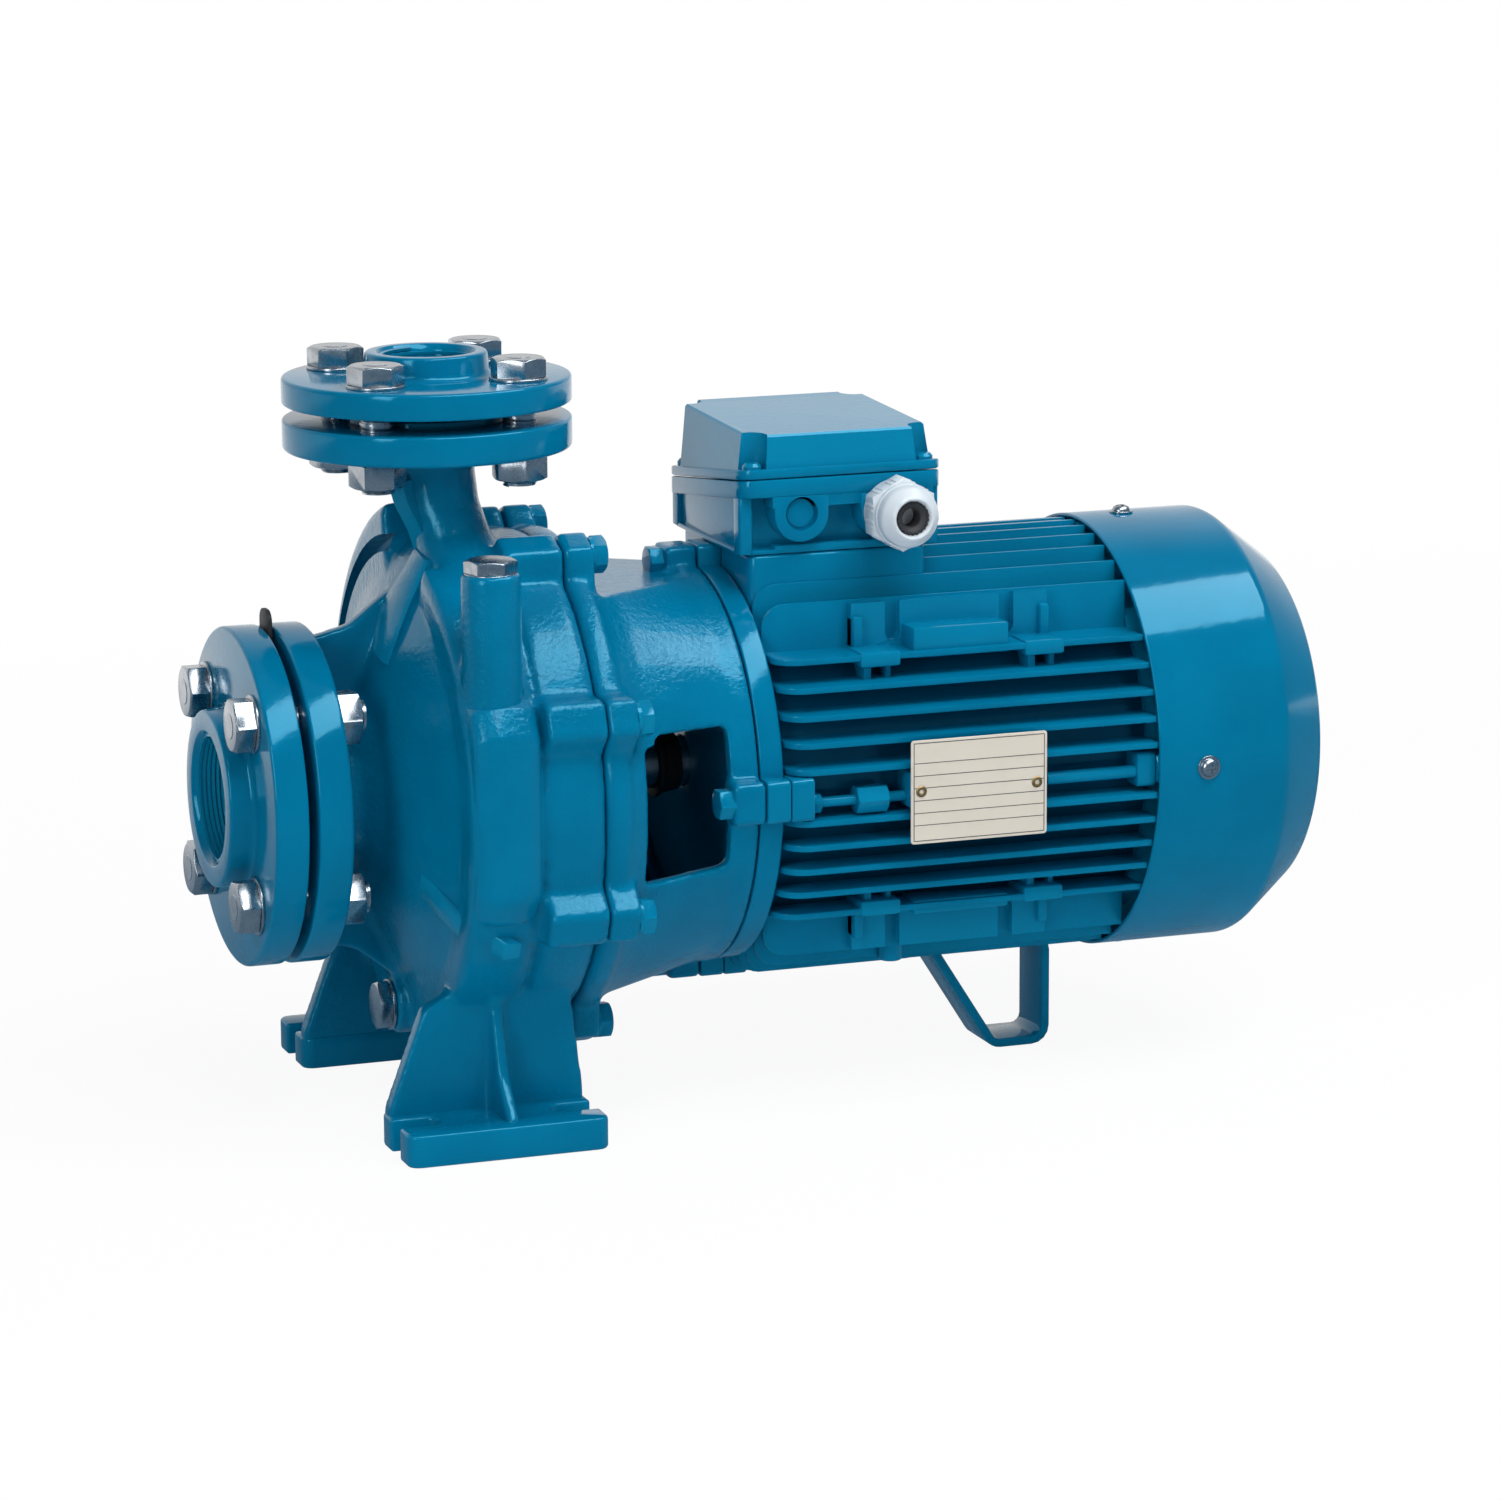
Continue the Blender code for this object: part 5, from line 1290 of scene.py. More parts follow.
    def valley(self) -> Piece:
        """Tool for the hollow between the shoulder and the scroll's outer rim, on the far side.

        Returns:
            The tool.
        """
        sections = []
        first, last = self.swell - 4, 24
        for station in range(last + 1):
            fade = min(1.0, station / 5)
            angle = math.radians(first + (self.mouth - first) * station / last)
            outline = rectangle(10, 1 + 3.2 * fade, 3 * fade + 0.4, (-17, 117.5))
            sections.append([(x, -r * math.sin(angle), r * math.cos(angle)) for x, r in outline])
        return loft("valley", sections)

    def ridges(self) -> Piece:
        """Sharp cast ribs down the swan neck, over the dished front and below the suction neck.

        Returns:
            The three ribs.
        """
        crest = ((-24.5, -13, 152), (-21.5, -15, 140), (-15, -15, 127), (-10.5, -15, 112), (-10, -18, 104))
        web = []
        for x, y, z in crest:
            web.append([(x, y, z), (x + 5, y - 8, z), (x + 12, y - 4, z), (x + 7, y + 9, z)])
        upper = [
            (-12, -23, 117, 8), (-17, -24, 108, 9), (-22, -20, 97, 11), (-27.5, -15, 83, 14),
            (-32, -11, 68, 15),
        ]
        lower = [
            (-1, -113, -60, 4), (-9, -105, -55, 5), (-17.5, -97, -50, 5), (-23, -84, -43, 5),
            (-27, -70, -36, 6), (-30, -58, -30, 7),
        ]
        return joined("ridges", [loft("web", web), self._band(upper), self._band(lower)])

    @staticmethod
    def _band(path: Sequence[tuple[float, float, float, float]]) -> Piece:
        """Flat rib through (face x, y, z, half width) points of the dished front.

        Args:
            path: The points, from one end to the other.

        Returns:
            The rib.
        """
        sections = []
        for x, y, z, half in path:
            length = math.hypot(y, z)
            across = (half * z / length, -half * y / length)
            corners = ((0, -1), (0, 1), (1.6, 1.25), (9, 1), (9, -1), (1.6, -1.25))
            sections.append([(x + back, y + out * across[0], z + out * across[1]) for back, out in corners])
        return loft("band", sections)

    def chamber(self) -> Piece:
        """Room inside the casting, open at the suction face and at the back.

        Returns:
            The tool that cuts it.
        """
        wall = self.barrel_r - 16
        corners = [
            (self.suction_x - 4, 0), (self.suction_x - 4, 26), (-31, 26), (-31, 43),
            (-21, self.barrel_r - 50, 8), (-4, self.barrel_r - 22, 5), (2, wall, 3),
            (self.back_x + 2, wall), (self.back_x + 2, 0),
        ]
        return turned("chamber", filleted(corners, closed=False), 64)

    def waterway(self) -> Piece:
        """Bore of the discharge branch, which follows the swan neck."""
        stops = ((0, 0, 190, 16), (0, 0, 166, 16), (2.5, -5, 145, 15), (7, -14, 122, 14), (8, -28, 92, 14))
        return loft("outlet", [ellipse((x, y), (radius, radius), z, 32) for x, y, z, radius in stops])

    def casting(self) -> None:
        """The rough part of the casting, with fillets wherever its solids meet."""
        solids = [self.barrel(), self.scroll(), self.neck()]
        solids.append(clamp_lugs(self.barrel_r, self.back_x - self.lug_length, self.back_x, ROUGH_ENAMEL))
        solids += [self.gussets(), self.bosses(), self.leg(-1), self.leg(1)]
        body = cast(joined("pump_casing_casting", solids), self.cell, self.fillet_rounds)
        cut(body, self.valley(), self.chamber(), self.waterway())
        body = joined("pump_casing_casting", [body, self.ridges(), self.spine()])
        dressed(body, ROUGH_ENAMEL, ("pump_casing",), sharp=50)

    def machined(self) -> None:
        """Both flanges and the foot pads, whose faces and rims are smooth."""
        back = self.suction_x + self.suction_thick
        corners = [
            (self.suction_x - 1, 26), (self.suction_x - 1, self.face_r, 0.5),
            (self.suction_x, self.face_r), (self.suction_x, self.suction_r, 1.4),
            (back, self.suction_r, 2.2), (back, self.neck_r + 3, 3), (back + 6, self.neck_r - 4),
            (back + 6, 26),
        ]
        suction = turned("suction_flange", filleted(corners), 144, ring=True)
        under = self.discharge_z - self.discharge_thick
        corners = [
            (under - 6, 16), (under - 6, 22), (under, 28, 3), (under, self.discharge_r, 2.2),
            (self.discharge_z, self.discharge_r, 1.4), (self.discharge_z, 38),
            (self.discharge_z + 2, 38, 0.5), (self.discharge_z + 2, 16),
        ]
        discharge = placed(turned("discharge_flange", filleted(corners), 128, ring=True), UPRIGHT)
        pads = [self._pad(side) for side in (-1, 1)]
        piece = joined("pump_casing_flanges", [suction, discharge, *pads])
        dressed(piece, FINE_ENAMEL, ("pump_casing",))

    def _pad(self, side: int) -> Piece:
        """Foot pad with the slots for its two holding-down bolts.

        Args:
            side: 1 for the far foot, -1 for the near one.

        Returns:
            The pad.
        """
        floor, middle = -SHAFT_HEIGHT, side * (self.foot_span - self.foot_width) / 2
        outline = rectangle(self.foot_length / 2, self.foot_width / 2, 6, (0, middle))
        pad = slab("pad", outline, floor, floor + self.foot_thick, Axis.Z)
        for end in (-1, 1):
            centre = (end * self.foot_length / 2, side * self.slot_track)
            slot = rectangle(22, self.slot_half, self.slot_half - 0.4, centre)
            cut(pad, slab("slot", slot, floor - 4, floor + self.foot_thick + 4, Axis.Z))
        return softened(pad, 1.6, 3)


@dataclass
class CounterFlange:
    """Screwed counter flange with its hub and the pipe thread in it."""

    name: str
    node: str
    thread_r: float
    face_r: float
    raise_: float
    outer_r: float
    thick: float
    hub_r: float
    hub_length: float
    to_place: Matrix
    pitch: float = 2.31

    def plate(self) -> None:
        """The flange with its hub and its thread, along X from its joint face."""
        plate_end = self.raise_ + self.thick
        hub_end = plate_end + self.hub_length
        corners = [
            (0, self.thread_r + 0.8), (0, self.face_r, 0.4), (self.raise_, self.face_r),
            (self.raise_, self.outer_r, 1.2), (plate_end, self.outer_r, 1.8),
            (plate_end, self.hub_r + 0.5, 3.5), (hub_end, self.hub_r - 0.5, 1.6),
            (hub_end, self.thread_r + 3.2, 0.8), (hub_end - 3.4, self.thread_r + 0.8),
        ]
        body = turned(self.name, filleted(corners), 144, ring=True)
        turns = (hub_end - 4) / self.pitch
        sizes = {"Radius": self.thread_r + 1.0, "Pitch": self.pitch, "Turns": turns, "Ridge": 1.0}
        thread = REPEATS.thread.run("pipe_thread", FINE_ENAMEL, sizes)
        placed(thread, move(2, 0, 0) @ turn(90, Axis.Y))
        piece = placed(joined(self.name, [body, thread]), self.to_place)
        dressed(piece, FINE_ENAMEL, (self.node,))


@dataclass
class Gaskets:
    """The two flat gaskets, one with a tab that stands out above its flanges."""

    suction_x: float = -81.3
    suction_thick: float = 2.4
    suction_r: float = 49.0
    tab_r: float = 91.0
    discharge_z: float = 182.3
    discharge_thick: float = 2.7

    def both(self) -> None:
        """Make and dress both gaskets."""
        start, end = self.suction_x - self.suction_thick, self.suction_x
        corners = [(start, 30), (start, self.suction_r, 0.5), (end, self.suction_r, 0.5), (end, 30)]
        ring = turned("suction_gasket_ring", filleted(corners), 96, ring=True)
        root = self.suction_r - 4
        outline = [(-8, root), (8, root), (8, self.tab_r, 6), (-8, self.tab_r, 6)]
        tab = softened(slab("tab", filleted(outline, steps=6), start, end, Axis.X), 0.5)
        piece = joined("suction_gasket_ring", [ring, tab])
        dressed(piece, BLACK_RUBBER, ("suction_gasket",))
        low, high = self.discharge_z, self.discharge_z + self.discharge_thick
        corners = [(low, 21), (low, 38, 0.5), (high, 38, 0.5), (high, 21)]
        disc = placed(turned("discharge_gasket_ring", filleted(corners), 96, ring=True), UPRIGHT)
        dressed(disc, BLACK_RUBBER, ("discharge_gasket",))


@dataclass
class FlangeBolts:
    """Zinc-plated screws, washers and nuts that hold one counter flange."""

    name: str
    circle_r: float
    grip: float
    stack: float
    seed: int
    to_place: Matrix
    flats: float = 24.0
    nut: float = 12.6
    shank_r: float = 7.6
    pitch: float = 2.0
    washer_r: float = 14.2
    washer_thick: float = 1.6

    def template(self) -> Piece:
        """One screw along X, with its head beyond X = 0 on the minus side and its nut at the grip.

        Returns:
            The screw with its washer and nut.
        """
        bore, rim, thick = self.shank_r + 1.0, self.washer_r, self.washer_thick
        washer = [(0, bore), (0, rim, 0.4), (-thick, rim, 0.5), (-thick, bore)]
        ring = turned("washer", filleted(washer), 40, ring=True)
        head = placed(hex_block("head", self.flats, 1.7, self.stack), TURNED_ABOUT)
        mark = placed(turned("mark", [(0, 0), (0, 6.4), (0.35, 6.0), (0.35, 0)], 32), TURNED_ABOUT)
        placed(mark, move(-self.stack + 0.05, 0, 0))
        end = self.grip + self.nut + 2.6
        shank = drum("shank", -2, end, self.shank_r, 24)
        nut = hex_block("nut", self.flats, self.grip + 0.2, self.grip + self.nut, both_ends=True)
        sizes = {"Radius": self.shank_r, "Pitch": self.pitch, "Turns": end / self.pitch, "Ridge": 0.75}
        thread = placed(REPEATS.thread.run("thread", ZINC, sizes), turn(90, Axis.Y))
        return joined("bolt", [ring, head, mark, shank, nut, thread])

    def make(self) -> None:
        """Set the screws round the bolt circle, each turned by its own angle."""
        sizes = {
            "Count": 4, "Radius": self.circle_r, "First Angle": math.radians(45), "Spin": HEAD_SPIN,
            "Seed": self.seed,
        }
        piece = REPEATS.ring.run(self.name, ZINC, sizes, self.template())
        dressed(placed(piece, self.to_place), ZINC)


@dataclass
class Plugs:
    """Hexagon plugs of the priming and the drain hole, with their sealing collars."""

    flats: float = 22.0
    head: float = 6.2
    collar_r: float = 12.5
    collar: float = 1.5
    priming_seat: Point = (-1.0, -104.0, 119.2)
    drain_seat: Point = (-24.3, 0.0, -110.8)

    def plug(self, name: str, node: str, seat: Matrix) -> None:
        """Make one plug.

        Args:
            name: Name of the piece.
            node: The node that it stands for.
            seat: Where it sits, pointing along X.
        """
        head = hex_block("head", self.flats, self.collar, self.collar + self.head)
        corners = [(0, 0), (0, self.collar_r, 0.3), (self.collar, self.collar_r, 0.3), (self.collar, 0)]
        collar = turned("collar", filleted(corners, closed=False), 48)
        piece = placed(joined(name, [head, collar]), seat)
        dressed(piece, ZINC, (node,))

    def both(self) -> None:
        """Make and dress both plugs."""
        priming = move(*self.priming_seat) @ UPRIGHT @ turn(14)
        self.plug("priming_plug_hexagon", "priming_plug", priming)
        drain = move(*self.drain_seat) @ TURNED_ABOUT @ turn(20)
        self.plug("drain_plug_hexagon", "drain_plug", drain)


@dataclass
class Lantern:
    """Cast bracket between pump and motor, with its windows, lugs and flat top."""

    start_x: float = 49.8
    end_x: float = 134.0
    front_r: float = 122.0
    waist_r: float = 112.0
    waist_x: float = 75.0
    end_r: float = 100.5
    wall: float = 9.0
    rim: float = 10.5
    window_half: float = 36.0
    lug_length: float = 16.0
    tie_lug_length: float = 16.6
    flat_z: float = 97.0
    cell: float = 1.7
    fillet_rounds: int = 5

    def shell(self) -> Piece:
        """Turned wall of the bracket.

        Returns:
            The wall.
        """
        rim_end = self.start_x + self.rim
        corners = [
            (self.start_x, 60), (self.start_x, self.front_r - 3),
            (self.start_x + 4, self.front_r - 0.5, 3), (rim_end, self.front_r - 0.5, 3),
            (self.start_x + 15, self.front_r - 5, 3), (self.waist_x, self.waist_r, 10),
            (self.end_x - 12, self.end_r, 6), (self.end_x, self.end_r, 0.8), (self.end_x, 80),
            (self.end_x - 8, 80), (self.end_x - 8, self.end_r - self.wall, 6),
            (self.waist_x, self.waist_r - self.wall), (rim_end, self.waist_r - self.wall, 4),
            (rim_end, 60),
        ]
        return turned("shell", filleted(corners), 128, ring=True)

    def window(self) -> Piece:
        """Cutter of both side windows."""
        top = self.window_half
        corners = [(73, -top, 3), (119, 4 - top, 3), (119, top, 3), (79, top, 2)]
        corners += [(79, top - 5, 1.5), (73, top - 5, 2)]
        return slab("window", filleted(corners), -130, 130, Axis.Y)

    def casting(self) -> None:
        """Melt the bracket into one casting."""
        roof = slab("roof", [(62, -58), (125, -24), (125, 24), (62, 58)], 85, self.flat_z, Axis.Z)
        body = boolean(self.shell(), [roof], Operation.UNION)
        lug_end = self.start_x + self.lug_length
        lugs = clamp_lugs(self.front_r, self.start_x, lug_end, FINE_ENAMEL)
        shape = cast(joined("lantern_casting", [body, lugs]), self.cell, 0)
        cut(shape, block("above", (lug_end, -130, self.flat_z), (122, 130, 140)), self.window())
        ties = TieLugs(self.end_x - self.tie_lug_length, self.end_x, self.end_r - 8).ring()
        shape = joined("lantern_casting", [shape, ties])
        cast(shape, self.cell, self.fillet_rounds)
        dressed(shape, ROUGH_ENAMEL, ("lantern_bracket",), sharp=50)


@dataclass
class PaintedScrews:
    """Small hexagon screws that are painted over with what they hold."""

    clamp_x: float = 65.8
    clamp_circle_r: float = 125.0
    clamp_flats: float = 16.0
    tie_front_x: float = 118.8
    tie_front_circle_r: float = 101.5
    tie_rear_x: float = 339.2
    tie_rear_circle_r: float = 100.0
    tie_flats: float = 13.5

    def clamp_screws(self) -> None:
        """The eight screws through the lugs of casing and lantern."""
        hexagon_head = hex_block("head", self.clamp_flats, 0.2, 7.2)
        head = joined("screw", [hexagon_head, drum("collar", -1, 1, 8.6, 24)])
        placed(head, move(self.clamp_x, 0, 0))
        sizes = {
            "Count": CLAMP_SCREWS, "Radius": self.clamp_circle_r, "First Angle": FIRST_CLAMP_SCREW,
            "Spin": HEAD_SPIN, "Seed": 5,
        }
        piece = REPEATS.ring.run("clamp_screw_heads", FINE_ENAMEL, sizes, head)
        dressed(piece, FINE_ENAMEL)

    def tie_screws(self) -> None:
        """Heads of the motor's tie bolts at both ends of the frame."""
        ends = (
            (self.tie_front_x, self.tie_front_circle_r, TURNED_ABOUT),
            (self.tie_rear_x, self.tie_rear_circle_r, Matrix()),
        )
        rings = []
        for seat_x, circle_r, way in ends:
            head = placed(hex_block("head", self.tie_flats, 0, 8), way)
            placed(head, move(seat_x, 0, 0))
            sizes = {"Count": 4, "Radius": circle_r, "Spin": HEAD_SPIN, "Seed": 9}
            rings.append(REPEATS.ring.run("tie_bolts", FINE_ENAMEL, sizes, head))
        dressed(joined("tie_bolt_heads", rings), FINE_ENAMEL)


@dataclass
class MotorFrame:
    """Finned frame of the motor with its seats, pads and lugs, its tie rods and its front shield."""

    start_x: float = 146.6
    end_x: float = 339.0
    body_r: float = 91.0
    fin_r: float = 108.0
    fin_step: float = 12.6
    fin_thick: float = 3.0
    fin_pairs: int = 5
    seat_start: float = 192.0
    seat_end: float = 295.0
    groove_r: float = 4.6
    shield_start: float = 134.3
    shield_end: float = 146.3
    shield_r: float = 99.8
    box_pad_x: float = 193.3
    box_pad_z: float = 109.5
    strap_pads_x: Pair = (245.0, 311.0)
    strap_pad_z: float = -101.2
    rod_y: float = 100.0
    rod_z: float = -3.5

    def fins(self, skip: float) -> Piece:
        """One set of upright fins.

        Args:
            skip: Fins nearer the middle than this are left out, in millimetres.

        Returns:
            The fins.
        """
        sizes = {
            "Pairs": self.fin_pairs, "Step": self.fin_step, "Tip Radius": self.fin_r,
            "Thickness": self.fin_thick, "Start": self.start_x + 1,
            "Length": self.end_x - self.start_x - 1, "Corner": 12.0, "Skip": skip,
        }
        return softened(REPEATS.fins.run("fins", FINE_ENAMEL, sizes), 1.0, 2, 40)

    def seat(self, side: int, level: int) -> Piece:
        """Cast seat for a loose foot in one corner.

        Args:
            side: 1 for the far side, -1 for the near one.
            level: 1 above the shaft, -1 below it.

        Returns:
            The seat.
        """
        wall = self.fin_pairs * self.fin_step
        shelf = wall + self.fin_thick / 2
        middle = (self.seat_start + self.seat_end) / 2
        parts = []

        def brick(start: float, end: float, reach: float, low: float, high: float, edge: float) -> None:
            """Add one block of the seat.

            Args:
                start: Where it begins along X.
                end: Where it ends.
                reach: How far it stands out from the shelf.
                low: Its distance from the shaft's level.
                high: Where it ends, measured the same way.
                edge: The rounding.
            """
            y = sorted((side * (shelf - 3), side * (shelf + reach)))
            z = sorted((level * low, level * high))
            parts.append(block("brick", (start, y[0], z[0]), (end, y[1], z[1]), edge))

        plate_top = math.sqrt(self.fin_r**2 - wall**2) - 1.2
        plate_y = sorted((side * (shelf - 3), side * (shelf + 5)))
        plate_z = sorted((level * (shelf - 3), level * plate_top))
        corners = ((self.seat_start, plate_y[0], plate_z[0]), (self.seat_end, plate_y[1], plate_z[1]))
        plate = block("plate", *corners)
        radius = self.groove_r
        round_end = [(-radius, 0), (-3.2, 3.2), (0, radius), (3.2, 3.2), (radius, 0)]
        for x in (middle - 30, middle + 30):
            groove = drum("groove", shelf + 6, self.fin_r, radius, 24)
            placed(groove, UPRIGHT if level > 0 else turn(180) @ UPRIGHT)
            placed(groove, move(x, side * (shelf + 2.5), 0))
            ball = placed(turned("ball", round_end, 16), UPRIGHT)
            placed(ball, move(x, side * (shelf + 2.5), level * (shelf + 6)))
            cut(plate, groove, ball)
        parts.append(softened(plate, 1.0, 2))
        brick(middle - 25, middle + 25, 21, shelf - 4, shelf + (11 if level > 0 else 3), 1.2)
        for start in (self.seat_start - 2, self.seat_end - 19):
            brick(start, start + 21, 24, wall - 5, shelf + 1.2, 1.6)
            brick(start + 3, start + 7, 20, wall - 12, wall, 0.8)
            brick(start + 15, start + 18, 18, wall - 12, wall, 0.8)
        brick(self.seat_start, self.seat_start + 5, 9, shelf - 3, shelf + 16, 1.5)
        brick(self.seat_end - 5, self.seat_end, 9, shelf - 3, shelf + 16, 1.5)
        return joined("seat", parts)

    def box_pad(self) -> Piece:
        """Raised pad that carries the terminal box."""
        outline = rectangle(46.2, 50, 5, (self.box_pad_x, 0))
        return softened(slab("pad", outline, 70, self.box_pad_z, Axis.Z), 2.0, 3)

    def strap_pads(self) -> Piece:
        """Pads that the strap foot is screwed to.

        Returns:
            Both pads.
        """
        pads = []
        for x in self.strap_pads_x:
            pad = slab("pad", rectangle(10, 15, 3, (x, 0)), self.strap_pad_z, -80, Axis.Z)
            pads.append(softened(pad, 1.2, 2))
        return joined("strap_pads", pads)

    def drain(self) -> Piece:
        """Short boss of the condensate drain under the frame."""
        boss = placed(stud("boss", 30, 6, 1.2, 24), turn(180) @ UPRIGHT)
        return placed(boss, move(218, -55, -67))

    def casting(self) -> None:
        """The whole frame."""
        body = drum("motor_frame_barrel", self.start_x, self.end_x, self.body_r, 128)
        cut(body, drum("tunnel", self.start_x - 2, self.end_x + 2, 16, 48))
        # the barrel between the fins gets the darker enamel, as painted shade
        dressed(body, SHADED_GAP_ENAMEL, ("motor_frame",))
        parts = [self.fins(-1.0), placed(self.fins(self.fin_step / 2), turn(90))]
        root = self.body_r - 5
        parts.append(TieLugs(self.start_x, self.start_x + 12, root, corner=2.5).ring())
        parts.append(TieLugs(self.end_x - 10, self.end_x, root, top=105, width=17, corner=2.5).ring())
        parts += [self.seat(side, level) for side, level in CORNER_SIGNS]
        parts += [self.box_pad(), self.strap_pads(), self.drain()]
        piece = joined("motor_frame_casting", parts)
        dressed(piece, FINE_ENAMEL, ("motor_frame",))

    def drive_shield(self) -> None:
        """Drive-end shield between lantern and frame."""
        start, end = self.shield_start, self.shield_end
        corners = [
            (start - 6, 13.1), (start - 6, 68, 2), (start - 3, 79.7), (start, 79.7),
            (start, self.shield_r, 0.8), (end, self.shield_r, 1.5), (end, 13.1),
        ]
        ring = turned("shield", filleted(corners), 144, ring=True)
        piece = joined("drive_shield_casting", [ring, TieLugs(start, end, 90, edge=1.0).ring()])
        dressed(piece, FINE_ENAMEL, ("motor_end_shield",))

    def side_tie_rods(self) -> None:
        """Tie rod on each side with its nuts, the stub behind it, and the arms that hold both."""
        parts = []
        for side in (-1, 1):
            y = side * self.rod_y
            rod = [drum("rod", 150, 213, 2.6, 16)]
            rod.append(softened(hex_block("long_nut", 12.5, 182, 198, both_ends=True), 0.4))
            rod += [hex_block("nut", 9, start, start + 5, both_ends=True) for start in (152, 159)]
            parts += [placed(piece, move(0, y, self.rod_z)) for piece in rod]
            parts.append(placed(stud("rod_end", 54, 3.2, 1, 16), move(282, y + side * 0.5, -1)))
            near, far = sorted((side * 88, side * 110))
            parts += [block("arm", (x, near, -9), (x + 8, far, 9), 1.5) for x in (208, 268)]
        dressed(joined("side_tie_rods", parts), FINE_ENAMEL)


@dataclass
class FanCover:
    """Sheet cover over the fan, with its screws and the guard in its air opening."""

    start_x: float = 339.0
    cone_x: float = 408.0
    end_x: float = 438.0
    radius: float = 110.0
    end_r: float = 86.0
    opening_r: float = 74.0
    sheet: float = 2.0
    screw_x: float = 365.0
    guard_rings: int = 9
    guard_spokes: int = 8
    guard_inner_r: float = 12.0
    guard_outer_r: float = 77.0
    wire_r: float = 1.2

    def shell(self) -> None:
        """Turned sheet with a rolled front edge."""
        wall = self.sheet
        outer = [
            (self.start_x, self.radius, 0.9), (self.cone_x, self.radius, 9),
            (self.end_x - 1, self.end_r + 1.5, 5), (self.end_x, self.opening_r, 0.8),
        ]
        inner = [
            (self.end_x - wall, self.opening_r, 0.8), (self.end_x - wall - 1, self.end_r - 0.5, 4),
            (self.cone_x, self.radius - wall, 8), (self.start_x, self.radius - wall, 0.9),
        ]
        piece = turned("fan_cover_shell", filleted(outer + inner, steps=6), 192, ring=True)
        dressed(piece, SHEET_ENAMEL, ("fan_cover",), sharp=50)

    def screws(self) -> None:
        """Cross-headed screws round the cover, with their washers."""
        head = [(0, 0), (0, 4.7), (0.8, 4.7), (2.4, 3.8), (3.1, 2.2), (3.3, 0)]
        dome = turned("dome", head, 32)
        for angle in (0, 90):
            slot = placed(block("slot", (-0.6, -2.6, 2.2), (0.6, 2.6, 6)), turn(angle, Axis.Z))
            cut(dome, placed(slot, turn(90, Axis.Y)))
        corners = [(-0.6, 0), (-0.6, 6, 0.3), (0.4, 6, 0.3), (0.4, 0)]
        washer = turned("washer", filleted(corners, closed=False), 32)
        screw = placed(joined("screw", [dome, washer]), UPRIGHT)
        placed(screw, move(self.screw_x, 0, self.radius + 0.6))
        piece = REPEATS.ring.run("fan_cover_screws", ZINC, {"Count": 4, "Radius": 0.0}, screw)
        dressed(piece, ZINC)

    def guard(self) -> None:
        """Guard of rings and spokes inside the air opening."""
        sizes = {
            "Rings": self.guard_rings, "Inner Radius": self.guard_inner_r,
            "Outer Radius": self.guard_outer_r, "Spokes": self.guard_spokes, "Wire": self.wire_r,
        }
        guard = placed(REPEATS.guard.run("fan_guard_wires", FINE_ENAMEL, sizes), turn(90, Axis.Y))
        placed(guard, move(self.end_x - self.sheet - 1.6, 0, 0))
        middle = placed(stud("middle", 2.4, 13, 0.6, 48), move(self.end_x - self.sheet - 2.8, 0, 0))
        piece = joined("fan_guard_wires", [guard, middle])
        dressed(piece, FINE_ENAMEL, ("fan_cover_grille",))


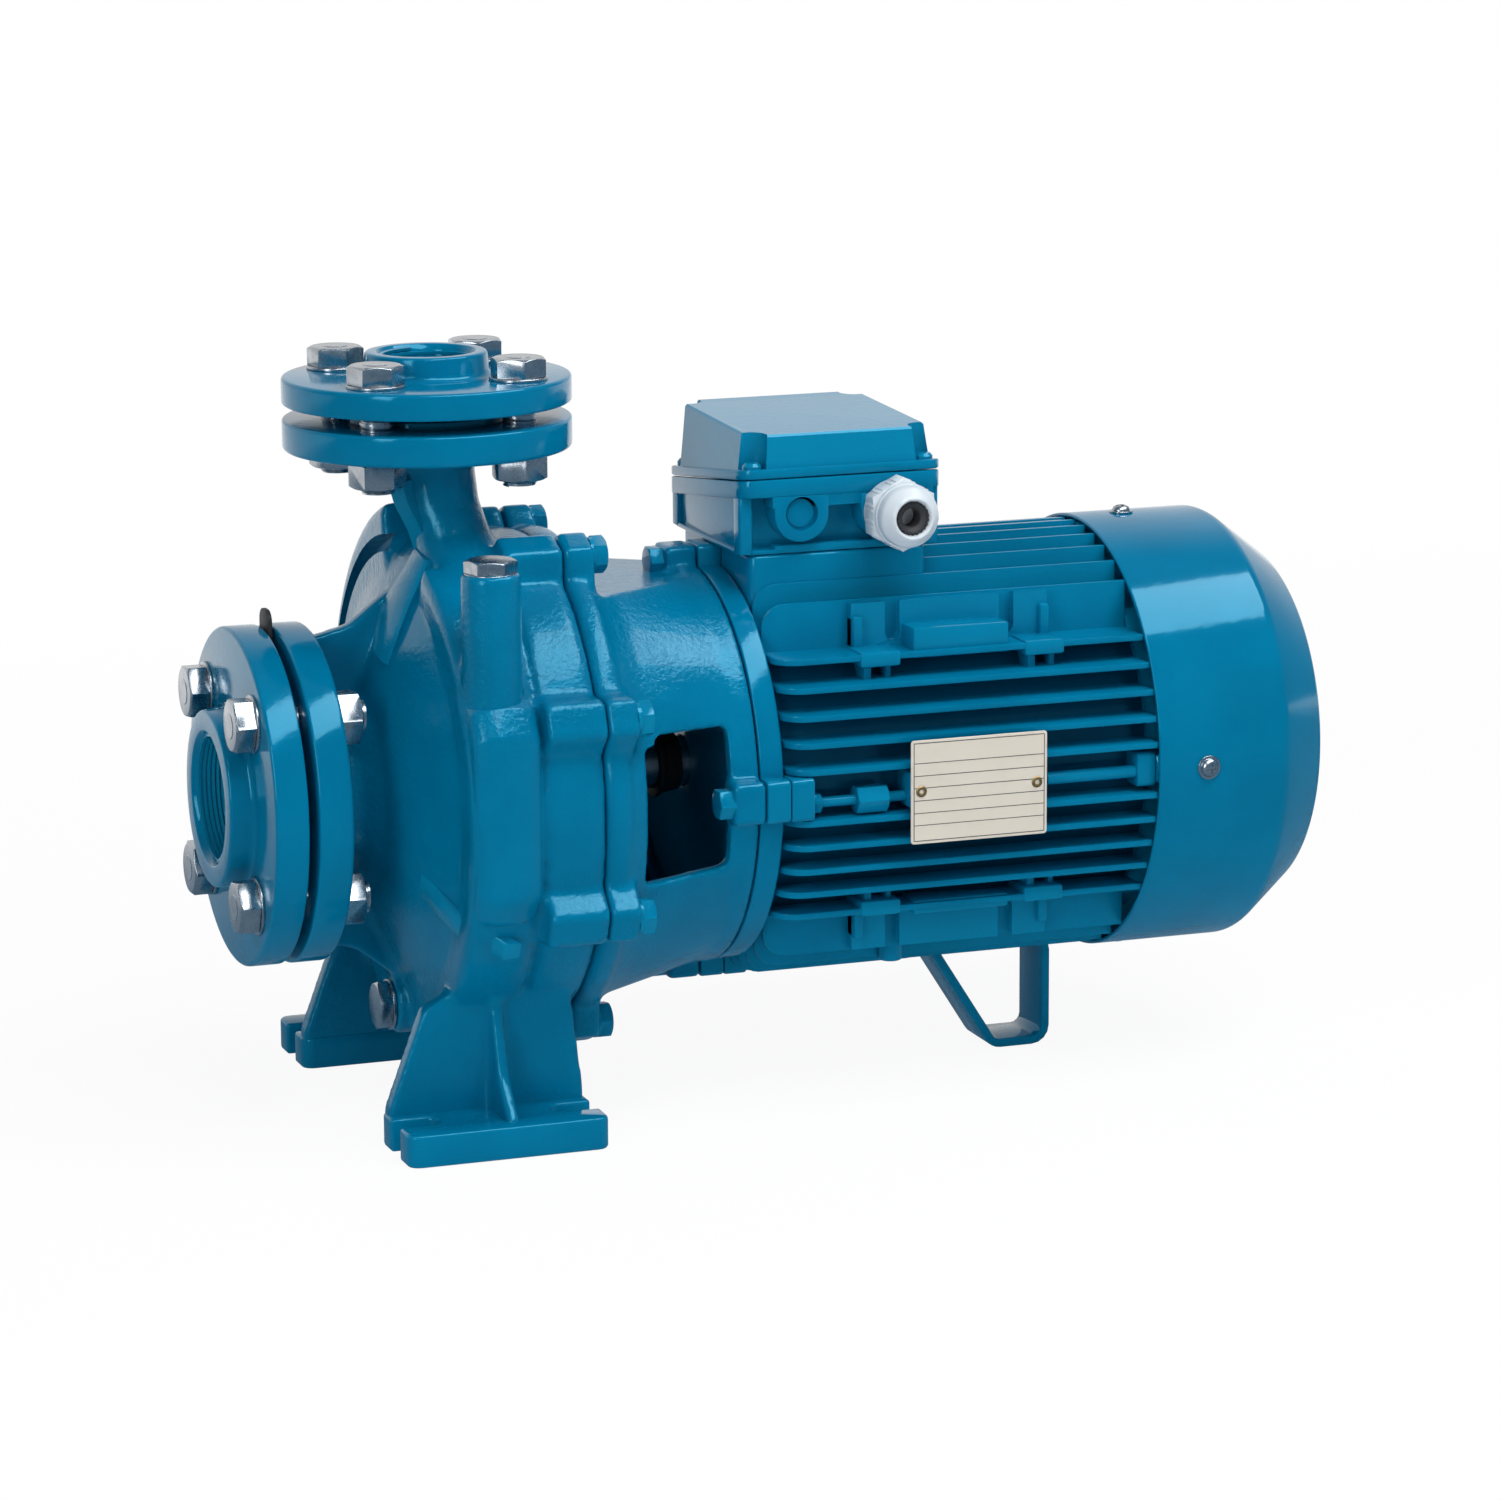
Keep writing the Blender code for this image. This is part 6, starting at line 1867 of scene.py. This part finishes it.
@dataclass
class TerminalBox:
    """Cast terminal box with its sloping seam, its lid, its apron and its knock-out."""

    centre_x: float = 193.5
    half_length: float = 52.5
    half_depth: float = 56.0
    end_inset: float = 2.0
    side_inset: float = 13.0
    flange: float = 9.0
    seam_z: float = 141.0
    slope: float = 0.12278
    top_z: float = 168.5
    top_slope: float = 0.03492
    base_z: float = 109.8
    corner: float = 9.0
    screw_inset: float = 8.0
    knockout_x: float = 172.0
    knockout_z: float = 130.0
    gland_x: float = 219.0
    gland_z: float = 129.0

    def seam(self, y: float, offset: float = 0.0) -> float:
        """Height of the sloping seam at a place across the box."""
        return self.seam_z - y * self.slope + offset

    def outline(self, inset_x: float, inset_y: float, corner: float) -> list[Pair]:
        """Outline of the box in plan."""
        half = (self.half_length - inset_x, self.half_depth - inset_y)
        return rectangle(*half, corner, (self.centre_x, 0))

    def sloped(self, outline: Sequence[Pair], offset: float) -> list[Point]:
        """Lay an outline on the seam's slope."""
        return [(x, y, self.seam(y, offset)) for x, y in outline]

    def base(self) -> None:
        """Lower part with its flange, its foot, four columns and the apron in front."""
        wide = self.outline(0, 0, self.corner)
        flange = loft("flange", [self.sloped(wide, -self.flange), self.sloped(wide, -0.2)])
        softened(flange, 0.9, 2)
        narrow = self.outline(self.end_inset, self.side_inset, 5)
        level = [(x, y, self.base_z) for x, y in narrow]
        body = softened(loft("body", [level, self.sloped(narrow, -self.flange / 2)]), 1.0, 2)
        foot = self.outline(self.end_inset - 1.2, self.side_inset - 6.5, 6)
        parts = [flange, body, softened(slab("foot", foot, self.base_z, self.base_z + 2.6, Axis.Z), 0.9, 2)]
        for side_x, side_y in CORNER_SIGNS:
            x = self.centre_x + side_x * (self.half_length - 4.2)
            y = side_y * (self.half_depth - 10.5)
            column = rectangle(3.6, 5.2, 2.2, (x, y))
            low = [(a, b, self.base_z + 0.6) for a, b in column]
            high = self.sloped(column, -self.flange / 2)
            parts.append(softened(loft("column", [low, high]), 0.7, 2))
        parts += self.front()
        piece = joined("terminal_box_lower", parts)
        dressed(piece, FINE_ENAMEL, ("terminal_box_base",))

    def front(self) -> list[Piece]:
        """Apron under the flange with the tongues that carry the knock-out and the gland.

        Returns:
            Its pieces.
        """
        face = -self.half_depth + 0.6
        root = -self.half_depth + self.side_inset + 2
        corners = [(157, 133), (241, 133, 1.5), (241, 143, 1), (157, 143, 1)]
        apron = slab("apron", filleted(corners), face, root, Axis.Y)
        blank = self._tongue(self.knockout_x, self.knockout_z, 14.0, face - 0.3, root)
        knockout = move(self.knockout_x, 0, self.knockout_z) @ TO_NEAR_SIDE
        for piece in (softened(apron, 0.9, 2), softened(blank, 0.9, 2)):
            cut(piece, placed(drum("recess", -face - 2.6, -face + 4, 8.3, 48), knockout))
        seat = self._tongue(self.gland_x, self.gland_z, 16.5, -self.half_depth - 0.6, root)
        softened(seat, 0.9, 2)
        corners = [(160, self.base_z), (238, self.base_z), (238, 114), (160, 114)]
        step = softened(slab("step", corners, face + 6, root, Axis.Y), 0.9, 2)
        disc = placed(stud("disc", 1.0, 7.2, 0.5, 40), knockout @ move(-face - 3.2, 0, 0))
        return [apron, blank, seat, step, disc]

    @staticmethod
    def _tongue(x: float, z: float, radius: float, face: float, root: float) -> Piece:
        """Raised field round a hole that hangs from the apron, round at its bottom.

        Args:
            x: Place of the hole along the box.
            z: Height of the hole.
            radius: Radius of the field.
            face: Where it begins across the box.
            root: Where it ends.

        Returns:
            The field.
        """
        points = [(x + radius, z + 9), (x - radius, z + 9)]
        for step in range(25):
            angle = math.pi + math.pi * step / 24
            points.append((x + radius * math.cos(angle), z + radius * math.sin(angle)))
        return slab("tongue", points, face, root, Axis.Y)

    def lid(self) -> None:
        """Lid with a round recess over each corner screw, on a top that rises to the back."""
        wide = self.outline(0, 0, self.corner)
        rim = softened(loft("rim", [self.sloped(wide, 0.2), self.sloped(wide, 5.0)]), 0.9, 2)

        def top(inset: float, offset: float) -> list[Point]:
            """Outline of the lid's top at one inset.

            Args:
                inset: How far it lies inside the rim.
                offset: Height above the top's edge.

            Returns:
                The outline.
            """
            outline = self.outline(inset, inset, 5)
            level = self.top_z + offset
            return [(x, y, level + (y + self.half_depth) * self.top_slope) for x, y in outline]

        foot = self.sloped(self.outline(2.5, 2.5, 5), 3.0)
        dome = loft("dome", [foot, top(5.0, -1.0), top(6.0, 0.0)])
        for side_x, side_y in CORNER_SIGNS:
            y = side_y * (self.half_depth - self.screw_inset)
            x = self.centre_x + side_x * (self.half_length - self.screw_inset)
            room = drum("room", self.seam(y, 4.4), self.top_z + 10, 7.5, 40)
            cut(dome, placed(room, move(x, y, 0) @ UPRIGHT))
        softened(dome, 1.0, 3, 28)
        piece = joined("terminal_box_cap", [rim, dome])
        dressed(piece, FINE_ENAMEL, ("terminal_box_lid",))

    def screws(self) -> None:
        """Painted screws in the four corners of the lid."""
        head = [(0, 0), (0, 4.8), (1.8, 4.8), (3.2, 3.6), (3.6, 0)]
        screw = placed(turned("screw", head, 32), UPRIGHT)
        sizes = {
            "Length": 2 * (self.half_length - self.screw_inset),
            "Depth": 2 * (self.half_depth - self.screw_inset), "Slope": self.slope,
        }
        piece = REPEATS.corners.run("lid_screws", FINE_ENAMEL, sizes, screw)
        placed(piece, move(self.centre_x, 0, self.seam_z + 5.0))
        dressed(piece, FINE_ENAMEL)


@dataclass
class CableGland:
    """Plastic gland on the front of the box: hexagon with grip ribs, domed nut and seal."""

    x: float = 219.0
    z: float = 129.0
    seat_y: float = -56.6
    flats: float = 32.0
    body_length: float = 15.0
    cap_r: float = 15.8
    cap_length: float = 13.0
    cap_bore: float = 8.4
    seal_teeth: int = 22

    def out(self, piece: Piece, distance: float) -> Piece:
        """Point a piece that runs along X out of the front of the box."""
        return placed(piece, move(self.x, self.seat_y - distance, self.z) @ TO_NEAR_SIDE)

    def body(self) -> None:
        """Collar and hexagon with pairs of ribs on its flats."""
        corners = [(0, 0), (0, 15.6, 0.5), (2.2, 15.6, 0.4), (2.2, 0)]
        collar = turned("collar", filleted(corners, closed=False), 64)
        parts = [collar, hex_block("hexagon", self.flats, 2.8, self.body_length, both_ends=True)]
        sizes = {"Count": 6, "Radius": 0.0, "First Angle": math.radians(30)}
        for offset in (-5.2, -2.6, 2.6, 5.2):
            low = (4.6, offset - 0.55, self.flats / 2 - 1)
            rib = block("rib", low, (self.body_length - 1.4, offset + 0.55, self.flats / 2 + 0.45), 0.2)
            parts.append(placed(REPEATS.ring.run("ribs", PALE_PLASTIC, sizes, rib), turn(30)))
        piece = placed(joined("gland_hexagon", parts), turn(30))
        dressed(self.out(piece, 0.3), PALE_PLASTIC, ("gland_body",))

    def cap(self) -> None:
        """Smooth domed nut with a turned lip round its mouth."""
        length, radius = self.cap_length, self.cap_r
        corners = [
            (0, self.cap_bore), (0, radius, 0.5), (2.0, radius, 0.4), (2.3, radius - 0.5),
            (length - 5.5, radius - 0.7, 4.5), (length - 1.2, radius - 4.6, 2.0),
            (length, radius - 6.0, 0.7), (length - 0.6, radius - 6.6), (length - 2.2, self.cap_bore),
        ]
        piece = turned("gland_nut", filleted(corners, steps=6), 96, ring=True)
        dressed(self.out(piece, self.body_length + 0.6), PALE_PLASTIC, ("gland_cap",))

    def seal(self) -> None:
        """Rubber seal with its ring of teeth and the dark hole for the cable."""
        end = self.body_length + self.cap_length - 1.0
        corners = [(7, 4.6), (7, 8.0), (end - 0.8, 8.0, 0.5), (end - 1.2, 6.4), (end - 2.8, 4.6, 0.8)]
        ring = turned("ring", filleted(corners), 64, ring=True)
        tooth = block("tooth", (end - 2.0, -0.55, 7.1), (end - 0.3, 0.55, 8.3), 0.2)
        sizes = {"Count": self.seal_teeth, "Radius": 0.0}
        teeth = REPEATS.ring.run("teeth", GREY_RUBBER, sizes, tooth)
        stop = turned("stop", [(6, 0), (6, 5), (7.5, 5), (7.5, 0)], 32)
        piece = joined("gland_seal_ring", [ring, teeth, stop])
        dressed(self.out(piece, 0.3), GREY_RUBBER, ("gland_seal",))


@dataclass
class StrapFoot:
    """Flat bar bent into the foot under the motor, with its screws."""

    width: float = 30.0
    thick: float = 4.5
    rear_x: float = 321.0
    floor_x: float = 289.0
    front_x: float = 255.0
    tab: float = 20.0
    top: float = -106.0
    bend: float = 5.0

    def bar(self) -> None:
        """The bent bar."""
        floor, thick, bend = -SHAFT_HEIGHT, self.thick, self.bend
        lean = (self.floor_x - self.front_x) / (self.top - floor)
        shift = thick * math.sqrt(1 + lean**2) - thick * lean
        outer = [
            (self.front_x - self.tab, self.top), (self.front_x, self.top, bend),
            (self.floor_x, floor, bend + thick), (self.rear_x, floor, bend + thick),
            (self.rear_x, self.top + thick, bend + thick), (self.rear_x - self.tab, self.top + thick),
        ]
        inner = [
            (self.rear_x - self.tab, self.top), (self.rear_x - thick, self.top, bend),
            (self.rear_x - thick, floor + thick, bend), (self.floor_x + shift, floor + thick, bend),
            (self.front_x + shift, self.top + thick, bend + thick),
            (self.front_x - self.tab, self.top + thick),
        ]
        half = self.width / 2
        bar = slab("support_strap_bar", filleted(outer + inner), -half, half, Axis.Y)
        softened(bar, 0.8, 2, 50)
        dressed(bar, FINE_ENAMEL, ("motor_support_strap",))

    def screws(self) -> None:
        """Painted screws that hold the strap to the frame."""
        heads = []
        for end in (self.front_x, self.rear_x):
            head = placed(hex_block("head", 11, 0, 5), turn(180) @ UPRIGHT)
            heads.append(placed(head, move(end - self.tab / 2, 0, self.top)))
        dressed(joined("strap_screws", heads), FINE_ENAMEL)


@dataclass
class RatingPlate:
    """Bare rating plate with its printed rules, on the near side of the fins."""

    low_x: float = 206.5
    high_x: float = 277.5
    low_z: float = -25.4
    high_z: float = 25.8
    y: float = -112.0
    thick: float = 0.8
    border: float = 1.5
    rules: tuple[float, ...] = (14.4, 8.2, 2.2, -4.0, -10.2, -16.2)
    rivets_x: Pair = (211.8, 272.2)
    rivets_z: float = 0.6

    def sheet(self) -> None:
        """The plate itself."""
        middle = ((self.low_x + self.high_x) / 2, (self.low_z + self.high_z) / 2)
        half = ((self.high_x - self.low_x) / 2, (self.high_z - self.low_z) / 2)
        plate = slab("rating_plate", rectangle(*half, 1.6, middle), self.y - self.thick, self.y, Axis.Y)
        dressed(softened(plate, 0.2, 1), CREAM_PLATE)

    def ink(self) -> None:
        """Printed border and rules."""
        front = self.y - self.thick
        outside, inside = front - 0.06, front + 0.2
        left, right = self.low_x + self.border, self.high_x - self.border
        low, high = self.low_z + self.border, self.high_z - self.border
        strips = []
        for z in self.rules:
            strips.append(block("rule", (left + 0.1, outside, z - 0.17), (right - 0.1, inside, z + 0.17)))
        for z in (low, high):
            strips.append(block("edge", (left, outside, z - 0.2), (right, inside, z + 0.2)))
        for x in (left, right):
            strips.append(block("edge", (x - 0.2, outside, low), (x + 0.2, inside, high)))
        dressed(joined("rating_plate_rules", strips), PLATE_INK)

    def rivets(self) -> None:
        """Two hollow brass rivets that hold the plate, with a black disc in each hollow as painted shade.
        """
        front = self.y - self.thick
        profile = [(-2, 1.2), (-2, 2.8), (0.25, 2.8, 0.2), (0.7, 2.1, 0.3), (0.5, 1.2, 0.1)]
        bottom = [(-2, 0), (-2, 1.4), (-0.6, 1.4), (-0.6, 0)]
        rings, hole_shades = [], []
        for x in self.rivets_x:
            seat = move(x, front, self.rivets_z) @ TO_NEAR_SIDE
            rings.append(placed(turned("rivet", filleted(profile), 32, ring=True), seat))
            # black disc in the rivet's hollow, as painted shade
            hole_shades.append(placed(turned("hole", bottom, 24), seat))
        dressed(joined("rating_plate_rivet_hole_shade", hole_shades), BLACK_RUBBER)
        dressed(joined("rating_plate_rivets", rings), CAST_BRONZE)


@dataclass
class CasingCover:
    """Cover behind the impeller, with its seal housing."""

    bore_r: float = 13.1
    front_x: float = 27.0
    rim_x: float = 49.5
    rim_r: float = 105.7
    housing_x: float = 84.0
    housing_r: float = 34.0

    def casting(self) -> None:
        """Turned cover with the hollow round its housing."""
        corners = [
            (self.front_x, self.bore_r), (self.front_x, self.rim_r, 0.5), (self.rim_x, self.rim_r),
            (self.rim_x, self.rim_r - 14), (41, self.rim_r - 18, 2), (41, self.housing_r + 7, 6),
            (48, self.housing_r, 4), (70, self.housing_r, 1.5), (71, 23.2, 1),
            (self.housing_x, 22, 1), (self.housing_x, self.bore_r),
        ]
        cover = turned("casing_cover_casting", filleted(corners), 96, ring=True)
        dressed(cover, FINE_ENAMEL, ("casing_cover",))


@dataclass
class Rotor:
    """Shaft and slinger. The impeller and the fan stay as they are packed."""

    shaft_start: float = -4.0
    shaft_end: float = 404.0
    shaft_r: float = 12.5
    slinger_start: float = 112.0
    slinger_end: float = 124.0
    slinger_bore: float = 12.8

    def shaft(self) -> None:
        """The plain ground shaft."""
        start, end, radius = self.shaft_start, self.shaft_end, self.shaft_r
        corners = [(start, 0), (start, radius, 1), (end, radius, 1), (end, 0)]
        shaft = turned("ground_shaft", filleted(corners, closed=False), 64)
        dressed(shaft, GROUND_STEEL, ("motor_shaft",), Body.ROTOR)

    def slinger(self) -> None:
        """Rubber ring that throws off drops in the lantern."""
        start, end, bore = self.slinger_start, self.slinger_end, self.slinger_bore
        corners = [(start, bore), (start, 17, 0.6), (114, 17), (116, 15.5, 0.5), (end, 14.3), (end, bore)]
        slinger = turned("slinger_ring", filleted(corners), 64, ring=True)
        dressed(slinger, BLACK_RUBBER, ("shaft_slinger",), Body.ROTOR)


@dataclass(frozen=True)
class Softbox:
    """Soft lamp that faces the pump and may show in its gloss."""

    name: str
    place: Point
    size: Pair
    power: float
    mirrored: bool = True

    def build(self) -> None:
        """Hang the lamp up."""
        data = bpy.data.lights.new(self.name, "AREA")
        data.shape = "RECTANGLE"
        data.size, data.size_y = self.size
        data.energy = self.power
        made = bpy.data.objects.new(self.name, data)
        made.visible_glossy = self.mirrored
        way = Vector((0.0, 0.0, 0.15)) - Vector(self.place)
        facing = way.to_track_quat("-Z", "Y").to_matrix().to_4x4()
        made.matrix_world = Matrix.Translation(self.place) @ facing
        bpy.context.scene.collection.objects.link(made)


@dataclass
class Studio:
    """Pale floor, plain world, soft lamps and the camera at the photograph's angle."""

    eye: Point = (-0.89986, -2.510995, 0.73327)
    yaw: float = 19.7595
    pitch: float = 12.0789
    roll: float = -0.3231
    lens: float = 131.267
    world_light: float = 0.19
    backdrop: Colour = (0.8, 0.8, 0.8, 1.0)
    floor_colour: Colour = (0.93, 0.93, 0.93, 1.0)
    floor_white: float = 0.93
    softboxes: tuple[Softbox, ...] = (
        Softbox("top_softbox", (0.5, -0.75, 1.9), (2.4, 0.75), 37.0),
        Softbox("left_softbox", (-2.0, -1.5, 1.1), (0.7, 1.5), 18.0),
        Softbox("front_softbox", (1.3, -2.5, 1.3), (0.6, 1.4), 11.0, mirrored=False),
        Softbox("rear_softbox", (-0.6, 2.6, 1.2), (1.2, 1.4), 14.0, mirrored=False),
    )

    def camera(self) -> None:
        """Place the camera."""
        yaw, pitch, roll = (math.radians(a) for a in (self.yaw, self.pitch, self.roll))
        flat = math.cos(pitch)
        forward = Vector((math.sin(yaw) * flat, math.cos(yaw) * flat, -math.sin(pitch)))
        level = Vector((math.cos(yaw), -math.sin(yaw), 0.0))
        up = level.cross(forward)
        across = level * math.cos(roll) + up * math.sin(roll)
        upward = up * math.cos(roll) - level * math.sin(roll)
        axes = Matrix((across, upward, -forward)).transposed().to_4x4()
        data = bpy.data.cameras.new("camera")
        data.lens = self.lens
        data.sensor_width = 36.0
        data.clip_end = 50.0
        made = bpy.data.objects.new("camera", data)
        made.matrix_world = Matrix.Translation(self.eye) @ axes
        bpy.context.scene.collection.objects.link(made)
        bpy.context.scene.camera = made

    def world(self) -> None:
        """White backdrop that the camera and reflections show, dark room behind the camera."""
        world = bpy.data.worlds.new("studio")
        bpy.context.scene.world = world
        world.use_nodes = True
        graph = NodeGraph(world.node_tree)
        background = world.node_tree.nodes["Background"]
        way = graph.node("ShaderNodeTexCoord", output="Generated")
        _, depth, height = graph.parts(way)
        backdrop = depth.between(0.25, 0.75).math("MAXIMUM", height.between(0.8, 1.0) * 0.15)
        picture = graph.blend(backdrop, DARK_ROOM, self.backdrop)
        plain = graph.blend(self._mirrored(graph), WHITE, picture)
        strength = self.world_light + self._seen(graph) * (1.0 - self.world_light)
        graph.tree.links.new(plain.socket, background.inputs["Color"])
        graph.tree.links.new(strength.socket, background.inputs["Strength"])

    @staticmethod
    def _mirrored(graph: NodeGraph) -> Wire:
        """1 on rays that metal, gloss and glass send out."""
        glossy = graph.node("ShaderNodeLightPath", output="Is Glossy Ray")
        return glossy.math("MAXIMUM", graph.node("ShaderNodeLightPath", output="Is Transmission Ray"))

    def _seen(self, graph: NodeGraph) -> Wire:
        """1 on rays that show the background, and 0 on rays that only light the pump."""
        from_camera = graph.node("ShaderNodeLightPath", output="Is Camera Ray")
        return self._mirrored(graph).math("MAXIMUM", from_camera)

    def floor(self) -> None:
        """Pale floor that keeps the pump's soft shadow."""
        shape = bmesh.new()
        bmesh.ops.create_grid(shape, x_segments=1, y_segments=1, size=40.0)
        floor = linked("floor", shape)
        constants = {"Base Color": self.floor_colour, "Roughness": 0.9, "Specular IOR Level": 0.0}
        material, graph, principled = new_shader("pale_floor", constants)
        _, depth, _ = graph.parts(graph.node("ShaderNodeTexCoord", output="Object"))
        near = self._mirrored(graph) * (1.0 - depth.between(0.2, 1.2))
        white = graph.node("ShaderNodeEmission", None, {"Color": graph.blend(near, WHITE, DARK_ROOM)})
        whole = self.floor_white + (1.0 - self.floor_white) * depth.between(0.3, 1.5)
        shaders = {0: self._seen(graph) * whole, 1: Wire(graph, principled.outputs[0]), 2: white}
        mixed = graph.node("ShaderNodeMixShader", None, shaders)
        graph.tree.links.new(mixed.socket, graph.tree.nodes["Material Output"].inputs["Surface"])
        floor.data.materials.append(material)

    def build(self) -> None:
        """Make the whole studio."""
        bpy.context.scene.view_settings.view_transform = "Standard"
        self.camera()
        self.world()
        self.floor()
        for softbox in self.softboxes:
            softbox.build()


def carry_over() -> None:
    """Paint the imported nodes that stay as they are."""
    kept = {"impeller": CAST_BRONZE, "cooling_fan": BLACK_PLASTIC, "rear_end_shield": FINE_ENAMEL}
    for name, finish in kept.items():
        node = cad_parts[name]
        node.data.materials.clear()
        node.data.materials.append(SHOP.material(finish))
        LOG.info("%s: as packed, %s", name, finish.name)


def write_sizes() -> None:
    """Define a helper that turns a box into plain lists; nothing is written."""

    def plain(box: Any) -> list[list[float]]:
        """Turn a box into plain lists."""
        return [[float(value) for value in corner] for corner in box]


def main() -> None:
    """Build the studio and every sub-assembly in order."""
    logging.basicConfig(level=logging.INFO, format="%(name)s %(message)s")
    Studio().build()
    casing = PumpCasing()
    casing.casting()
    casing.machined()
    CounterFlange(
        "suction_screwed_flange", "suction_counter_flange",
        thread_r=29.8, face_r=49.0, raise_=1.0, outer_r=82.5, thick=16.3, hub_r=43.5, hub_length=12.0,
        to_place=move(-84.0, 0, 0) @ TURNED_ABOUT,
    ).plate()
    CounterFlange(
        "discharge_screwed_flange", "discharge_counter_flange",
        thread_r=20.95, face_r=38.0, raise_=2.0, outer_r=70.0, thick=13.0, hub_r=30.0, hub_length=11.5,
        to_place=move(0, 0, 185.3) @ UPRIGHT,
    ).plate()
    Gaskets().both()
    FlangeBolts(
        "suction_flange_bolts", circle_r=62.5, grip=38.3, stack=11.6, seed=4, to_place=move(-101.3, 0, 0)
    ).make()
    from_above = move(0, 0, 200.3) @ UPRIGHT @ TURNED_ABOUT
    FlangeBolts(
        "discharge_flange_bolts", circle_r=50.0, grip=35.3, stack=11.0, seed=11, to_place=from_above
    ).make()
    Plugs().both()
    Lantern().casting()
    screws = PaintedScrews()
    screws.clamp_screws()
    screws.tie_screws()
    motor = MotorFrame()
    motor.casting()
    motor.drive_shield()
    motor.side_tie_rods()
    cover = FanCover()
    cover.shell()
    cover.screws()
    cover.guard()
    box = TerminalBox()
    box.base()
    box.lid()
    box.screws()
    gland = CableGland()
    gland.body()
    gland.cap()
    gland.seal()
    strap = StrapFoot()
    strap.bar()
    strap.screws()
    plate = RatingPlate()
    plate.sheet()
    plate.ink()
    plate.rivets()
    rotor = Rotor()
    rotor.shaft()
    rotor.slinger()
    CasingCover().casting()
    carry_over()
    write_sizes()


if __name__ == "__main__":
    main()
